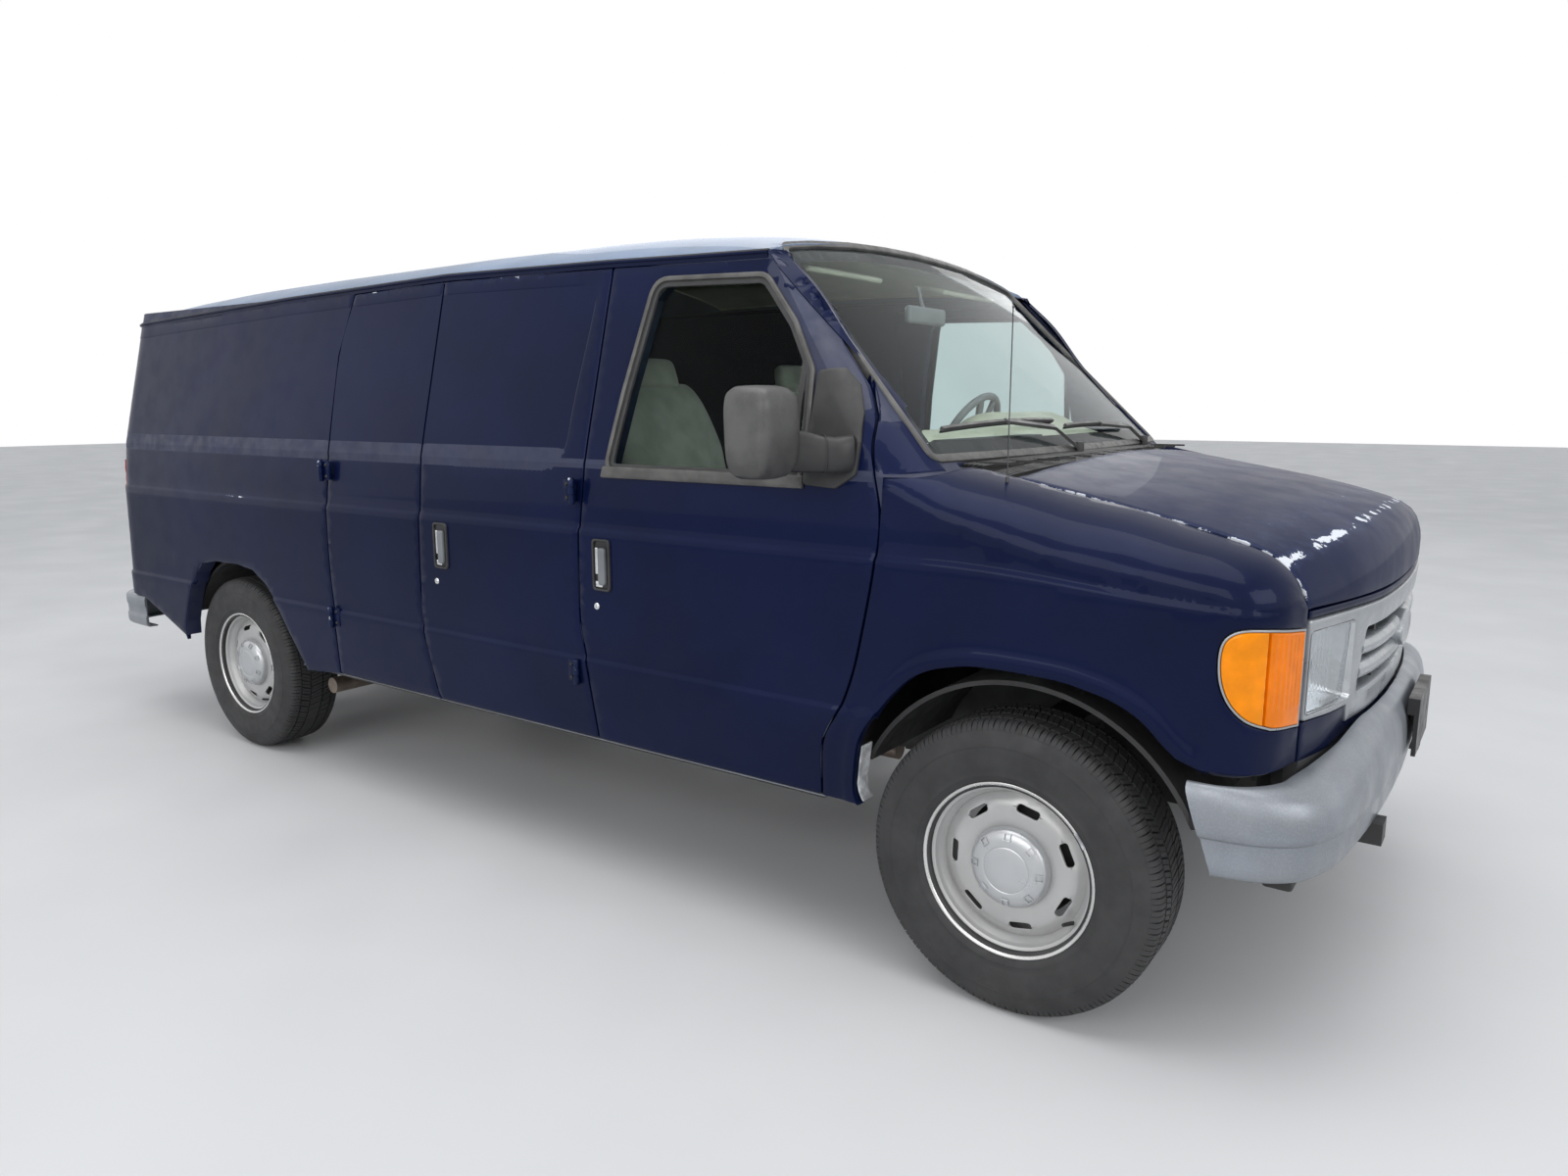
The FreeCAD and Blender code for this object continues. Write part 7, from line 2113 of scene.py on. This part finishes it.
def make_seat(side):
    y0 = 0.43 * side
    cushion = pad("cushion", [(0.455, 0.925), (0.6, 0.915), (0.8, 0.922), (0.92, 0.938), (0.985, 0.925)],
                  ((0, 1), (0.255, 0.262)), ((0, 0.8, 1), (0.05, 0.06, 0.04)), y0, seat_cloth,
                  (-0.155, 0.155))
    back = pad("back", [(0.49, 0.955), (0.462, 1.08), (0.425, 1.25), (0.375, 1.42), (0.335, 1.535)],
               ((0, 0.6, 1), (0.245, 0.265, 0.215)), ((0, 0.5, 1), (0.05, 0.058, 0.04)), y0, seat_cloth,
               (-0.15, 0.15))
    headrest = pad("headrest", [(0.345, 1.51), (0.335, 1.56), (0.322, 1.618)], ((0, 1), (0.118, 0.105)),
                   ((0, 1), (0.04, 0.034)), y0, seat_cloth)
    seat = joined("seat_pads_" + ("left" if side > 0 else "right"), [cushion, back, headrest])
    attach(seat, "root")
    return seat


seat_right = make_seat(-1)
make_seat(1)
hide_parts("seats")
frames = []
for side in (-1, 1):
    y0 = 0.43 * side
    frames.append(soft_box("seat_box", (0.47, y0 - 0.19, 0.592), (0.93, y0 + 0.19, 0.868), chassis, 0.012,
                           2))
    frames += [soft_box("slide", (0.42, y0 + off - 0.02, 0.862), (0.97, y0 + off + 0.02, 0.882), dark_metal,
                        0.004, 1) for off in (-0.17, 0.17)]
    frames.append(swept("lever", [(0.6, y0 - 0.255 * side, 0.9), (0.66, y0 - 0.275 * side, 0.91),
                                  (0.72, y0 - 0.275 * side, 0.9)], circle_section(0.009, 8), grey_trim))
    belt_y = 0.905 * side
    frames.append(swept("belt", [(0.5, belt_y, 1.62), (0.5, belt_y - 0.01 * side, 1.3),
                                 (0.5, belt_y - 0.02 * side, 0.85), (0.5, belt_y - 0.01 * side, 0.62)],
                        [(-0.022, -0.0008), (0.022, -0.0008), (0.022, 0.0008), (-0.022, 0.0008)],
                        rubber_mat, up=(0, 1, 0)))
seat_frames = joined("seat_frames", frames)
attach(seat_frames, "root")

# %% [markdown]
# A wheel is turned, so most of it is a profile spun about the axle: the barrel
# with its stepped lip, the cap, the tyre. The disc has seven slots, so it is a
# pressed sheet like the body's. Each of the tread's five rows is two small
# blocks, which the tree of copies repeats round the tyre.

# %% Wheel
BARREL = [(0.2185, -0.1), (0.2187, -0.1045), (0.217, -0.1058), (0.2135, -0.1052), (0.2105, -0.102),
          (0.209, -0.096), (0.208, -0.09), (0.205, -0.0862), (0.2, -0.085), (0.1965, -0.082),
          (0.195, -0.074), (0.192, -0.068), (0.185, -0.06), (0.18, -0.045), (0.179, 0.01), (0.185, 0.035),
          (0.195, 0.06), (0.2, 0.08), (0.206, 0.09), (0.212, 0.0985), (0.2185, 0.1), (0.2188, 0.096),
          (0.214, 0.093), (0.203, 0.083), (0.1985, 0.064), (0.1885, 0.038), (0.1825, 0.012),
          (0.1835, -0.043), (0.189, -0.056), (0.1965, -0.065), (0.1995, -0.078), (0.203, -0.082),
          (0.2085, -0.0835), (0.2115, -0.09), (0.213, -0.096)]
DISC = np.array(smooth_line([(0.055, 0.06), (0.085, 0.061), (0.1, 0.065), (0.115, 0.069), (0.135, 0.0695),
                             (0.155, 0.067), (0.168, 0.06), (0.176, 0.052), (0.186, 0.047)], 6))
CAP = [(0.0, -0.06), (0.1005, -0.06), (0.1012, -0.07), (0.1, -0.078), (0.0955, -0.087), (0.0885, -0.0925),
       (0.076, -0.097), (0.06, -0.1), (0.0585, -0.0998), (0.057, -0.0988), (0.0555, -0.0996),
       (0.053, -0.1005), (0.03, -0.1018), (0.0, -0.1022)]
SIDEWALL = [(0.204, 0.097), (0.212, 0.102), (0.2195, 0.103), (0.223, 0.1062), (0.23, 0.1095),
            (0.2345, 0.1108), (0.235, 0.1116), (0.2366, 0.112), (0.2371, 0.1118), (0.25, 0.1148),
            (0.27, 0.117), (0.29, 0.1173), (0.306, 0.116), (0.3066, 0.1167), (0.3082, 0.1165),
            (0.3088, 0.1155), (0.325, 0.1122), (0.338, 0.108), (0.344, 0.1056), (0.3444, 0.1046),
            (0.3464, 0.104), (0.348, 0.103), (0.353, 0.0985), (0.357, 0.09), (0.3592, 0.075),
            (0.3602, 0.04), (0.3606, 0.0)]
SLOTS, SLOT_RADIUS = 7, 0.15
BLOCKS, TREAD_RADIUS = 78, 0.366


def slot_loop(angle, long=0.029, wide=0.0102):
    ring = rounded([(-long, -wide), (long, -wide), (long, wide), (-long, wide)], 0.0098, 4)
    c, s = math.cos(angle), math.sin(angle)
    return [((SLOT_RADIUS + b) * s + a * c, (SLOT_RADIUS + b) * c - a * s) for a, b in ring]


def disc_surface(a, b):
    return np.stack([a, -np.interp(np.hypot(a, b), DISC[:, 0], DISC[:, 1]), b], axis=1)


slot_loops = [slot_loop(2 * math.pi * (k + 0.28) / SLOTS) for k in range(SLOTS)]


def slot_relief(a, b):
    """Metal pressed outwards beside each slot's inner edge, and pulled in at its ends."""
    pts = np.stack([a, b], axis=1)
    away = distance_to(pts, [loop + loop[:1] for loop in slot_loops])
    return 0.002 * (1 - smoothstep(away, 0.002, 0.014)) * np.sign(SLOT_RADIUS + 0.004 - np.hypot(a, b))


def make_wheel():
    barrel = spun("barrel", BARREL, wheel_silver, axis="Y", steps=112, crisp=50)
    barrel.data.materials.append(wheel_lip)
    for polygon in barrel.data.polygons:
        middle = polygon.center
        if math.hypot(middle.x, middle.z) > 0.2095 and middle.y < -0.095:
            polygon.material_index = 1
    disc = sheet_piece("disc", circle_section(0.186, 96), disc_surface, wheel_silver,
                       holes=[circle_section(0.06, 48)] + slot_loops, step=0.009, proud=0.0, deep=0.004,
                       back=-0.004, wall=0.0, hem=0.0015, loop_step=0.005, relief=slot_relief, crisp=60)
    cap = spun("cap", CAP, cap_silver, axis="Y", steps=96, crisp=35, closed=False)
    square = [(0.0, -0.0088, -0.0076), (0.0, 0.0088, -0.0076), (0.0, 0.0088, 0.0076),
              (0.0, -0.0088, 0.0076)]
    mark = swept("mark", [(b, -0.0015, 0.0 + a) for _, a, b in square],
                 [(-0.0014, -0.0018), (0.0014, -0.0018), (0.0011, 0.0016), (-0.0011, 0.0016)], cap_silver,
                 up=(0, -1, 0), closed=True)
    turned(mark, Matrix.Translation((0, -0.096, 0.083)) @ Matrix.Rotation(math.radians(-20), 4, "X"))
    marks = repeated(mark, 8, cap_silver, turn=(0, math.pi / 4, 0))
    back = spun("drum", [(0.0, -0.02), (0.11, -0.02), (0.14, -0.008), (0.15, 0.01), (0.15, 0.055),
                         (0.0, 0.055)], chassis, axis="Y", steps=64, closed=False)
    angle = math.radians(-33)
    direction = Vector((math.cos(angle), 0, math.sin(angle)))
    valve = swept("valve", [direction * 0.19 + Vector((0, -0.058, 0)),
                            direction * 0.184 + Vector((0, -0.075, 0)),
                            direction * 0.178 + Vector((0, -0.092, 0))], circle_section(0.0048, 10),
                  rubber_seal, up=(1, 0, 0))
    stem_cap = swept("valve_cap", [direction * 0.178 + Vector((0, -0.091, 0)),
                                   direction * 0.1755 + Vector((0, -0.1005, 0))],
                     circle_section(0.0044, 10), dark_metal, up=(1, 0, 0))
    arc = [(0.215 * math.cos(a), -0.1048, 0.215 * math.sin(a)) for a in np.linspace(0.5, 0.69, 8)]
    weight = swept("weight", arc, [(-0.004, -0.0015), (0.004, -0.0015), (0.003, 0.0018), (-0.003, 0.0018)],
                   whitish, up=(0, -1, 0))
    return joined("rim", [barrel, disc, cap, marks, back, valve, stem_cap, weight])


def tread_block(name, section, half_long, skew=0.0):
    """A block of tread: a section across the tyre, drawn a little way round it."""
    rows = [[(x + skew * (y if name != "shoulder" else 0), y, r) for y, r in section]
            for x in (-half_long, half_long)]
    return grid_piece(name, rows, tyre_black, closed_u=True, caps=True, crisp=30)


def make_tyre():
    body = spun("tyre_body", [(r, -y) for r, y in SIDEWALL] + [(r, y) for r, y in SIDEWALL[::-1][1:]],
                tyre_black, axis="Y", steps=128, crisp=50)
    shoulder = [(-0.1052, 0.343), (-0.105, 0.347), (-0.1, 0.356), (-0.0935, 0.3622), (-0.085, 0.365),
                (-0.07, 0.3664), (-0.0695, 0.3575), (-0.09, 0.354)]
    middle = [(-0.064, 0.359), (-0.0635, 0.3667), (-0.03, 0.3674), (-0.0295, 0.359)]
    centre = [(-0.0235, 0.359), (-0.023, 0.3676), (0.023, 0.3676), (0.0235, 0.359)]
    halves = ((shoulder, 0.006, 0.0, -0.0069), (shoulder, 0.006, 0.0, 0.0069),
              (middle, 0.0056, 0.35, -0.0064), (middle, 0.0056, 0.35, 0.0064))
    pitch = 2 * math.pi / BLOCKS
    pieces = [body]
    for flip in (1, -1):
        for number, (section, half_long, skew, phase) in enumerate(halves):
            block = tread_block("shoulder" if number < 2 else "middle", section, half_long, skew)
            turned(block, Matrix.Rotation(phase / TREAD_RADIUS + (pitch / 2 if flip < 0 else 0), 4, "Y"))
            if flip < 0:
                turned(block, ACROSS)
            pieces.append(repeated(block, BLOCKS, tyre_black, turn=(0, pitch, 0)))
    for phase in (-0.0068, 0.0068):
        block = tread_block("centre", centre, 0.006, -0.25)
        turned(block, Matrix.Rotation(phase / TREAD_RADIUS + pitch / 4, 4, "Y"))
        pieces.append(repeated(block, BLOCKS, tyre_black, turn=(0, pitch, 0)))
    return joined("tyre", pieces)


rim, tyre = make_wheel(), make_tyre()
for end, x, track in (("front", FRONT_AXLE, FRONT_TRACK), ("rear", REAR_AXLE, REAR_TRACK)):
    for side, sign in (("right", -1), ("left", 1)):
        place = Matrix.Translation((x, sign * track / 2, TYRE_RADIUS))
        if sign > 0:
            place = place @ ACROSS
        place = place @ Matrix.Rotation(math.radians(0 if end == "front" else 22), 4, "Y")
        for piece, kind, slot in ((rim, "rim", "wheel_paint"), (tyre, "tyre", "tyre_rubber")):
            item = turned(placed(f"{kind}_{end}_{side}_dressed", piece.data.copy()), place)
            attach(item, f"wheel_{end}_{side}")
            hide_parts(f"{kind}_{end}_{side}")
for piece in (rim, tyre):
    print(piece.name, len(piece.data.polygons), "faces")
    bpy.data.objects.remove(piece)

# %% [markdown]
# The rear bumper is the front one's recipe with its own plan and section, built
# facing forwards and then turned round. Small things that hang under the nose
# and the sills close the lower edge.

# %% Rear bumper, sills and brackets
rear_plan = np.array(smooth_line([(2.36, 0.99), (2.42, 0.991), (2.5, 0.989), (2.58, 0.982), (2.632, 0.95),
                                  (2.664, 0.9), (2.683, 0.8), (2.689, 0.6), (2.691, 0.3), (2.691, 0.0)],
                                 8))[::-1]
rear_tape = lengths_along(rear_plan)
REAR_SECTION = ((0.1, 0.568), (0.05, 0.576), (0.018, 0.58), (0.006, 0.576), (0.001, 0.566), (0, 0.545),
                (0.0005, 0.53), (0.004, 0.524), (0.005, 0.5), (0.004, 0.486), (0, 0.478), (0, 0.452),
                (0.003, 0.44), (0.012, 0.432), (0.05, 0.431), (0.05, 0.437), (0.014, 0.44), (0.01, 0.5),
                (0.012, 0.566), (0.05, 0.57), (0.1, 0.562))


def rear_place(share, inset, z):
    reach = rear_tape[-1] * 0.985 * abs(share)
    (x, y), (x2, y2) = [place_along(reach + d, rear_tape, rear_plan) for d in (-0.002, 0.002)]
    along = np.array([x2 - x, y2 - y]) / max(math.hypot(x2 - x, y2 - y), 1e-9)
    x, y = (x + x2) / 2 - along[1] * inset, (y + y2) / 2 + along[0] * inset
    return -x, math.copysign(y, share) if share else 0.0, z


rear_bumper = grid_piece("rear_bumper_shell", [[rear_place(s, *p) for p in REAR_SECTION]
                                               for s in [math.copysign(abs(k) ** 0.8, k)
                                                         for k in np.linspace(-1, 1, 111)]], bumper_silver,
                         closed_u=True, caps=True, crisp=45)
step_pad = grid_piece("step_pad", [[rear_place(s, *p)
                                    for p in ((0.018, 0.5795), (0.02, 0.5835), (0.085, 0.5755),
                                              (0.088, 0.57))] for s in np.linspace(-0.62, 0.62, 60)],
                      black_trim, closed_u=True, caps=True, crisp=30)
rear_bumper = joined("rear_bumper_whole", [rear_bumper, step_pad])
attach(rear_bumper, "root")
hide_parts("rear_bumper")

low = []
for side in (-1, 1):
    low.append(soft_box("sill", (-1.04, side * 0.96 - 0.03, 0.436), (1.425, side * 0.96 + 0.03, 0.4515),
                        chassis, 0.006, 2))
    low.append(soft_box("sill_line", (-1.05, side * 0.989 - 0.003, 0.4435),
                        (1.43, side * 0.989 + 0.003, 0.4475), bumper_silver, 0.0015, 1))
for side in (-1, 1):
    low.append(soft_box("air_foot", (2.47, side * 0.8 - 0.03, 0.415), (2.535, side * 0.8 + 0.03, 0.476),
                        chassis, 0.01, 2))
low.append(soft_box("valance", (2.4, -0.7, 0.6), (2.52, 0.7, 0.7), chassis, 0.02, 2))
plate_low, plate_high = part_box("plate_bracket")
plate_mid = (plate_low[2] + plate_high[2]) / 2
low.append(soft_box("plate_stay", (2.64, -0.11, plate_mid - 0.055),
                    (plate_low[0] + 0.002, 0.11, plate_mid + 0.03), chassis, 0.005, 2))
lower_trim = joined("lower_trims", low)
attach(lower_trim, "root")
flange_shares = ((-1.085, 0.24), (-1.118, 0.3), (-1.131, 0.36), (-1.118, 0.5), (-1.1, 0.64))
flange_path = [(FRONT_AXLE + TYRE_RADIUS * a + 0.006, -0.965, TYRE_RADIUS * (1 + b))
               for a, b in flange_shares]
flange_piece = swept("arch_flange_right", flange_path,
                     [(-0.024, -0.002), (0.024, -0.002), (0.024, 0.002), (-0.024, 0.002)], whitish,
                     up=(1, 0, 0))
flange_left = mirror_of(flange_piece, "arch_flange_left")
for piece in (flange_piece, flange_left):
    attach(piece, "root")

# %% [markdown]
# The CAD's own solids that stay in view, the chassis, axles, inner panels and
# flat glass, already have the right shape. They only get finishes. The floor
# pan's chassis black is painted shade for the wheel houses.

# %% Finishes for the CAD's solids
KEPT = {"side_left": inner_blue, "side_right": inner_blue, "door_left": inner_blue,
        "door_right": inner_blue, "cargo_door_front": inner_blue, "cargo_door_rear": inner_blue,
        "rear_door_left": inner_blue, "rear_door_right": inner_blue, "hood_panel": inner_blue,
        # The floor pan gets chassis black as painted shade: seen through the wheel arches it stands in for
        # shade on a floor that is body colour.
        "floor_pan": chassis, "frame_rails": chassis, "front_axle_beams": chassis, "leaf_springs": rusty,
        "rear_axle": rusty, "knuckle_left": rusty, "knuckle_right": rusty, "engine_block": engine_iron,
        "exhaust_pipe": exhaust_steel, "fuel_tank": tank_black, "plate_bracket": bracket_black,
        "door_glass_left": side_glass, "door_glass_right": side_glass, "rear_glass_left": rear_glass,
        "rear_glass_right": rear_glass}
for name, material in KEPT.items():
    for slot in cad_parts[name].material_slots:
        slot.material = material
print("finished", len(KEPT), "CAD nodes")

# %% [markdown]
# The camera stands where the photo was taken. Its place, aim and lens come from
# matching the wheels and the body's level lines. Four wide lamps light the van
# softly. The world looks white to the camera and in reflections, and lights the
# rest in a pale blue. The floor is the stage and no part of the van.

# %% Studio
FOCAL_PIXELS, PHOTO_WIDE, SENSOR_WIDE = 1082.1, 1600, 36.0


def make_camera():
    data = bpy.data.cameras.new("camera")
    camera = bpy.data.objects.new("camera", data)
    bpy.context.scene.collection.objects.link(camera)
    forward = Vector((-0.57154, 0.80227, -0.17233)).normalized()
    up = Vector((-0.09935, 0.14081, 0.98504))
    right = forward.cross(up).normalized()
    up = right.cross(forward)
    turn = Matrix((right, up, -forward)).transposed().to_4x4()
    camera.matrix_world = Matrix.Translation((2.8866, -3.2254, 1.4697)) @ turn
    data.sensor_width, data.lens = SENSOR_WIDE, FOCAL_PIXELS / PHOTO_WIDE * SENSOR_WIDE
    bpy.context.scene.camera = camera
    return camera


camera = make_camera()
bpy.context.scene.view_settings.view_transform = "Standard"


def lamp(name, place, aim, size, power, color=(1, 1, 1)):
    data = bpy.data.lights.new(name, "AREA")
    data.shape, data.size, data.size_y = "RECTANGLE", size[0], size[1]
    data.energy, data.color = power, color
    item = bpy.data.objects.new(name, data)
    bpy.context.scene.collection.objects.link(item)
    direction = Vector(aim) - Vector(place)
    item.matrix_world = Matrix.Translation(place) @ direction.to_track_quat("-Z", "Y").to_matrix().to_4x4()
    return item


lamp("top light", (1.0, -1.5, 6.5), (0.2, 0, 0.8), (7.0, 5.0), 250)
lamp("side light", (1.5, -8.5, 4.2), (0.0, 0, 1.0), (9.0, 3.5), 230)
lamp("front light", (8.5, -2.0, 3.8), (1.0, 0, 0.9), (5.0, 3.5), 150)
lamp("far light", (-4.0, 8.0, 4.5), (0, 0, 1.0), (8.0, 4.0), 120)
world = bpy.data.worlds.new("studio")
bpy.context.scene.world = world
world.use_nodes = True
tree = world.node_tree
background = tree.nodes["Background"]
background.inputs["Color"].default_value = (0.8, 0.84, 0.9, 1)
background.inputs["Strength"].default_value = 0.72
white = node(tree, "ShaderNodeBackground")
white.inputs["Color"].default_value = (1, 1, 1, 1)
white.inputs["Strength"].default_value = 1.0
path = node(tree, "ShaderNodeLightPath")
either = maths(tree, "MAXIMUM", path.outputs["Is Camera Ray"], path.outputs["Is Transmission Ray"])
either = maths(tree, "MAXIMUM", either, path.outputs["Is Glossy Ray"])
mix = node(tree, "ShaderNodeMixShader")
link(tree, either, mix.inputs[0])
link(tree, background.outputs[0], mix.inputs[1])
link(tree, white.outputs[0], mix.inputs[2])
link(tree, mix.outputs[0], tree.nodes["World Output"].inputs["Surface"])
floor_mat = finish("studio floor", (0.62, 0.62, 0.62), 0.55, grain=(40, 0.02, 0.001), vary=0.02,
                   vary_scale=0.5)
floor = grid_piece("floor", [[(x, y, 0) for x in (-40, 40)] for y in (-40, 40)], floor_mat)
